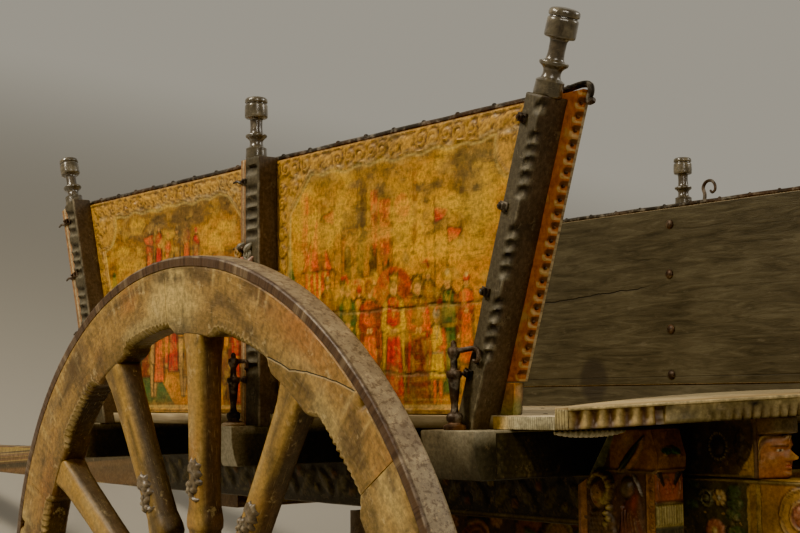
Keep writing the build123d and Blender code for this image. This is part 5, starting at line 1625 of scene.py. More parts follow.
    # ---- spokes
    g = Geo()
    st = np.array([(0.1183, 0.0530, 0.0490, 3.0), (0.150, 0.0525, 0.0485, 3.0), (0.215, 0.0505, 0.0470, 2.8), (0.232, 0.0500, 0.0465, 2.8), (0.238, 0.0580, 0.0500, 3.0),
                   (0.250, 0.0600, 0.0505, 3.0), (0.262, 0.0560, 0.0490, 2.8), (0.275, 0.0515, 0.0470, 2.6), (0.330, 0.0510, 0.0462, 2.6), (0.420, 0.0535, 0.0465, 2.7),
                   (0.490, 0.0560, 0.0470, 2.9), (0.520, 0.0572, 0.0475, 3.4), (0.536, 0.0580, 0.0480, 5.0), (0.5478, 0.0580, 0.0480, 7.0), (0.5505, 0.0560, 0.0460, 7.0)])
    rr = finer(st[:, [0, 1]], 0.0095)[:, 0]
    rr = np.unique(np.round(rr, 5))
    wd, dp, ex = (np.interp(rr, st[:, 0], st[:, i]) for i in (1, 2, 3))
    th = np.linspace(0, 2 * pi, 20, endpoint=False)
    ct, sn = np.cos(th), np.sin(th)
    for kk in range(12):
        a = rad(turn + 30 * kk)
        e = (2 / ex)[:, None]
        lx = np.sign(ct) * np.abs(ct)[None] ** e * wd[:, None] / 2
        lo = np.sign(sn) * np.abs(sn)[None] ** e * dp[:, None] / 2
        dish = -0.006 * (1 - (rr - 0.118) / 0.432)
        LP = np.stack([rr[:, None] + 0 * lx + 0.71 * kk, lx, lo], -1)
        nz = fnoise(LP * arr((0.3, 1, 1)), 0.03, seed + kk, 3)
        grow = 1 + 0.025 * nz
        lo2 = lo * grow + dish[:, None]
        lx2 = lx * grow
        O, X, UP, OUT = wheel_axes(s)
        er, et = sin(a) * X + cos(a) * UP, cos(a) * X - sin(a) * UP
        P = O + rr[:, None, None] * er + lx2[..., None] * et + lo2[..., None] * OUT
        big = fnoise(LP * arr((0.35, 1.2, 1.2)), 0.06, seed + 31, 4)
        streak = fnoise(LP * arr((0.12, 1.6, 1.6)), 0.012, seed + 5, 3)
        # the spokes' outer faces are gold, and their flanks and backs dark brown, painted shade
        outer = smooth(0.50, 0.95, lo / (dp[:, None] / 2))
        shaded_flank, gold = arr((0.088, 0.062, 0.034)), arr((0.52, 0.300, 0.050))
        c = shaded_flank + (gold - shaded_flank) * (outer * 0.9)[..., None]
        c = c + (arr((0.44, 0.17, 0.035)) - c) * (smooth(0.15, 0.55, big) * 0.45 * (0.35 + 0.65 * outer))[..., None]
        c = c + (arr((0.155, 0.135, 0.075)) - c) * (smooth(-0.05, -0.45, big) * 0.75)[..., None]
        c = c + (arr((0.065, 0.042, 0.024)) - c) * (smooth(0.10, 0.45, streak) * 0.7)[..., None]
        c = c + (arr((0.60, 0.46, 0.20)) - c) * (smooth(0.15, 0.5, -streak) * 0.30 * outer)[..., None]
        # painted shade in the creases either side of the collar
        c = c * (1 - 0.35 * (np.exp(-((rr - 0.2345) / 0.004) ** 2) + np.exp(-((rr - 0.268) / 0.006) ** 2))[:, None, None])
        V, F = fan_caps(P)
        g.add(V, F, lp=np.concatenate([LP.reshape(-1, 3), LP[0].mean(0)[None], LP[-1].mean(0)[None]]),
              col=np.clip(np.concatenate([c.reshape(-1, 3), arr((0.12, 0.08, 0.05), (0.12, 0.08, 0.05))]), 0, 1))
    make(f"wheel_spokes_{side}", g, M_spoke, body=f"wheel_{side}", replaces=(f"spokes_{side}",), col=True, angle=45)
    # ---- carved sprigs and flowers on the spokes' faces
    g = Geo()
    for kk in range(12):
        a = rad(turn + 30 * kk)
        rng = (kk * 7 + (3 if s > 0 else 5)) % 10 / 10.0
        Hh = Relief(0.046, 0.092, 0.0024, -0.023, -0.046)
        fy = -0.020 + 0.004 * (rng - 0.5)
        for j in range(5):
            b_ = 2 * pi * j / 5 + 0.4 + rng
            Hh.dome(0.005 + 0.0098 * cos(b_), fy + 0.0098 * sin(b_), 0.0074, 0.0062, h=0.0088, a=b_, p=0.6)
        Hh.dome(0.005, fy, 0.0050, h=0.0118, p=0.6)
        top = 0.018
        for b_, l_ in ((2.5, 0.021), (1.9, 0.024), (1.25, 0.022), (0.6, 0.020), (0.0, 0.016), (3.1, 0.017)):
            Hh.leaf((-0.002, top - 0.010), (-0.002 + l_ * cos(b_), top - 0.010 + l_ * sin(b_)), 0.0098, 0.0088, 2, 0.0, 0.5)
        Hh.leaf((0.000, 0.012), (-0.016, -0.006), 0.0125, 0.0085, 2)
        Hh.leaf((0.002, 0.004), (-0.013, -0.020), 0.0110, 0.0075, 2)
        Hh.dome(-0.014, 0.004, 0.0052, h=0.0092).dome(-0.0160, -0.009, 0.0046, h=0.0082)
        Hh.ridge([(0.004, -0.030), (-0.008, -0.038), (-0.016, -0.036)], 0.0060, 0.0068, 0.7, 0.4)
        Hh.blur(1)
        U, W_ = Hh.X, Hh.Z
        rr_ = 0.322 + W_
        w2, d2 = np.interp(rr_, st[:, 0], st[:, 1]) / 2, np.interp(rr_, st[:, 0], st[:, 2]) / 2
        prof = np.clip(1 - np.abs(np.clip(U / w2, -1, 1)) ** 2.7, 0.02, 1) ** (1 / 2.7)
        base = d2 * prof - 0.006 * (1 - (rr_ - 0.118) / 0.432)
        O, X, UP, OUT = wheel_axes(s)
        er, et = sin(a) * X + cos(a) * UP, cos(a) * X - sin(a) * UP
        lift = np.where(Hh.h > 0.0006, 0.0, -0.0022)
        P = O + rr_[..., None] * er + U[..., None] * et + (base - 0.0016 + Hh.h + lift)[..., None] * OUT
        B = O + rr_[..., None] * er + U[..., None] * et + (base - 0.0100)[..., None] * OUT
        V, F = plate(P, B)
        cav = cavity(Hh.h, 0.0024, 0.0030)
        L3 = np.stack([rr_ + kk, U, Hh.h], -1)
        n_ = fnoise(L3, 0.008, 3, 2)
        c = arr((0.185, 0.130, 0.070)) * (1 + 0.35 * n_[..., None])
        # painted shade in the hollows and painted highlights on the raised parts
        c = c + (arr((0.035, 0.024, 0.016)) - c) * smooth(0.45, 0.85, cav)[..., None]
        c = c + (arr((0.52, 0.42, 0.26)) - c) * (smooth(0.0055, 0.0105, Hh.h) * smooth(0.48, 0.25, cav) * 0.8)[..., None]
        g.add(V, F, lp=np.concatenate([L3.reshape(-1, 3), np.tile(L3[0, 0], (len(V) - L3.shape[0] * L3.shape[1], 1))]),
              col=np.clip(np.concatenate([c.reshape(-1, 3), np.tile(arr((0.05, 0.04, 0.03)), (len(V) - L3.shape[0] * L3.shape[1], 1))]), 0, 1))
    make(f"wheel_flowers_{side}", g, M_flower, body=f"wheel_{side}", col=True, angle=50)
    # ---- hub, turned and carved
    line = [(-0.190, 0.060), (-0.190, 0.0775), (-0.1645, 0.0780), (-0.1638, 0.0895), (-0.158, 0.0925), (-0.150, 0.0938), (-0.141, 0.0900), (-0.132, 0.0850), (-0.122, 0.0845),
            (-0.110, 0.0870), (-0.094, 0.0905), (-0.076, 0.0950), (-0.062, 0.0992), (-0.058, 0.1015), (-0.050, 0.1120), (-0.0455, 0.1172), (-0.041, 0.1180), (0.030, 0.1180),
            (0.0345, 0.1165), (0.040, 0.1060), (0.0440, 0.0985), (0.050, 0.0895), (0.053, 0.0812), (0.060, 0.0812), (0.067, 0.0850), (0.073, 0.0862), (0.083, 0.0845),
            (0.0855, 0.0835), (0.0862, 0.0722), (0.110, 0.0720), (0.110, 0.060), (0.110, 0.0386), (-0.190, 0.0386)]
    pl = finer(np.array(line + [line[0]]), 0.006)[:-1]
    n = 60
    th = np.linspace(0, 2 * pi, n, endpoint=False)
    hh, r0 = pl[:, :1], pl[:, 1:]
    flute = (smooth(-0.126, -0.120, hh) * smooth(-0.064, -0.072, hh) + smooth(0.046, 0.049, hh) * smooth(0.054, 0.051, hh)) * (r0 > 0.05)
    gad = smooth(-0.160, -0.156, hh) * smooth(-0.134, -0.140, hh) * (r0 > 0.06) + smooth(0.062, 0.066, hh) * smooth(0.082, 0.078, hh) * (r0 > 0.06)
    r = r0 - 0.0040 * flute * (0.5 + 0.5 * np.cos(th[None] * 16)) ** 0.7 - 0.0034 * gad * (0.5 + 0.5 * np.cos(th[None] * 24 + 0.4)) ** 0.6
    P = wpt(s, r, th[None] + 0 * r, hh + 0 * r)
    C3 = np.stack([r * np.sin(th[None]), r * np.cos(th[None]), hh + 0 * r], -1)
    nz = fnoise(C3, 0.03, seed, 3)
    c = np.broadcast_to(arr((0.44, 0.26, 0.08)), C3.shape).copy()
    red = ((np.cos(th[None] * 16) > 0.2) & (flute > 0.3))
    c = np.where(red[..., None], arr((0.42, 0.09, 0.035)), c)
    grn = ((np.cos(th[None] * 24 + 0.4) > 0.1) & (gad > 0.3))
    c = np.where(grn[..., None], arr((0.12, 0.15, 0.06)), c)
    c = c + (arr((0.13, 0.08, 0.045)) - c) * (smooth(0.0, 0.5, nz) * 0.6 + 0.5 * smooth(-0.164, -0.19, hh) + 0.5 * smooth(0.086, 0.1, hh))[..., None]
    V, F = loft(P, caps=False, loop=True)
    g = Geo()
    g.add(V, F, lp=C3, col=np.clip(c.reshape(-1, 3), 0, 1))
    make(f"wheel_hub_{side}", g, M_spoke, body=f"wheel_{side}", replaces=(f"hub_{side}",), col=True, angle=40)
    # ---- hub bands with rivets
    g = Geo()
    for h0, ri_, w_ in ((-0.189, 0.078, 0.024), (0.087, 0.072, 0.022)):
        sec = [(ri_, h0), (ri_ + 0.0050, h0), (ri_ + 0.0060, h0 + 0.0012), (ri_ + 0.0060, h0 + w_ / 2), (ri_ + 0.0060, h0 + w_ - 0.0012), (ri_ + 0.0050, h0 + w_), (ri_, h0 + w_)]
        th = np.linspace(0, 2 * pi, 72, endpoint=False)
        rr_, oo = np.array([q[0] for q in sec]), np.array([q[1] for q in sec])
        P = wpt(s, rr_[None] + 0 * th[:, None], th[:, None] + 0 * rr_[None], oo[None] + 0 * th[:, None])
        P = P + 0.0003 * fnoise(P, 0.01, 3, 2)[..., None]
        g.add(*loft(P, caps=False, loop=True))
        O, X, UP, OUT = wheel_axes(s)
        for j in range(6):
            b_ = j * pi / 3 + 0.3
            d_ = sin(b_) * X + cos(b_) * UP
            g.add(*lathe([(-0.002, 0.0042), (0.0006, 0.0040), (0.0018, 0.0026), (0.0024, 0.0008)], O + d_ * (ri_ + 0.006) + OUT * (h0 + w_ / 2), d_, 10, OUT))
    make(f"wheel_bands_{side}", g, M_rust, body=f"wheel_{side}", replaces=(f"hub_bands_{side}",))



# ================================================================== carved and painted sheets
class Sheet:
    """A colour canvas and a relief on one grid, laid on a face as a closed sheet."""

    def __init__(self, x0, z0, x1, z1, px, ground):
        self.P = Paint(x1 - x0, z1 - z0, px, x0, z0, ground)
        self.H = Relief(x1 - x0, z1 - z0, px, x0, z0)
        self.x0, self.z0, self.x1, self.z1, self.px = x0, z0, x1, z1, px

    def lay(self, g, nu, nz, point, lo=None, hi=None, back=0.002, edge=0.04, dark=(0.05, 0.032, 0.018), deep=0.75,
            glint=(0.80, 0.58, 0.22), shine=0.35, k=0.0012, seed=1, amp=0.0004, tone=0.68):
        P, H = self.P, self.H
        P3 = np.stack([H.X, H.Z, H.X * 0], -1)
        h = H.h + amp * fnoise(P3, 0.010, seed, 3)
        cav = cavity(H.h, self.px, k)
        n_a = fnoise(P3, 0.03, seed + 4, 3)
        c = P.c[:h.shape[0], :h.shape[1]] * (1 + 0.30 * n_a[..., None])
        # painted shade in the hollows and painted highlights, the glint, on the raised parts
        c = c + (np.asarray(dark) - c) * (smooth(0.52, 0.88, cav) * deep)[..., None]
        c = c + (np.asarray(glint) - c) * (smooth(0.42, 0.08, cav) * shine * smooth(-0.4, 0.4, n_a))[..., None]
        M = Paint(self.x1 - self.x0, self.z1 - self.z0, self.px, self.x0, self.z0, (0, 0, 0))
        M.c = np.concatenate([c, h[..., None]], -1)
        z, t = np.linspace(self.z0 + 1e-5, self.z1 - 1e-5, nz), np.linspace(0, 1, nu)
        zz = np.tile(z, (nu, 1))
        a = np.full_like(zz, self.x0 + 1e-5) if lo is None else lo(zz)
        b = np.full_like(zz, self.x1 - 1e-5) if hi is None else hi(zz)
        xx = a + (b - a) * t[:, None]
        v = M.at(xx, zz)
        tz = np.linspace(0, 1, nz)
        fade = (smooth(0, edge, t) * smooth(1, 1 - edge, t))[:, None] * (smooth(0, edge, tz) * smooth(1, 1 - edge, tz))[None]
        V, F = plate(point(xx, zz, v[..., 3] * (0.2 + 0.8 * fade)), point(xx, zz, np.full_like(xx, -back)))
        # tone below 1, left at its default by the carvings under the cart, darkens their colours as painted shade
        cc = np.concatenate([v[..., :3].reshape(-1, 3) * tone, np.tile(np.asarray(dark, float), (len(V) - nu * nz, 1))])
        return g.add(V, F, col=np.clip(cc, 0, 1))


def box_rings(ts, place, w, h, e=0.0015, wear=0.0, seed=1, scale=0.02):
    """Rings of an eased rectangle along ts; place(t, a, b) gives the points."""
    q = []
    for a, b, da, db in ((0, 0, 1, 1), (1, 0, -1, 1), (1, 1, -1, -1), (0, 1, 1, -1)):
        x, y = a * w, b * h
        q += [(x + da * e, y), (x, y + db * e)] if (a, b) in ((1, 0), (0, 1)) else [(x, y + db * e), (x + da * e, y)]
    q = np.array(q)
    q = resample(q, max(w, h) / 5)
    ts = np.asarray(ts, float)
    rings = np.array([place(np.full(len(q), t), q[:, 0], q[:, 1]) for t in ts])
    if wear:
        mid = rings.mean(1, keepdims=True)
        rings = rings + (rings - mid) * (wear * fnoise(rings, scale, seed, 3))[..., None]
    return rings


def arc3(p1, p2, p3):
    """Circle through three points, as a function giving the second coordinate from the first."""
    (x1, y1), (x2, y2), (x3, y3) = p1, p2, p3
    d = 2 * (x1 * (y2 - y3) + x2 * (y3 - y1) + x3 * (y1 - y2))
    ux = ((x1 * x1 + y1 * y1) * (y2 - y3) + (x2 * x2 + y2 * y2) * (y3 - y1) + (x3 * x3 + y3 * y3) * (y1 - y2)) / d
    uy = ((x1 * x1 + y1 * y1) * (x3 - x2) + (x2 * x2 + y2 * y2) * (x1 - x3) + (x3 * x3 + y3 * y3) * (x2 - x1)) / d
    r = math.hypot(x1 - ux, y1 - uy)
    sg = 1 if y2 > uy else -1
    return lambda x: uy + sg * np.sqrt(np.maximum(r * r - (np.asarray(x, float) - ux) ** 2, 0))


# ================================================================== rails under the boards
for side, s in (("left", 1), ("right", -1)):
    V, F = [], []
    for y in (0.5562, 0.5550, 0.5470, 0.5391, 0.5381):
        q = resample(arr((-0.543, 1.0902), (0.748, 1.0902), (0.752, 1.136), (-0.547, 1.136)), 0.008)
        if y in (0.5562, 0.5381):
            q = inset(q, 0.0010)
        P3 = np.stack([q[:, 0], np.full(len(q), s * y), q[:, 1]], -1)
        gouge = 0.003 * smooth(0.0, 0.5, fnoise(P3, 0.012, 3, 2)) * (q[:, 0] < -0.54)
        P3[:, 0] += gouge * (1 if 0.539 < y < 0.556 else 0.4)
        V.append(P3)
    rings = np.array(V)
    V, F = loft(rings)
    m = rings.shape[1]
    n3 = fnoise(V, 0.012, 8, 3)[:, None]
    up = smooth(1.106, 1.122, V[:, 2])[:, None]
    c = arr(0.30, 0.26, 0.07) * (1 - up) + arr(0.62, 0.24, 0.03) * up
    pale = smooth(0.5495, 0.5440, np.abs(V[:, 1]))[:, None] * smooth(-0.4, 0.2, n3)
    c = (c + (arr(0.42, 0.42, 0.24) - c) * pale) * (1 + 0.35 * n3)
    c = np.where(np.abs(V[:, 1:2]) < 0.5398, arr(0.07, 0.05, 0.035), c)
    g = Geo()
    g.add(V, [F[0], F[1]], mi=1, col=c)
    g.F.append((F[2], 0))
    make(f"rail_{side}", g, [M_inside, M_carve], replaces=(f"side_rail_{side}",), col=True)

# ================================================================== floor
g = Geo()
wp, gap = 0.16243, 0.0015
for i in range(7):
    y0 = -0.573 + i * (wp + gap)
    xs = np.linspace(-0.643, 0.838, 84)
    xs[0], xs[-1] = -0.643, 0.838

    def put_(t, a, b, y0=y0, i=i):
        P = np.stack([t, y0 + a, 1.070 + b], -1)
        top = b > 0.018
        dip = 0.0010 * np.abs(fnoise(np.stack([t * 0.35, y0 + a, a * 0], -1), 0.03, 5 + i, 3)) + 0.0008 * (np.abs(a / wp - 0.5) < 0.3) * (i % 2)
        P[:, 2] -= dip * top
        side = ((a < 0.0002) & (i == 0)) | ((a > wp - 0.0002) & (i == 6))
        P[:, 1] -= np.sign(P[:, 1]) * side * 0.0012 * smooth(0.1, 0.6, fnoise(np.stack([t, b * 0.3, a * 0], -1), 0.009, 9, 2))
        return P
    rings = box_rings(xs, put_, wp, 0.020, 0.0013)
    V, F = loft(rings)
    tone = 1 + 0.12 * sin(i * 2.3)
    top = smooth(1.0875, 1.0890, V[:, 2])[:, None]
    n3 = fnoise(V * arr(0.35, 1, 1), 0.02, 31, 3)[:, None]
    marks = smooth(0.12, 0.45, fnoise(V * arr(1, 0.2, 0.25), 0.007, 12, 2))[:, None]
    low = arr(0.22, 0.20, 0.13) * (1 - 0.75 * marks)
    c = top * arr(1.15, 1.12, 1.0) * tone * (1 + 0.16 * n3) + (1 - top) * low * (1 + 0.4 * n3)
    rear = smooth(-0.55, -0.60, V[:, 0])[:, None] * top
    c = c + (arr(1.45, 1.48, 1.40) - c) * rear * 0.7
    g.add(V, F, col=c)
make("floor_planks", g, M_tint, replaces=("floor_boards",), col=True, angle=25)

# fluted rear corners of the floor, and two rows of clout nails on the top
g = Geo()
for s in (1, -1):
    S = Sheet(-0.6425, 1.0708, -0.519, 1.0885, 0.0011, (0.66, 0.58, 0.34))
    S.P.soft(-0.519, 1.080, 0.028, 0.03, (0.72, 0.42, 0.05), 1.0)
    x = -0.640
    while x < -0.548:
        S.H.ridge([(x, 1.0715), (x + 0.0006, 1.0875)], 0.0034, 0.0013)
        x += 0.0042
    S.P.soft(-0.62, 1.074, 0.02, 0.004, (0.30, 0.26, 0.12), 0.8)
    S.lay(g, 88, 9, lambda a, b, h, s=s: np.stack([a, s * (0.5733 + h), b], -1), edge=0.10, glint=(0.85, 0.76, 0.5), seed=7, tone=1.0)
for s in (1, -1):                                            # the rear shelf's fluted end faces
    S = Sheet(-0.6680, 1.0712, -0.6438, 1.0985, 0.0009, (0.46, 0.36, 0.14))
    for k in range(5):
        x = -0.6655 + 0.0052 * k
        S.H.ridge([(x, 1.0725), (x + 0.0008, 1.0975)], 0.0042, 0.0016)
    S.P.soft(-0.656, 1.073, 0.03, 0.006, (0.18, 0.13, 0.06), 0.8)
    S.lay(g, 27, 12, lambda a, b, h, s=s: np.stack([a, s * (0.5732 + h), b], -1), edge=0.10, glint=(0.80, 0.70, 0.42), dark=(0.10, 0.065, 0.03), seed=9, tone=1.0)
make("floor_corners", g, M_carve, col=True, angle=50)
g = Geo()
for x in (-0.60, -0.494, 0.100, 0.678, 0.80):
    for i in range(7):
        for k in (0.035, 0.125):
            y = -0.573 + i * (wp + gap) + k
            j = 0.004 * vnoise(arr((x, y, 0.3)), 0.01, 4)[0]
            if abs(y) < 0.53:
                g.add(*lathe([(-0.002, 0.0042), (0.0004, 0.0042), (0.0010, 0.0030), (0.0012, 0.0006)], (x + j, y + j, 1.0895), (0, 0, 1), 8))
make("floor_nails", g, M_rust)


# ================================================================== bowed shelves
def shelf(name, repl, x0, reach, rich):
    c1 = arc3((-0.573, x0 + 0.10 * reach), (-0.400, x0 + 0.72 * reach), (0.0, x0 + reach))
    bot, top = arc3((-0.6, 1.0685), (0, 1.094), (0.6, 1.0685)), arc3((-0.6, 1.099), (0, 1.123), (0.6, 1.099))
    yy = np.linspace(-0.573, 0, 900)
    half = np.stack([c1(yy), yy], -1)
    full = np.concatenate([half, half[-2::-1] * arr(1, -1)])
    L = np.concatenate([[0], np.cumsum(np.linalg.norm(np.diff(full, axis=0), axis=1))])
    n = 500 if rich else 200
    u = np.linspace(0, L[-1], n)
    O = np.stack([np.interp(u, L, full[:, 0]), np.interp(u, L, full[:, 1])], -1)
    T = unit(np.gradient(O, axis=0))
    sgn = 1 if reach < 0 else -1
    N = np.stack([T[:, 1], -T[:, 0]], -1) * sgn                          # points inwards
    dist = np.minimum(u, L[-1] - u)                                      # from the nearer corner
    y = O[:, 1]
    zb, zt = bot(y), top(y)
    H_ = zt - zb
    fl = np.where(dist < 0.115, 0.5 + 0.5 * np.cos(dist * 2 * pi / 0.0225), 0.0)
    fl = fl * smooth(0.128, 0.105, dist)
    sc = np.abs(np.cos(dist * pi / 0.0135)) ** 0.7 * smooth(0.16, 0.22, dist)
    wob = fnoise(np.stack([O[:, 0], O[:, 1], O[:, 0] * 0], -1), 0.018, 4, 3)
    prof = ((0.0045, 1.0, 0.0), (0.0012, 0.985, 0.0), (0.0006, 0.93, 0.0), (0.0010, 0.87, 0.1), (0.0030, 0.84, 0.6), (0.0032, 0.70, 1.0), (0.0030, 0.52, 1.0),
            (0.0026, 0.36, 1.0), (0.0018, 0.22, 0.8), (0.0014, 0.12, 0.6), (0.0030, 0.02, 0.3), (0.0080, 0.0, 0.0))
    pts, cols = [], []
    # the underside is tinted dark, painted shade
    pts.append(np.stack([np.full(n, x0), y, zb], -1))
    cols.append(np.tile(arr(0.20, 0.17, 0.11), (n, 1)))
    pts.append(np.stack([np.full(n, x0), y, zt], -1))
    cols.append(np.tile(arr(1.22, 1.14, 0.86), (n, 1)))
    mid = np.stack([(O[:, 0] * 0.5 + x0 * 0.5), y, zt - 0.0003], -1)
    pts.append(mid)
    cols.append(np.tile(arr(1.18, 1.08, 0.80), (n, 1)))
    for d, t, a in prof:
        low = smooth(0.5, 0.1, t) * (t > 0.01)
        dd = d + a * (0.0085 * (1 - fl) * (dist < 0.128) + 0.0012 * wob) + low * 0.0080 * (1 - sc) * smooth(0.16, 0.22, dist)
        dd = np.maximum(dd, 0.0003)
        xy = O + N * dd[:, None]
        if reach < 0:
            xy[:, 0] = np.minimum(xy[:, 0], x0 - 0.0004)
        else:
            xy[:, 0] = np.maximum(xy[:, 0], x0 + 0.0004)
        pts.append(np.stack([xy[:, 0], np.clip(xy[:, 1], -0.573, 0.573), zb + H_ * t], -1))
        nn = fnoise(np.stack([O[:, 0], O[:, 1], zb + H_ * t], -1), 0.016, 8, 3)
        cream, pink = arr(0.54, 0.38, 0.135), arr(0.115, 0.055, 0.028)
        flute = cream * fl[:, None] + pink * (1 - fl[:, None])
        worn = arr(0.24, 0.18, 0.070) * (1 + 1.3 * nn[:, None]) + arr(0.26, 0.18, 0.07) * smooth(0.1, 0.4, nn)[:, None]
        scal = arr(0.29, 0.21, 0.085) * (1 + 0.9 * nn[:, None]) * sc[:, None] + arr(0.075, 0.048, 0.022) * (1 - sc[:, None])
        k1 = smooth(0.115, 0.135, dist)[:, None]
        k2 = smooth(0.19, 0.24, dist)[:, None] * (1 if t < 0.55 else 0.15)
        c = flute * (1 - k1) + worn * k1
        c = c * (1 - k2) + scal * k2
        if t > 0.86:
            c = arr(0.64, 0.49, 0.22) * (1 + 0.6 * nn[:, None])
        # the lowest rows of the carved edge are darkened, painted shade under the shelf
        if t < 0.06:
            c = c * 0.35
        cols.append(c)
    rings = np.stack(pts, 1)
    C = np.stack(cols, 1).reshape(-1, 3)
    V, F = loft(rings)
    m = rings.shape[1]
    q = F[0]
    j = np.arange(len(q)) % m
    wood_ = (j <= 2) | (j == m - 1)
    g = Geo()
    g.add(V, [q[wood_]], mi=0, col=np.clip(C, 0, 1.6))
    g.F.append((q[~wood_], 1))
    g.F += [(F[1], 0), (F[2], 0)]
    make(name, g, [M_tint, M_carve], replaces=(repl,), col=True, angle=40)


shelf("rear_bow_shelf", "rear_shelf", -0.6435, -0.250, True)
shelf("front_bow_shelf", "front_shelf", 0.8385, 0.180, True)

# ================================================================== crossbeams
for name, xc, hx, rear in (("rear_crossbeam", -0.494, 0.059, True), ("middle_crossbeam", 0.100, 0.025, False), ("front_crossbeam", 0.678, 0.030, False)):
    ys = np.concatenate([[-0.6399, -0.6385], np.linspace(-0.630, 0.630, 64), [0.6385, 0.6399]])

    def put_(t, a, b, xc=xc, hx=hx):
        lim = 0.640 - 0.008 * smooth(0.070, 0.006, b) ** 3 - 0.006 * smooth(0.006, 0.0, b)
        y = t * lim / 0.640
        e = 0.0012 if abs(t[0]) > 0.6395 else 0.0
        aa, bb = np.clip(a, e, 2 * hx - e), np.clip(b, e, 0.070 - e)
        return np.stack([xc - hx + aa, y, 1.000 + bb], -1)
    rings = box_rings(ys, put_, 2 * hx, 0.070, 0.002)
    w = fnoise(rings, 0.02, 6, 3)
    mid = arr((xc, 0, 1.035))[0]
    rings = rings - (rings - mid) * arr(1, 0, 1) * (0.012 * smooth(0.0, 0.6, w))[..., None]
    V, F = loft(rings)
    n3 = fnoise(V, 0.02, 14, 3)[:, None]
    end = smooth(0.600, 0.636, np.abs(V[:, 1]))[:, None]
    up = smooth(1.064, 1.069, V[:, 2])[:, None]
    # the rear beam is coloured darker than the others and its ends are left dark, painted shade
    c = arr(*((0.036, 0.031, 0.017) if rear else (0.066, 0.055, 0.028))) * (1 + 0.5 * n3)
    c = c + (arr(0.44, 0.38, 0.24) * (1 + 0.2 * n3) - c) * np.maximum(up, end * (0.85 if not rear else 0.12))
    g = Geo()
    g.add(V, F, col=np.clip(c, 0, 1))
    if rear:
        # the carved rear face gets a very dark ground, painted shade
        S = Sheet(-0.60, 1.0025, 0.60, 1.0660, 0.0016, (0.060, 0.050, 0.024))
        for r_, z in enumerate(np.arange(1.007, 1.064, 0.0085)):
            for i, y in enumerate(np.arange(-0.596, 0.598, 0.0105)):
                S.H.dome(y + 0.005 * (r_ % 2), z, 0.0056, 0.0058, h=0.0022)
        nn = fnoise(np.stack([S.P.X, S.P.Z, S.P.X * 0], -1), 0.02, 3, 3)
        S.P.c = S.P.c * (1 + 0.6 * nn[..., None])
        S.P.soft(0.56, 1.035, 0.03, 0.05, (0.11, 0.09, 0.045), 0.8).soft(-0.56, 1.035, 0.03, 0.05, (0.11, 0.09, 0.045), 0.8)
        S.lay(g, 300, 18, lambda a, b, h, x=xc - hx: np.stack([x - 0.0003 - h, a, b], -1), edge=0.01, glint=(0.34, 0.26, 0.10), shine=0.4, seed=3)
    else:
        for s in (1, -1):                                    # turned cushion under each stay
            prof = [(0, 0.0195), (0.0015, 0.0215), (0.0035, 0.0215), (0.005, 0.0190), (0.0062, 0.0165)]
            V2, F2 = lathe(prof, (xc if not name.startswith("front") else 0.684, s * 0.620, 1.0698), (0, 0, 1), 24)
            V2[:, 1] = np.sign(s) * np.minimum(np.abs(V2[:, 1]), 0.6395)
            g.add(V2, F2, col=(0.50, 0.36, 0.22))
    make(name + "_worn", g, M_carve, replaces=(name,), col=True)

# cream twisted beading under the floor's rear corners
g = Geo()
for s in (1, -1):
    n = 150
    t = np.linspace(0, 1, n)
    y = 0.566 - 0.140 * t
    sag = 0.0022 * np.sin(pi * t) ** 0.7
    rr_ = 0.0042 * np.sin(pi * np.clip(t, 0.03, 0.97)) ** 0.35
    a = np.linspace(0, 2 * pi, 14, endpoint=False)
    tw = 1 + 0.26 * np.cos(2 * a[None] - (y[:, None] / 0.0052) * 2 * pi * 0.5)
    rings = np.stack([(-0.634) + (rr_[:, None] * tw) * np.cos(a)[None] * 0.9,
                      np.repeat(s * y[:, None], 14, 1),
                      (1.0662 - sag)[:, None] + (rr_[:, None] * tw) * np.sin(a)[None] * 1.15], -1)
    V, F = fan_caps(rings)
    g.add(V, F, col=(0.74, 0.64, 0.40))
make("corner_beading", g, M_carve, col=True, angle=60)


# ================================================================== carved tails of the shafts
BROWNISH, TAN, PINK, LEAFY = (0.13, 0.085, 0.038), (0.66, 0.44, 0.12), (0.52, 0.20, 0.10), (0.10, 0.15, 0.045)


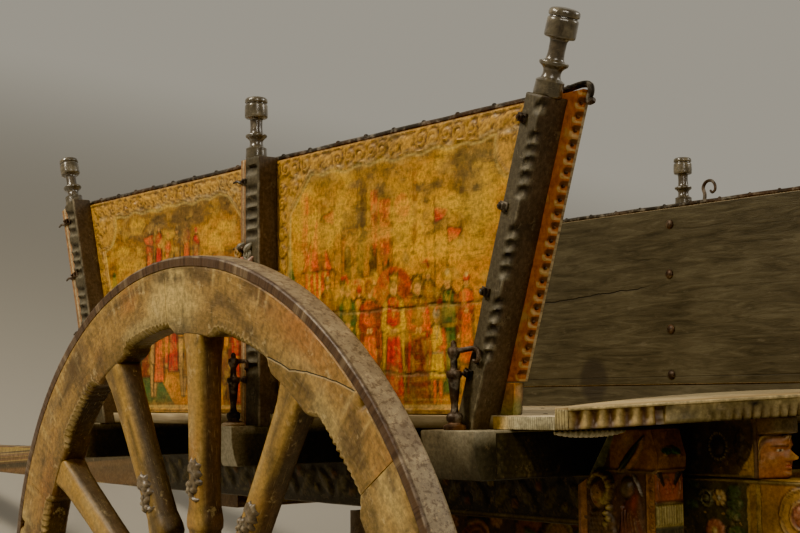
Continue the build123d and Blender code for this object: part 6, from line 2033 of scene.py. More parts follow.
def head_block(g, yc, hw, z0=1.000, z1=1.085):
    """Block with a carved head at its rear end; the face looks backwards."""
    nz, na, nb = 54, 18, 58
    zz = np.linspace(z0, z1, nz)
    zz[1], zz[-2] = z0 + 0.0012, z1 - 0.0012
    th = np.linspace(pi / 2, -pi / 2, nb)
    rings, cols = [], []
    for i, z in enumerate(zz):
        t = (z - z0) / 0.062
        e = 0.0012 if i in (0, nz - 1) else 0.0
        xs = np.linspace(-0.655 - e, -0.7890, na)
        rx = np.interp(t, (0, 0.08, 0.2, 0.34, 0.5, 0.66, 0.8, 1.0, 1.02, 1.37), (0.0190, 0.0235, 0.0255, 0.0250, 0.0265, 0.0262, 0.0275, 0.0245, 0.0300, 0.0285))
        face = smooth(1.02, 0.97, t)
        d = np.zeros(nb)
        g1 = lambda a, w: np.exp(-((th - a) / w) ** 2)
        tz = lambda c, w: np.exp(-((t - c) / w) ** 2)
        nose = smooth(0.36, 0.44, t) * smooth(0.72, 0.48, t)
        d += 0.0145 * g1(0, 0.20) * nose * (0.55 + 0.45 * tz(0.47, 0.10)) + 0.003 * (g1(0.24, 0.12) + g1(-0.24, 0.12)) * tz(0.45, 0.05)
        d += 0.0042 * g1(0, 0.30) * (tz(0.31, 0.030) + 0.9 * tz(0.245, 0.030)) - 0.0016 * g1(0, 0.34) * tz(0.277, 0.012)
        d += 0.0050 * g1(0, 0.36) * tz(0.10, 0.07) - 0.0022 * g1(0, 0.4) * tz(0.185, 0.03)
        for w in (-1, 1):
            d += -0.0060 * g1(w * 0.50, 0.22) * tz(0.63, 0.06) + 0.0044 * g1(w * 0.50, 0.15) * tz(0.63, 0.035) + 0.0030 * g1(w * 0.85, 0.30) * tz(0.40, 0.12)
            d += 0.0034 * g1(w * 0.46, 0.34) * tz(0.735, 0.035)
        hair = smooth(0.80, 0.95, t + 0.30 * smooth(0.9, 1.5, np.abs(th))) * np.ones(nb)
        hair = np.maximum(hair, smooth(1.30, 1.42, np.abs(th)) * smooth(0.30, 0.42, t))
        d += 0.0026 * hair * np.sin(th * 9 + t * 26 + 2.0 * np.sin(th * 4))
        d = d * face
        px_, py_ = (1.75, 1.45) if t < 1.0 else (0.85, 0.80)
        bx = -0.7965 - (rx + d) * np.cos(th) ** px_
        by = np.sign(np.sin(th)) * np.abs(np.sin(th)) ** py_ * (hw - 0.001 + 0.35 * d * np.abs(np.sin(th)))
        strip_x = np.linspace(-0.7905, -0.7955, 5)
        ydip = 0.0030 * np.exp(-((strip_x + 0.7930) / 0.0018) ** 2)
        ay = np.full(na, hw - e)
        q = np.concatenate([np.stack([xs, ay], -1), np.stack([strip_x, hw - ydip - e], -1), np.stack([bx + e * 0.5, by * (1 - 0.03 * (e > 0))], -1),
                            np.stack([strip_x[::-1], -(hw - ydip[::-1] - e)], -1), np.stack([xs[::-1], -ay], -1)])
        rings.append(np.stack([q[:, 0], yc + q[:, 1], np.full(len(q), z)], -1))
        base = np.tile(arr(*[BROWNISH])[0], (na, 1))
        st = np.tile(arr((0.16, 0.085, 0.035))[0], (5, 1))
        skin = np.tile(arr((0.40, 0.140, 0.036))[0], (nb, 1))
        n3 = fnoise(np.stack([bx, by, np.full(nb, z)], -1), 0.012, 6, 3)
        skin = skin * (1 + 0.30 * n3[:, None])
        # the raised parts of the face and the waves of the hair get painted highlights
        skin = skin + (arr((0.70, 0.38, 0.08))[0] - skin) * np.clip(d / 0.012, 0, 1)[:, None] * 0.7
        hc = arr((0.17, 0.085, 0.035))[0] + arr((0.30, 0.20, 0.05))[0] * np.clip(d / 0.0026, 0, 1)[:, None]
        skin = skin + (hc - skin) * (hair * face)[:, None]
        for w in (-1, 1):
            eye = smooth(0.17, 0.10, np.hypot((th - w * 0.50), (t - 0.63) * 4.2))
            skin = skin + (arr((0.66, 0.55, 0.34))[0] - skin) * eye[:, None]
            pup = smooth(0.07, 0.05, np.hypot((th - w * 0.50), (t - 0.63) * 2.8))
            skin = skin + (arr((0.03, 0.02, 0.015))[0] - skin) * pup[:, None]
            brow = np.exp(-((t - 0.735 + 0.10 * (np.abs(th) - 0.5) ** 2) / 0.018) ** 2) * smooth(0.14, 0.22, np.abs(th)) * smooth(0.95, 0.80, np.abs(th))
            skin = skin + (arr((0.10, 0.05, 0.025))[0] - skin) * (brow * 0.7)[:, None]
        lip = smooth(0.36, 0.26, np.abs(th)) * (smooth(0.045, 0.030, abs(t - 0.278)))
        skin = skin + (arr((0.50, 0.10, 0.05))[0] - skin) * (lip * 0.8)[:, None]
        if t >= 1.0:
            hatc = arr((0.26, 0.185, 0.085))[0] * (1 + 0.3 * n3[:, None])
            skin = hatc + (arr((0.24, 0.14, 0.06))[0] - hatc) * smooth(0.6, 1.1, np.abs(th))[:, None]
            st = np.tile(arr((0.20, 0.12, 0.05))[0], (5, 1))
        # the bands under the hat's brim and at the foot are darkened, painted shade
        elif t > 0.955 or t < 0.03:
            skin = skin * 0.35
        cols.append(np.concatenate([base, st, skin, st[::-1], base]))
    rings = np.array(rings)
    V, F = loft(rings)
    g.add(V, F, col=np.clip(np.concatenate(cols), 0, 1))


def block_side(x0=-0.7882, x1=-0.657):
    S = Sheet(x0, 1.0015, x1, 1.0838, 0.0009, BROWNISH)
    P, H = S.P, S.H
    nn = fnoise(np.stack([P.X, P.Z, P.X * 0], -1), 0.012, 5, 3)
    P.c = P.c * (1 + 0.5 * nn[..., None])
    P.soft(-0.680, 1.06, 0.03, 0.03, (0.20, 0.11, 0.045), 0.7)
    P.poly([(-0.760, 1.0015), (-0.797, 1.0015), (-0.797, 1.060), (-0.787, 1.045), (-0.782, 1.030), (-0.770, 1.014)], (0.62, 0.33, 0.06))
    P.poly([(-0.786, 1.0838), (-0.797, 1.0838), (-0.797, 1.060), (-0.790, 1.058)], (0.30, 0.14, 0.05))
    P.ell(-0.727, 1.044, 0.0175, 0.0205, (0.10, 0.065, 0.03))
    for k in range(20):
        a = k * 2 * pi / 20
        H.dome(-0.727 + 0.0155 * cos(a), 1.044 + 0.0185 * sin(a), 0.0024, h=0.0024)
        P.ell(-0.727 + 0.0155 * cos(a), 1.044 + 0.0185 * sin(a), 0.0018, 0.0018, (0.50, 0.42, 0.20))
    H.dome(-0.727, 1.044, 0.0095, 0.0120, h=0.0032)
    H.spiral(-0.727, 1.044, 0.0085, 1.2, 1, 0, 0.0030, 0.0036)
    H.ridge([(-0.799, 1.0025), (-0.655, 1.0025)], 0.0034, 0.0024).ridge([(-0.799, 1.0815), (-0.655, 1.0815)], 0.0034, 0.0020)
    P.line([(-0.799, 1.0025), (-0.655, 1.0025)], 0.004, (0.30, 0.21, 0.08))
    for w, x in ((1, -0.690), (-1, -0.762)):
        H.leaf((x, 1.030), (x + w * 0.006, 1.070), 0.016, 0.0030, 3)
        H.leaf((x, 1.026), (x + w * 0.018, 1.012), 0.012, 0.0026, 2)
        H.spiral(x + w * 0.012, 1.020, 0.0065, 1.3, w, 0, 0.0026, 0.0024)
    H.blur(1)
    return S


g = Geo()
for s in (1, -1):
    head_block(g, s * 0.300, 0.035)
    S = block_side()
    for w in (1, -1):
        S.lay(g, 66 if w == s else 36, 40 if w == s else 22, lambda a, b, h, s=s, w=w: np.stack([a, s * 0.300 + w * (0.0352 + h), b], -1), edge=0.02, glint=(0.52, 0.38, 0.14), seed=11)
    # plain block under the front shelf
    V, F = prism(arr((0.870, 1.0002), (0.990, 1.0002), (0.990, 1.062), (0.984, 1.072), (0.988, 1.085), (0.870, 1.085)), (0, s * 0.300 + 0.035, 0), (1, 0, 0), (0, 0, 1), 0.070,
                 0.002, 0.010, 5, 0.0006, 4, 0.02)
    n3 = fnoise(V, 0.02, 3, 3)[:, None]
    g.add(V, F, col=np.clip(arr(0.30, 0.17, 0.055) * (1 + 0.5 * n3), 0, 1))
    S2 = Sheet(0.873, 1.003, 0.984, 1.082, 0.0012, (0.22, 0.12, 0.05))
    S2.P.ell(0.925, 1.043, 0.026, 0.026, (0.50, 0.12, 0.05)).ell(0.925, 1.043, 0.010, 0.010, YELLOW)
    S2.H.flower(0.925, 1.043, 0.028, 8, 0.0034)
    S2.H.ridge([(0.875, 1.006), (0.983, 1.006)], 0.004, 0.002).ridge([(0.875, 1.079), (0.983, 1.079)], 0.004, 0.002)
    for x, z in ((0.885, 1.066), (0.885, 1.020), (0.970, 1.066), (0.970, 1.020)):
        S2.H.dome(x, z, 0.005, h=0.0026)
    for w in (1, -1):
        S2.lay(g, 40, 30, lambda a, b, h, s=s, w=w: np.stack([a, s * 0.300 + w * (0.0352 + h), b], -1), edge=0.03, seed=5)
make("shelf_blocks_carved", g, M_carve, replaces=("shelf_blocks",), col=True, angle=50)


def tail_side():
    S = Sheet(-0.9045, 0.8735, -0.655, 0.9988, 0.0010, (0.115, 0.095, 0.040))
    P, H = S.P, S.H
    nn = fnoise(np.stack([P.X, P.Z, P.X * 0], -1), 0.014, 9, 3)
    P.c = P.c * (1 + 0.5 * nn[..., None])
    # orange-yellow field with a ringed disc at the rear end
    P.poly([(-0.799, 0.86), (-0.91, 0.86), (-0.91, 1.01), (-0.799, 1.01)], (0.46, 0.235, 0.050))
    P.soft(-0.83, 0.985, 0.03, 0.02, (0.66, 0.27, 0.05), 0.7)
    P.ell(-0.866, 0.953, 0.036, 0.036, (0.56, 0.28, 0.05)).ell(-0.866, 0.953, 0.018, 0.018, (0.46, 0.14, 0.06))
    for r_ in (0.036, 0.019):
        a = np.linspace(0, 2 * pi, 60)
        H.ridge(np.stack([-0.866 + r_ * np.cos(a), 0.953 + r_ * np.sin(a)], -1)[::3], 0.0042, 0.0030)
        P.line(np.stack([-0.866 + (r_ + 0.0024) * np.cos(a), 0.953 + (r_ + 0.0024) * np.sin(a)], -1), 0.0016, (0.24, 0.10, 0.06), 0.9)
    H.flower(-0.866, 0.953, 0.014, 6, 0.0036)
    H.dome(-0.866, 0.953, 0.0045, h=0.0050)
    P.poly([(-0.779, 0.86), (-0.791, 0.86), (-0.791, 1.01), (-0.779, 1.01)], (0.50, 0.27, 0.055))
    H.cuts().groove([(-0.7945, 0.87), (-0.7945, 1.0)], 0.004, 0.0022).groove([(-0.7775, 0.87), (-0.7775, 1.0)], 0.003, 0.0018).apply()
    # rosettes and leaves on the dark field
    H.spiral(-0.703, 0.969, 0.0135, 1.6, 1, 0.5, 0.0044, 0.0036)
    P.ell(-0.703, 0.969, 0.013, 0.013, (0.26, 0.24, 0.10), 0.7)
    P.ell(-0.728, 0.972, 0.0115, 0.0115, (0.66, 0.42, 0.14))
    H.flower(-0.728, 0.972, 0.0125, 6, 0.0044)
    P.ell(-0.728, 0.972, 0.0042, 0.0042, (0.80, 0.66, 0.36))
    for a, b, w in (((-0.742, 0.972), (-0.764, 0.992), 0.015), ((-0.740, 0.964), (-0.768, 0.966), 0.015), ((-0.738, 0.955), (-0.762, 0.942), 0.013),
                    ((-0.690, 0.985), (-0.668, 0.995), 0.011), ((-0.688, 0.958), (-0.664, 0.962), 0.012)):
        H.leaf(a, b, w, 0.0036, 3)
        P.ell((a[0] + b[0]) / 2, (a[1] + b[1]) / 2, abs(a[0] - b[0]) * 0.55, w * 0.6, LEAFY, 0.85)
    P.ell(-0.719, 0.925, 0.0175, 0.0175, PINK)
    H.flower(-0.719, 0.925, 0.0185, 9, 0.0040)
    P.ell(-0.719, 0.925, 0.006, 0.006, (0.74, 0.48, 0.16))
    for a, b in (((-0.740, 0.928), (-0.772, 0.920)), ((-0.733, 0.908), (-0.760, 0.894)), ((-0.700, 0.915), (-0.680, 0.905))):
        H.leaf(a, b, 0.014, 0.0034, 2)
        P.ell((a[0] + b[0]) / 2, (a[1] + b[1]) / 2, 0.016, 0.009, LEAFY, 0.85)
    H.spiral(-0.722, 0.890, 0.010, 1.4, -1, 2.0, 0.0038, 0.0032)
    H.ridge([(-0.900, 0.9965), (-0.656, 0.9965)], 0.0040, 0.0026)
    P.line([(-0.900, 0.9965), (-0.656, 0.9965)], 0.0044, (0.34, 0.24, 0.09))
    H.blur(1)
    return S


END = ((0.862, -0.8800), (0.880, -0.905), (0.905, -0.893), (0.940, -0.893), (0.968, -0.905), (1.000, -0.893))


def tail_lo(z):
    return np.interp(z, [p[0] for p in END], [p[1] for p in END]) + 0.0006


def tail_hi(z):
    return np.where(z > 0.915, -0.6555, -0.6610 - (0.915 - z) * 0.040 / 0.043)


g = Geo()
for s in (1, -1):
    S = tail_side()
    for w in (1, -1):
        S.lay(g, 100 if w == s else 48, 52 if w == s else 25, lambda a, b, h, s=s, w=w: np.stack([a, s * 0.300 + w * (0.0352 + h), b], -1), tail_lo, tail_hi,
              edge=0.02, glint=(0.70, 0.52, 0.20), seed=21)
    # carved end grain: a plain shell over the end of the shaft
    E = Sheet(-0.033, 0.883, 0.033, 0.998, 0.0010, (0.56, 0.30, 0.06))
    E.P.ell(0, 0.950, 0.026, 0.026, (0.50, 0.12, 0.05)).ell(0, 0.950, 0.011, 0.011, (0.74, 0.50, 0.12))
    E.H.flower(0, 0.950, 0.026, 8, 0.0040)
    for k in range(7):
        a = pi * (0.08 + 0.14 * k)
        E.H.ridge([(0.010 * cos(a), 0.912 - 0.010 * sin(a)), (0.028 * cos(a), 0.912 - 0.026 * sin(a))], 0.0050, 0.0030, 0.6, 1.0)
    E.H.ridge([(-0.032, 0.993), (0.032, 0.993)], 0.004, 0.0028)
    E.lay(g, 30, 52, lambda a, b, h, s=s: np.stack([tail_lo(b) - 0.0010 - h, s * 0.300 + a, b], -1), edge=0.05, seed=9)
make("tail_carving", g, M_carve, col=True, angle=55)


# ================================================================== carved brackets beside the tails
def bracket_side():
    S = Sheet(-0.692, 0.8735, -0.535, 1.0675, 0.0010, (0.17, 0.085, 0.04))
    P, H = S.P, S.H
    nn = fnoise(np.stack([P.X, P.Z, P.X * 0], -1), 0.010, 19, 3)
    # upper field, orange with a dark spear leaf
    P.poly([(-0.600, 1.012), (-0.700, 1.012), (-0.700, 1.07), (-0.600, 1.07)], (0.54, 0.24, 0.055))
    P.soft(-0.640, 1.050, 0.02, 0.012, (0.60, 0.34, 0.09), 0.7).soft(-0.665, 1.030, 0.02, 0.02, (0.46, 0.17, 0.05), 0.7)
    P.poly([(-0.553, 1.0), (-0.604, 1.07), (-0.614, 1.07), (-0.586, 1.008)], (0.30, 0.30, 0.17))
    P.line([(-0.560, 1.004), (-0.604, 1.066)], 0.0024, (0.50, 0.46, 0.28), 0.8)
    H.leaf((-0.617, 1.006), (-0.668, 1.060), 0.020, 0.0050, 0, 0.004)
    P.poly([(-0.613, 1.004), (-0.628, 1.006), (-0.652, 1.036), (-0.670, 1.062), (-0.640, 1.040), (-0.622, 1.022)], (0.07, 0.085, 0.035))
    H.ridge([(-0.700, 1.0095), (-0.575, 1.0095)], 0.0042, 0.0026)
    P.line([(-0.700, 1.0095), (-0.590, 1.0095)], 0.0045, (0.30, 0.18, 0.07))
    # front band
    P.poly([(-0.535, 0.87), (-0.5535, 0.87), (-0.5535, 0.995), (-0.535, 0.985)], (0.58, 0.27, 0.09))
    P.soft(-0.544, 0.90, 0.008, 0.02, (0.62, 0.18, 0.10), 0.8)
    P.line([(-0.5385, 0.87), (-0.5385, 0.99)], 0.0022, (0.26, 0.14, 0.09)).line([(-0.5540, 0.87), (-0.5540, 1.0)], 0.0020, (0.10, 0.05, 0.03))
    # a curly-haired bust over a textured robe
    P.poly([(-0.556, 0.874), (-0.560, 0.935), (-0.566, 0.962), (-0.600, 0.965), (-0.612, 0.935), (-0.614, 0.874)], (0.19, 0.11, 0.045))
    H.dome(-0.585, 0.905, 0.028, 0.055, h=0.0085)
    H.dome(-0.584, 0.978, 0.0205, 0.0250, h=0.0130)
    P.ell(-0.581, 0.972, 0.0125, 0.0165, (0.50, 0.26, 0.09))
    for k in range(15):
        a = 0.1 + k * 0.32
        H.dome(-0.584 + 0.0185 * cos(a), 0.984 + 0.0205 * sin(a), 0.0058, h=0.0125, base=0.0)
        P.ell(-0.584 + 0.0185 * cos(a), 0.984 + 0.0205 * sin(a), 0.0046, 0.0046, (0.50, 0.36, 0.09) if k % 2 else (0.34, 0.20, 0.06))
    for k in range(6):
        H.dome(-0.600 + 0.0045 * (k % 2), 0.972 - 0.008 * k, 0.0052, h=0.0105)
        P.ell(-0.600 + 0.0045 * (k % 2), 0.972 - 0.008 * k, 0.0042, 0.0042, (0.42, 0.30, 0.08))
    H.dome(-0.5805, 0.972, 0.0032, 0.0060, h=0.0175, p=0.8)
    for dx in (-0.0055, 0.0055):
        H.dome(-0.581 + dx, 0.9775, 0.0026, 0.0016, h=0.0150)
        P.ell(-0.581 + dx, 0.9775, 0.0019, 0.0012, (0.05, 0.03, 0.02))
    P.line([(-0.5845, 0.9635), (-0.5775, 0.9635)], 0.0014, (0.40, 0.08, 0.04))
    for r_, z in enumerate(np.arange(0.880, 0.952, 0.0068)):
        for i, x in enumerate(np.arange(-0.608, -0.560, 0.0072)):
            H.dome(x + 0.0036 * (r_ % 2), z, 0.0036, 0.0040, h=0.0022, add=True)
    # a smaller bowed figure behind, with a pale edge
    H.dome(-0.640, 0.925, 0.022, 0.052, h=0.0070, a=0.15)
    H.dome(-0.634, 0.985, 0.0120, 0.0150, h=0.0105)
    P.poly([(-0.618, 0.874), (-0.622, 0.94), (-0.630, 0.975), (-0.652, 0.960), (-0.664, 0.920), (-0.666, 0.874)], (0.20, 0.07, 0.035))
    P.ell(-0.634, 0.985, 0.011, 0.014, (0.15, 0.10, 0.04))
    H.ridge([(-0.646, 1.003), (-0.655, 0.990), (-0.661, 0.976)], 0.0040, 0.0060, 0.6, 0.6)
    P.line([(-0.646, 1.003), (-0.655, 0.990), (-0.661, 0.976)], 0.0036, (0.60, 0.52, 0.38), 0.8)
    for k in range(5):
        H.ridge([(-0.626 - 0.006 * k, 0.960 - 0.004 * k), (-0.628 - 0.007 * k, 0.915), (-0.624 - 0.008 * k, 0.878)], 0.0036, 0.0088)
    P.soft(-0.648, 0.968, 0.006, 0.012, (0.50, 0.10, 0.05), 0.8)
    P.poly([(-0.670, 0.87), (-0.692, 0.87), (-0.692, 1.006), (-0.670, 1.006)], (0.52, 0.23, 0.06))
    H.ridge([(-0.6705, 0.874), (-0.6705, 1.005)], 0.0034, 0.0024)
    for z in np.arange(0.885, 0.998, 0.016):
        H.spiral(-0.6795, z, 0.0055, 1.2, 1, z * 90, 0.0026, 0.0026)
    P.c = P.c * (1 + 0.35 * nn[..., None])
    H.blur(1)
    return S


BOUT = arr((-.545, .872), (-.535, .885), (-.535, .985), (-.556, .998), (-.604, 1.069), (-.680, 1.069), (-.692, 1.030), (-.690, 1.012), (-.684, 1.008), (-.684, .872))


def br_lo(z):
    return np.interp(z, (0.872, 1.008, 1.012, 1.030, 1.069), (-0.684, -0.684, -0.690, -0.692, -0.680)) + 0.0005


def br_hi(z):
    return np.interp(z, (0.872, 0.885, 0.985, 0.998, 1.069), (-0.545, -0.535, -0.535, -0.556, -0.604)) - 0.0005


g = Geo()
for s in (1, -1):
    V, F = prism(BOUT, (0, s * 0.392 + 0.030, 0), (1, 0, 0), (0, 0, 1), 0.060, 0.0018, 0.008, 6, 0.0005, 12, 0.02)
    n3 = fnoise(V, 0.015, 33, 3)[:, None]
    lowc, upc = arr(0.20, 0.10, 0.045), arr(0.50, 0.22, 0.055)
    k_ = smooth(1.003, 1.010, V[:, 2])[:, None]
    c = (lowc + (upc - lowc) * k_) * (1 + 0.4 * n3)
    g.add(V, F, col=np.clip(c, 0, 1))
    S = bracket_side()
    for w in (1, -1):
        S.lay(g, 80 if w == s else 38, 98 if w == s else 46, lambda a, b, h, s=s, w=w: np.stack([a, s * 0.392 + w * (0.0302 + h), b], -1), br_lo, br_hi,
              edge=0.02, glint=(0.66, 0.44, 0.14), shine=0.30, seed=31, k=0.0016)
    # rear face in tiers
    E = Sheet(-0.0290, 0.8745, 0.0290, 1.0670, 0.0009, (0.52, 0.24, 0.055))
    P, H = E.P, E.H
    P.poly([(-0.03, 0.95), (0.03, 0.95), (0.03, 1.010), (-0.03, 1.010)], (0.50, 0.19, 0.09))
    P.soft(0, 0.985, 0.02, 0.015, (0.56, 0.12, 0.06), 0.8)
    P.poly([(-0.03, 0.930), (0.03, 0.930), (0.03, 0.966), (-0.03, 0.966)], (0.60, 0.46, 0.14))
    P.poly([(-0.03, 0.905), (0.03, 0.905), (0.03, 0.932), (-0.03, 0.932)], (0.13, 0.12, 0.08))
    P.poly([(-0.03, 0.87), (0.03, 0.87), (0.03, 0.907), (-0.03, 0.907)], (0.56, 0.46, 0.22))
    H.ridge([(-0.03, 1.010), (0.03, 1.010)], 0.0050, 0.0030)
    P.line([(-0.03, 1.010), (0.03, 1.010)], 0.0050, (0.30, 0.15, 0.06))
    for x in np.arange(-0.026, 0.027, 0.0052):
        H.ridge([(x, 0.936), (x, 0.960)], 0.0038, 0.0030)
        H.ridge([(x, 0.912), (x, 0.926)], 0.0026, 0.0014)
    H.ridge([(-0.03, 0.9655), (0.03, 0.9655)], 0.0034, 0.0026)
    P.line([(-0.03, 0.9655), (0.03, 0.9655)], 0.0026, (0.12, 0.06, 0.04))
    H.leaf((-0.018, 1.032), (0.004, 1.044), 0.010, 0.0034, 2).leaf((0.018, 1.032), (-0.002, 1.044), 0.010, 0.0034, 2)
    P.ell(-0.008, 1.038, 0.012, 0.0055, (0.10, 0.24, 0.09)).ell(0.010, 1.038, 0.010, 0.0050, (0.10, 0.24, 0.09))
    H.flower(0, 0.988, 0.012, 6, 0.0030)
    H.ridge([(-0.020, 0.972), (-0.024, 0.990), (-0.018, 1.004)], 0.0030, 0.0024).ridge([(0.020, 0.972), (0.024, 0.990), (0.018, 1.004)], 0.0030, 0.0024)
    for x in (-0.015, 0.0, 0.015):
        H.dome(x, 0.888, 0.0062, 0.0100, h=0.0034)
    H.blur(1)
    E.lay(g, 32, 106, lambda a, b, h, s=s: np.stack([br_lo(b) - 0.0008 - h, s * 0.392 + a * s, b], -1), edge=0.03, glint=(0.74, 0.56, 0.24), seed=13)
make("brackets_carved", g, M_carve, replaces=("rear_brackets",), col=True, angle=55)


# ================================================================== shafts
def shaft_sheet(x0, x1, seed):
    S = Sheet(x0, 0.9175, x1, 0.9975, 0.0014, (0.070, 0.056, 0.028))
    P, H = S.P, S.H
    x, k = x0 + 0.030, 0
    while x < x1 - 0.030:
        w = 1 if k % 2 else -1
        H.leaf((x - 0.024, 0.957 - w * 0.026), (x + 0.020, 0.957 + w * 0.024), 0.024, 0.0044, 3, 0.004 * w)
        P.ell(x, 0.957, 0.020, 0.012, (0.22, 0.17, 0.06), 0.7, 0.8 * w)
        H.spiral(x + 0.026, 0.957 - w * 0.016, 0.011, 1.4, w, k, 0.0040, 0.0034)
        for j in range(4):
            H.ridge([(x - 0.030 + 0.006 * j, 0.957 + w * 0.012), (x - 0.022 + 0.006 * j, 0.957 + w * 0.028)], 0.0030, 0.0022)
        P.ell(x + 0.026, 0.957 - w * 0.016, 0.008, 0.008, (0.40, 0.13, 0.05) if k % 3 else (0.46, 0.34, 0.09), 0.65)
        x += 0.058
        k += 1
    for z in (0.9200, 0.9950):
        H.ridge([(x0, z), (x1, z)], 0.0040, 0.0026)
        P.line([(x0, z), (x1, z)], 0.0042, (0.36, 0.26, 0.09), 0.85)
    nn = fnoise(np.stack([P.X, P.Z, P.X * 0], -1), 0.03, seed, 3)
    P.c = P.c * (1 + 0.5 * nn[..., None])
    H.blur(1)
    return S


SHAFT = arr((-.905, .880), (-.893, .905), (-.893, .940), (-.905, .968), (-.893, 1.000), (.950, 1.000), (2.550, .984), (2.550, .928), (.950, .915),
            (-.660, .915), (-.700, .872), (-.880, .862))
for side, s in (("left", 1), ("right", -1)):
    g = Geo()
    V, F = prism(SHAFT, (0, s * 0.300 + 0.035, 0), (1, 0, 0), (0, 0, 1), 0.070, 0.0022, 0.014, 5, 0.0007, 3, 0.05)
    n3 = fnoise(V * arr(0.3, 1, 1), 0.02, 6, 3)[:, None]
    n4 = fnoise(V, 0.06, 16, 3)[:, None]
    c = arr(0.080, 0.060, 0.030) * (1 + 0.4 * n3)
    fwd = smooth(0.90, 1.00, V[:, 0])[:, None]
    c = c + (arr(0.30, 0.155, 0.055) * (1 + 0.45 * n3) - c) * fwd * smooth(-0.5, 0.3, n4)
    band = (np.sin(V[:, :1] * 2 * pi / 0.16) > 0.86) & (V[:, :1] > 1.0) & (V[:, :1] < 2.2)
    c = np.where(band, arr(0.52, 0.36, 0.08) * (1 + 0.4 * n3), c)
    c = c + (arr(0.34, 0.27, 0.17) - c) * smooth(2.30, 2.45, V[:, 0])[:, None] * 0.8
    tail = smooth(-0.800, -0.815, V[:, 0])[:, None]
    c = c + (arr(0.52, 0.30, 0.06) * (1 + 0.3 * n3) - c) * tail
    g.add(V, F, col=np.clip(c, 0, 1))
    for x0, x1, nu, nz in ((-0.652, -0.024, 170, 22), (0.024, 0.945, 140, 14)):
        S = shaft_sheet(x0, x1, 5)
        for w in (s, -s):
            S.lay(g, nu if w == s else nu // 2, nz if w == s else nz // 2, lambda a, b, h, s=s, w=w: np.stack([a, s * 0.300 + w * (0.0351 + h), b], -1),
                  edge=0.01, glint=(0.42, 0.33, 0.12), shine=0.4, seed=15)
    make(f"shaft_{side}_worn", g, M_carve, replaces=(f"shaft_{side}",), col=True, angle=50)

# ================================================================== keys between the shafts
for name, xa, xb in (("rear_key", -0.600, -0.500), ("front_key", 0.650, 0.740)):
    g = Geo()
    ys = np.linspace(-0.2648, 0.2648, 46)
    rings = box_rings(ys, lambda t, a, b, xa=xa: np.stack([xa + a, t, 0.880 + b], -1), xb - xa, 0.1198, 0.0022)
    V, F = loft(rings)
    n3 = fnoise(V, 0.03, 4, 3)[:, None]
    g.add(V, F, col=np.clip(arr(0.17, 0.095, 0.042) * (1 + 0.5 * n3), 0, 1))
    S = Sheet(-0.262, 0.8835, 0.262, 0.9965, 0.0014, (0.20, 0.10, 0.045))
    P, H = S.P, S.H
    P.poly([(-0.262, 0.945), (0.262, 0.945), (0.262, 1.0), (-0.262, 1.0)], (0.44, 0.20, 0.05))
    P.ell(0, 0.940, 0.040, 0.044, (0.54, 0.35, 0.08))
    H.dome(0, 0.940, 0.034, 0.040, h=0.0070)
    H.flower(0, 0.940, 0.038, 10, 0.0095)
    P.ell(0, 0.940, 0.013, 0.013, (0.55, 0.13, 0.05))
    for w in (1, -1):
        for i, (a, b, ww) in enumerate((((0.045, 0.945), (0.098, 0.985), 0.028), ((0.046, 0.936), (0.105, 0.948), 0.026), ((0.044, 0.925), (0.094, 0.900), 0.026))):
            H.leaf((w * a[0], a[1]), (w * b[0], b[1]), ww, 0.0058, 4)
            P.ell(w * (a[0] + b[0]) / 2, (a[1] + b[1]) / 2, 0.026, 0.011, (0.12, 0.18, 0.06) if i != 1 else (0.56, 0.38, 0.10), 0.85, 0.5 * w * (1 - i))
        H.spiral(w * 0.135, 0.950, 0.026, 1.8, w, 0, 0.0075, 0.0056).spiral(w * 0.185, 0.922, 0.022, 1.6, -w, 1, 0.0065, 0.0050)
        P.ell(w * 0.135, 0.950, 0.026, 0.026, (0.56, 0.36, 0.09), 0.7).ell(w * 0.185, 0.922, 0.022, 0.022, (0.50, 0.15, 0.06), 0.7)
        H.flower(w * 0.232, 0.960, 0.020, 7, 0.0056)
        P.ell(w * 0.232, 0.960, 0.020, 0.020, (0.60, 0.42, 0.10), 0.8)
        H.leaf((w * 0.215, 0.935), (w * 0.250, 0.895), 0.020, 0.0046, 3)
    for z in (0.888, 0.992):
        H.ridge([(-0.262, z), (0.262, z)], 0.0052, 0.0040)
        P.line([(-0.262, z), (0.262, z)], 0.0050, (0.52, 0.36, 0.10))
    H.blur(1)
    rear = name == "rear_key"
    for x, w in ((xa, -1), (xb, 1)):
        big = (w == -1) == rear
        S.lay(g, 160 if big else 90, 36 if big else 20, lambda a, b, h, x=x, w=w: np.stack([x + w * (0.0002 + h), a, b], -1), edge=0.015, seed=7, k=0.0020)
    make(name + "_carved", g, M_carve, replaces=(name,), col=True, angle=55)

# ================================================================== carved axle case
g = Geo()
yo = [(-0.470, 0.708), (0.470, 0.708), (0.470, 0.763)]
c_ = arc3((0.763, 0.470), (0.790, 0.425), (0.838, 0.400))
zz_ = np.linspace(0.763, 0.838, 9)[1:]
yo += [(float(c_(z)), float(z)) for z in zz_] + [(0.400, 0.9148), (-0.400, 0.9148)] + [(-float(c_(z)), float(z)) for z in zz_[::-1]] + [(-0.470, 0.763)]
V, F = prism(arr(*yo), (-0.060, 0, 0), (0, 1, 0), (0, 0, 1), 0.120, 0.0020, 0.016, 6, 0.0006, 3, 0.03)
n3 = fnoise(V, 0.03, 24, 3)[:, None]
g.add(V, F, col=np.clip(arr(0.16, 0.095, 0.042) * (1 + 0.5 * n3), 0, 1))
S = Sheet(-0.468, 0.7095, 0.468, 0.9135, 0.0020, (0.15, 0.085, 0.04))
P, H = S.P, S.H
P.poly([(-0.12, 0.73), (0.12, 0.73), (0.10, 0.895), (-0.10, 0.895)], (0.42, 0.16, 0.05))
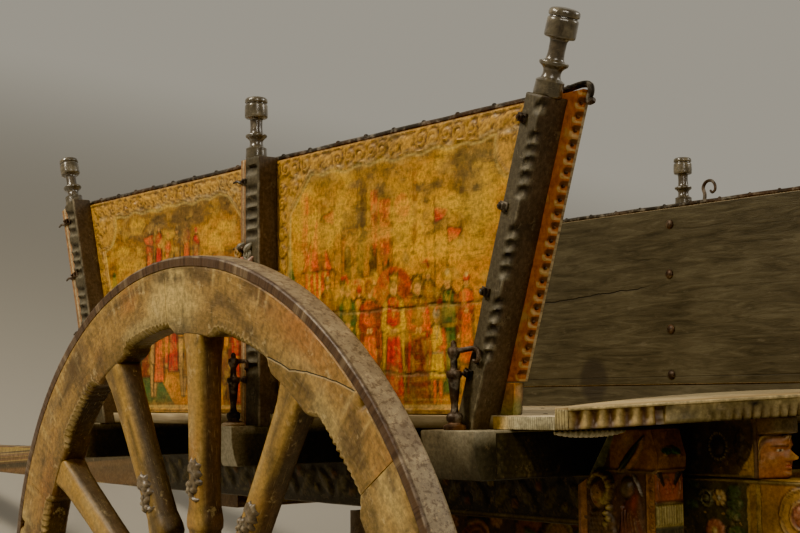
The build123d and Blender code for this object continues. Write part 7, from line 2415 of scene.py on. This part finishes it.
H.ridge([(-0.12, 0.73), (-0.105, 0.80), (-0.10, 0.895)], 0.0080, 0.0050).ridge([(0.12, 0.73), (0.105, 0.80), (0.10, 0.895)], 0.0080, 0.0050)
P.ell(0, 0.835, 0.036, 0.044, (0.60, 0.32, 0.10))                       # a winged child's head
H.dome(0, 0.835, 0.036, 0.044, h=0.0150)
H.dome(0, 0.828, 0.006, 0.010, h=0.0200)
for w in (1, -1):
    H.dome(w * 0.013, 0.842, 0.006, 0.0036, h=0.0175)
    P.ell(w * 0.013, 0.842, 0.0046, 0.0026, (0.05, 0.03, 0.02))
    P.line([(w * 0.006, 0.851), (w * 0.021, 0.850)], 0.0022, (0.12, 0.06, 0.03))
    for k in range(4):
        a0, b0 = (w * (0.034 + 0.004 * k), 0.842 - 0.014 * k), (w * (0.092 - 0.006 * k), 0.872 - 0.026 * k)
        H.leaf(a0, b0, 0.017, 0.0060, 0)
        P.ell((a0[0] + b0[0]) / 2, (a0[1] + b0[1]) / 2, 0.026, 0.007, (0.66, 0.50, 0.16) if k % 2 else (0.14, 0.22, 0.08), 0.85, w * (0.45 - 0.22 * k))
    x, k = 0.150, 0
    while x < 0.40:
        H.spiral(w * x, 0.860 if k % 2 else 0.790, 0.034, 1.9, w * (1 if k % 2 else -1), k, 0.0095, 0.0070)
        P.ell(w * x, 0.860 if k % 2 else 0.790, 0.032, 0.032, ((0.56, 0.36, 0.09), (0.50, 0.15, 0.05), (0.14, 0.18, 0.07))[k % 3], 0.75)
        H.leaf((w * (x - 0.018), 0.820), (w * (x + 0.030), 0.895 if k % 2 == 0 else 0.745), 0.026, 0.0060, 4)
        H.flower(w * (x + 0.004), 0.740 if k % 2 else 0.892, 0.017, 7, 0.0056)
        P.ell(w * (x + 0.004), 0.740 if k % 2 else 0.892, 0.016, 0.016, (0.60, 0.28, 0.12), 0.85)
        x += 0.054
        k += 1
    H.flower(w * 0.435, 0.736, 0.022, 8, 0.0060)
    P.ell(w * 0.435, 0.736, 0.020, 0.020, (0.60, 0.42, 0.10), 0.85)
P.line([(-0.008, 0.813), (0.008, 0.813)], 0.0034, (0.46, 0.09, 0.05))
for k in range(13):
    a = pi * (-0.08 + 1.16 * k / 12)
    H.dome(0.036 * cos(a), 0.846 + 0.036 * sin(a), 0.0085, h=0.0140)
    P.ell(0.036 * cos(a), 0.846 + 0.036 * sin(a), 0.0070, 0.0070, (0.34, 0.22, 0.06))
for k in range(9):
    x = -0.088 + 0.022 * k
    H.dome(x, 0.745, 0.0090, 0.0120, h=0.0060)
    P.ell(x, 0.745, 0.0080, 0.0110, (0.62, 0.44, 0.10) if k % 2 else (0.14, 0.20, 0.08))
for z in (0.7130, 0.9100):
    H.ridge([(-0.47, z), (0.47, z)], 0.0070, 0.0050)
    P.line([(-0.47, z), (0.47, z)], 0.0066, (0.50, 0.34, 0.09))
H.blur(1)
hi_case = lambda z: np.where(z < 0.763, 0.468, np.where(z < 0.838, c_(z) - 0.002, 0.398))
for w in (1, -1):
    S.lay(g, 160, 40, lambda a, b, h, w=w: np.stack([w * (0.0602 + h * 0.62), a, b], -1), lambda z: -hi_case(z), hi_case, edge=0.01, seed=17, k=0.0030)
make("axle_case_carved", g, M_carve, replaces=("axle_case",), col=True, angle=55)

# ================================================================== forged scrolls under the case
for name, xc in (("scrollwork_front", 0.065), ("scrollwork_rear", -0.065)):
    g = Geo()
    k_ = 1 if xc > 0 else -1
    ys = np.linspace(-0.2995, 0.2995, 90)
    tw = np.linspace(0, 18 * pi, 90)
    rings = []
    for y, a0 in zip(ys, tw):
        a = np.arange(12) * 2 * pi / 12
        sq = 0.0052 / np.maximum(np.abs(np.cos(a)), np.abs(np.sin(a))) ** 0.75
        rings.append(np.stack([xc + sq * np.cos(a + a0 * 0.5), np.full(12, y), 0.716 + 1.35 * sq * np.sin(a + a0 * 0.5)], -1))
    g.add(*fan_caps(rings), col=(0.5, 0.5, 0.5))
    for y in (-0.18, -0.06, 0.06, 0.18):
        a = np.linspace(0, 2 * pi, 56, endpoint=False)
        P3 = np.stack([np.full(56, xc), y + 0.047 * np.cos(a), 0.653 + 0.047 * np.sin(a)], -1)
        t3 = np.stack([a * 0, np.cos(a), np.sin(a)], -1)
        b = np.arange(10) * 2 * pi / 10
        r_ = 0.0046 * (1 + 0.10 * np.sin(a * 14))
        rings = P3[:, None] + r_[:, None, None] * (np.cos(b)[None, :, None] * t3[:, None] + np.sin(b)[None, :, None] * arr((1, 0, 0))[0])
        g.add(*loft(rings, loop=True))
        for w in (1, -1):
            t = np.linspace(0, 1, 40)
            aa = pi / 2 * w + w * t * 3.2 * pi
            rr2 = 0.0210 * (1 - 0.80 * t)
            cy, cz = y + w * 0.0215, 0.653
            path = np.stack([np.full(40, xc), cy + rr2 * np.cos(aa), cz + rr2 * np.sin(aa)], -1)
            g.add(*tube(path, np.linspace(0.0042, 0.0022, 40), 8, (1, 0, 0)))
            g.add(*lathe([(-0.0045, 0.001), (-0.003, 0.0040), (0, 0.0052), (0.003, 0.0040), (0.0045, 0.001)], (xc, cy, cz), (1, 0, 0), 12))
        g.add(*lathe([(-0.0070, 0.0062), (-0.0055, 0.0082), (0.0055, 0.0082), (0.0070, 0.0062)], (xc, y, 0.7020), (0, 0, 1), 12))
        path = curve(arr((xc, y, 0.604), (xc + k_ * 0.001, y + 0.003, 0.596), (xc, y + 0.006, 0.589), (xc, y, 0.584)), 6)
        g.add(*tube(path, np.linspace(0.0048, 0.0020, len(path)), 8, (1, 0, 0)))
    make(f"{name}_forged", g, M_rust, replaces=(name,))
    g = Geo()
    i = 0
    for y in (-0.27, -0.24, -0.12, 0.0, 0.12, 0.24, 0.27):
        for dz, r_ in ((0.0, 0.0105),):
            prof = [(-0.0002, 0.0035), (0.003, 0.0050), (0.0050, r_ * 0.8), (0.0085, r_), (0.0125, r_ * 0.86), (0.0155, r_ * 0.5), (0.0168, 0.0012)]
            c = ((0.66, 0.46, 0.11), (0.62, 0.30, 0.20), (0.62, 0.55, 0.34))[i % 3]
            lobes = lambda h, a: 1 + 0.10 * np.cos(a * 6)
            g.add(*lathe(finer(prof, 0.002), (xc + k_ * 0.0062, y, 0.716 + dz), (k_, 0, 0), 24, shape=lobes), col=c)
            i += 1
        g.add(*lathe([(-0.0002, 0.0030), (0.004, 0.0052), (0.008, 0.0040), (0.012, 0.0058), (0.016, 0.0020)], (xc, y, 0.7085), (0, 0, -1), 14), col=(0.60, 0.36, 0.16))
    make(f"{name}_knobs", g, M_carve, col=True)

# ================================================================== ironwork shown as it was made
M_iron_cad = iron("forged_iron_cad", coord="obj")
M_rust_cad = iron("rusty_iron_cad", (0.06, 0.038, 0.026), (0.22, 0.095, 0.035), (0.20, 0.14, 0.09), 0.8, coord="obj")
M_grease_cad = iron("greased_iron_cad", (0.05, 0.045, 0.04), (0.10, 0.06, 0.03), (0.35, 0.33, 0.30), 0.25, (0.22, 0.45), coord="obj")
keep(("axle", "hub_bush_left", "hub_bush_right"), M_grease_cad)
keep(("shaft_ferrules", "shaft_clamps"), M_rust_cad)
keep(("harness_eyes", "axle_nuts"), M_iron_cad)


# ================================================================== camera
yaw, pitch, roll = 0.8966, 0.0881, -0.0105
fw = Vector((sin(yaw) * cos(pitch), -cos(yaw) * cos(pitch), sin(pitch)))
right = fw.cross(Vector((0, 0, 1))).normalized()
up = right.cross(fw)
r2 = cos(roll) * right + sin(roll) * up
u2 = -sin(roll) * right + cos(roll) * up
cam_data = bpy.data.cameras.new("camera")
cam = bpy.data.objects.new("camera", cam_data)
bpy.context.scene.collection.objects.link(cam)
level_pose = Matrix((
    (r2.x, u2.x, -fw.x, -2.0625),
    (r2.y, u2.y, -fw.y, 1.9741),
    (r2.z, u2.z, -fw.z, 1.1208),
    (0, 0, 0, 1)))
cam.matrix_world = PARK @ level_pose
cam_data.sensor_width = 36
cam_data.lens = 1451.6753 * 36 / 800
cam_data.clip_start, cam_data.clip_end = 0.02, 900
bpy.context.scene.camera = cam

# ================================================================== stage and light
BACK = (0.54, 0.50, 0.41)
DIM, BRIGHT = 0.46, 1.15        # the room's glow, low in front of the cart and high behind it


def glow(tree, direction, out):
    """Strength that grows from one side of the room to the other."""
    n, d, r = (tree.nodes.new(x) for x in ("ShaderNodeVectorMath", "ShaderNodeVectorMath", "ShaderNodeMapRange"))
    n.operation, d.operation = "NORMALIZE", "DOT_PRODUCT"
    d.inputs[1].default_value = (0.78, -0.62, 0.0)
    r.interpolation_type = "SMOOTHSTEP"
    r.inputs["From Min"].default_value, r.inputs["From Max"].default_value = -0.1, 0.9
    r.inputs["To Min"].default_value, r.inputs["To Max"].default_value = DIM, BRIGHT
    tree.links.new(direction, n.inputs[0])
    tree.links.new(n.outputs["Vector"], d.inputs[0])
    tree.links.new(d.outputs["Value"], r.inputs["Value"])
    tree.links.new(r.outputs[0], out)


rings_ = [0, 3, 6, 10, 16, 26, 45, 90, 180, 400]
V_, F_ = [(0, 0, 0)], []
for i, r_ in enumerate(rings_[1:]):
    for j in range(48):
        a_ = j * 2 * pi / 48
        V_.append((r_ * cos(a_), r_ * sin(a_), 0))
for j in range(48):
    F_.append((0, 1 + j, 1 + (j + 1) % 48))
for i in range(len(rings_) - 2):
    for j in range(48):
        a_, b_ = 1 + i * 48 + j, 1 + i * 48 + (j + 1) % 48
        F_.append((a_, a_ + 48, b_ + 48, b_))
me = bpy.data.meshes.new("floor")
me.from_pydata(V_, [], F_)
floor = bpy.data.objects.new("floor", me)
bpy.context.scene.collection.objects.link(floor)
m = bpy.data.materials.new("floor_pale")
m.use_nodes = True
t = m.node_tree
b = t.nodes["Principled BSDF"]
b.inputs["Base Color"].default_value = (0.60, 0.565, 0.50, 1)
b.inputs["Roughness"].default_value = 0.95
b.inputs["Specular IOR Level"].default_value = 0.1
tc, ln, mr, em, mx = (t.nodes.new(x) for x in ("ShaderNodeTexCoord", "ShaderNodeVectorMath", "ShaderNodeMapRange", "ShaderNodeEmission", "ShaderNodeMixShader"))
ln.operation = "LENGTH"
t.links.new(tc.outputs["Object"], ln.inputs[0])
t.links.new(ln.outputs["Value"], mr.inputs["Value"])
mr.interpolation_type = "SMOOTHSTEP"
mr.inputs["From Min"].default_value, mr.inputs["From Max"].default_value = 2.5, 15
em.inputs["Color"].default_value = (*BACK, 1)
glow(t, tc.outputs["Object"], em.inputs["Strength"])
t.links.new(mr.outputs[0], mx.inputs[0])
t.links.new(b.outputs[0], mx.inputs[1])
t.links.new(em.outputs[0], mx.inputs[2])
t.links.new(mx.outputs[0], t.nodes["Material Output"].inputs["Surface"])
me.materials.append(m)
world = bpy.data.worlds.new("world")
bpy.context.scene.world = world
world.use_nodes = True
world.node_tree.nodes["Background"].inputs["Color"].default_value = (*BACK, 1)
wt = world.node_tree
glow(wt, wt.nodes.new("ShaderNodeTexCoord").outputs["Generated"], wt.nodes["Background"].inputs["Strength"])
bpy.context.scene.view_settings.look = "AgX - Punchy"


def area(name, loc, target, size, power, color=(1, 1, 1)):
    """A soft square light; loc and target are in the level cart's coordinates."""
    d = bpy.data.lights.new(name, "AREA")
    d.energy, d.size, d.color = power, size, color
    o = bpy.data.objects.new(name, d)
    bpy.context.scene.collection.objects.link(o)
    p, q = PARK @ Vector(loc), PARK @ Vector(target)
    o.location = p
    o.rotation_euler = (q - p).to_track_quat("-Z", "Y").to_euler()


area("key", (0.9, 3.6, 4.3), (-0.1, 0.4, 1.1), 0.9, 250, (1, 0.88, 0.68))
area("rear", (-3.0, 1.9, 2.9), (-0.4, 0.4, 1.1), 0.7, 46, (1, 0.90, 0.74))
area("back", (-2.6, -2.6, 3.2), (-0.3, 0, 1.2), 1.2, 60, (1, 0.92, 0.78))
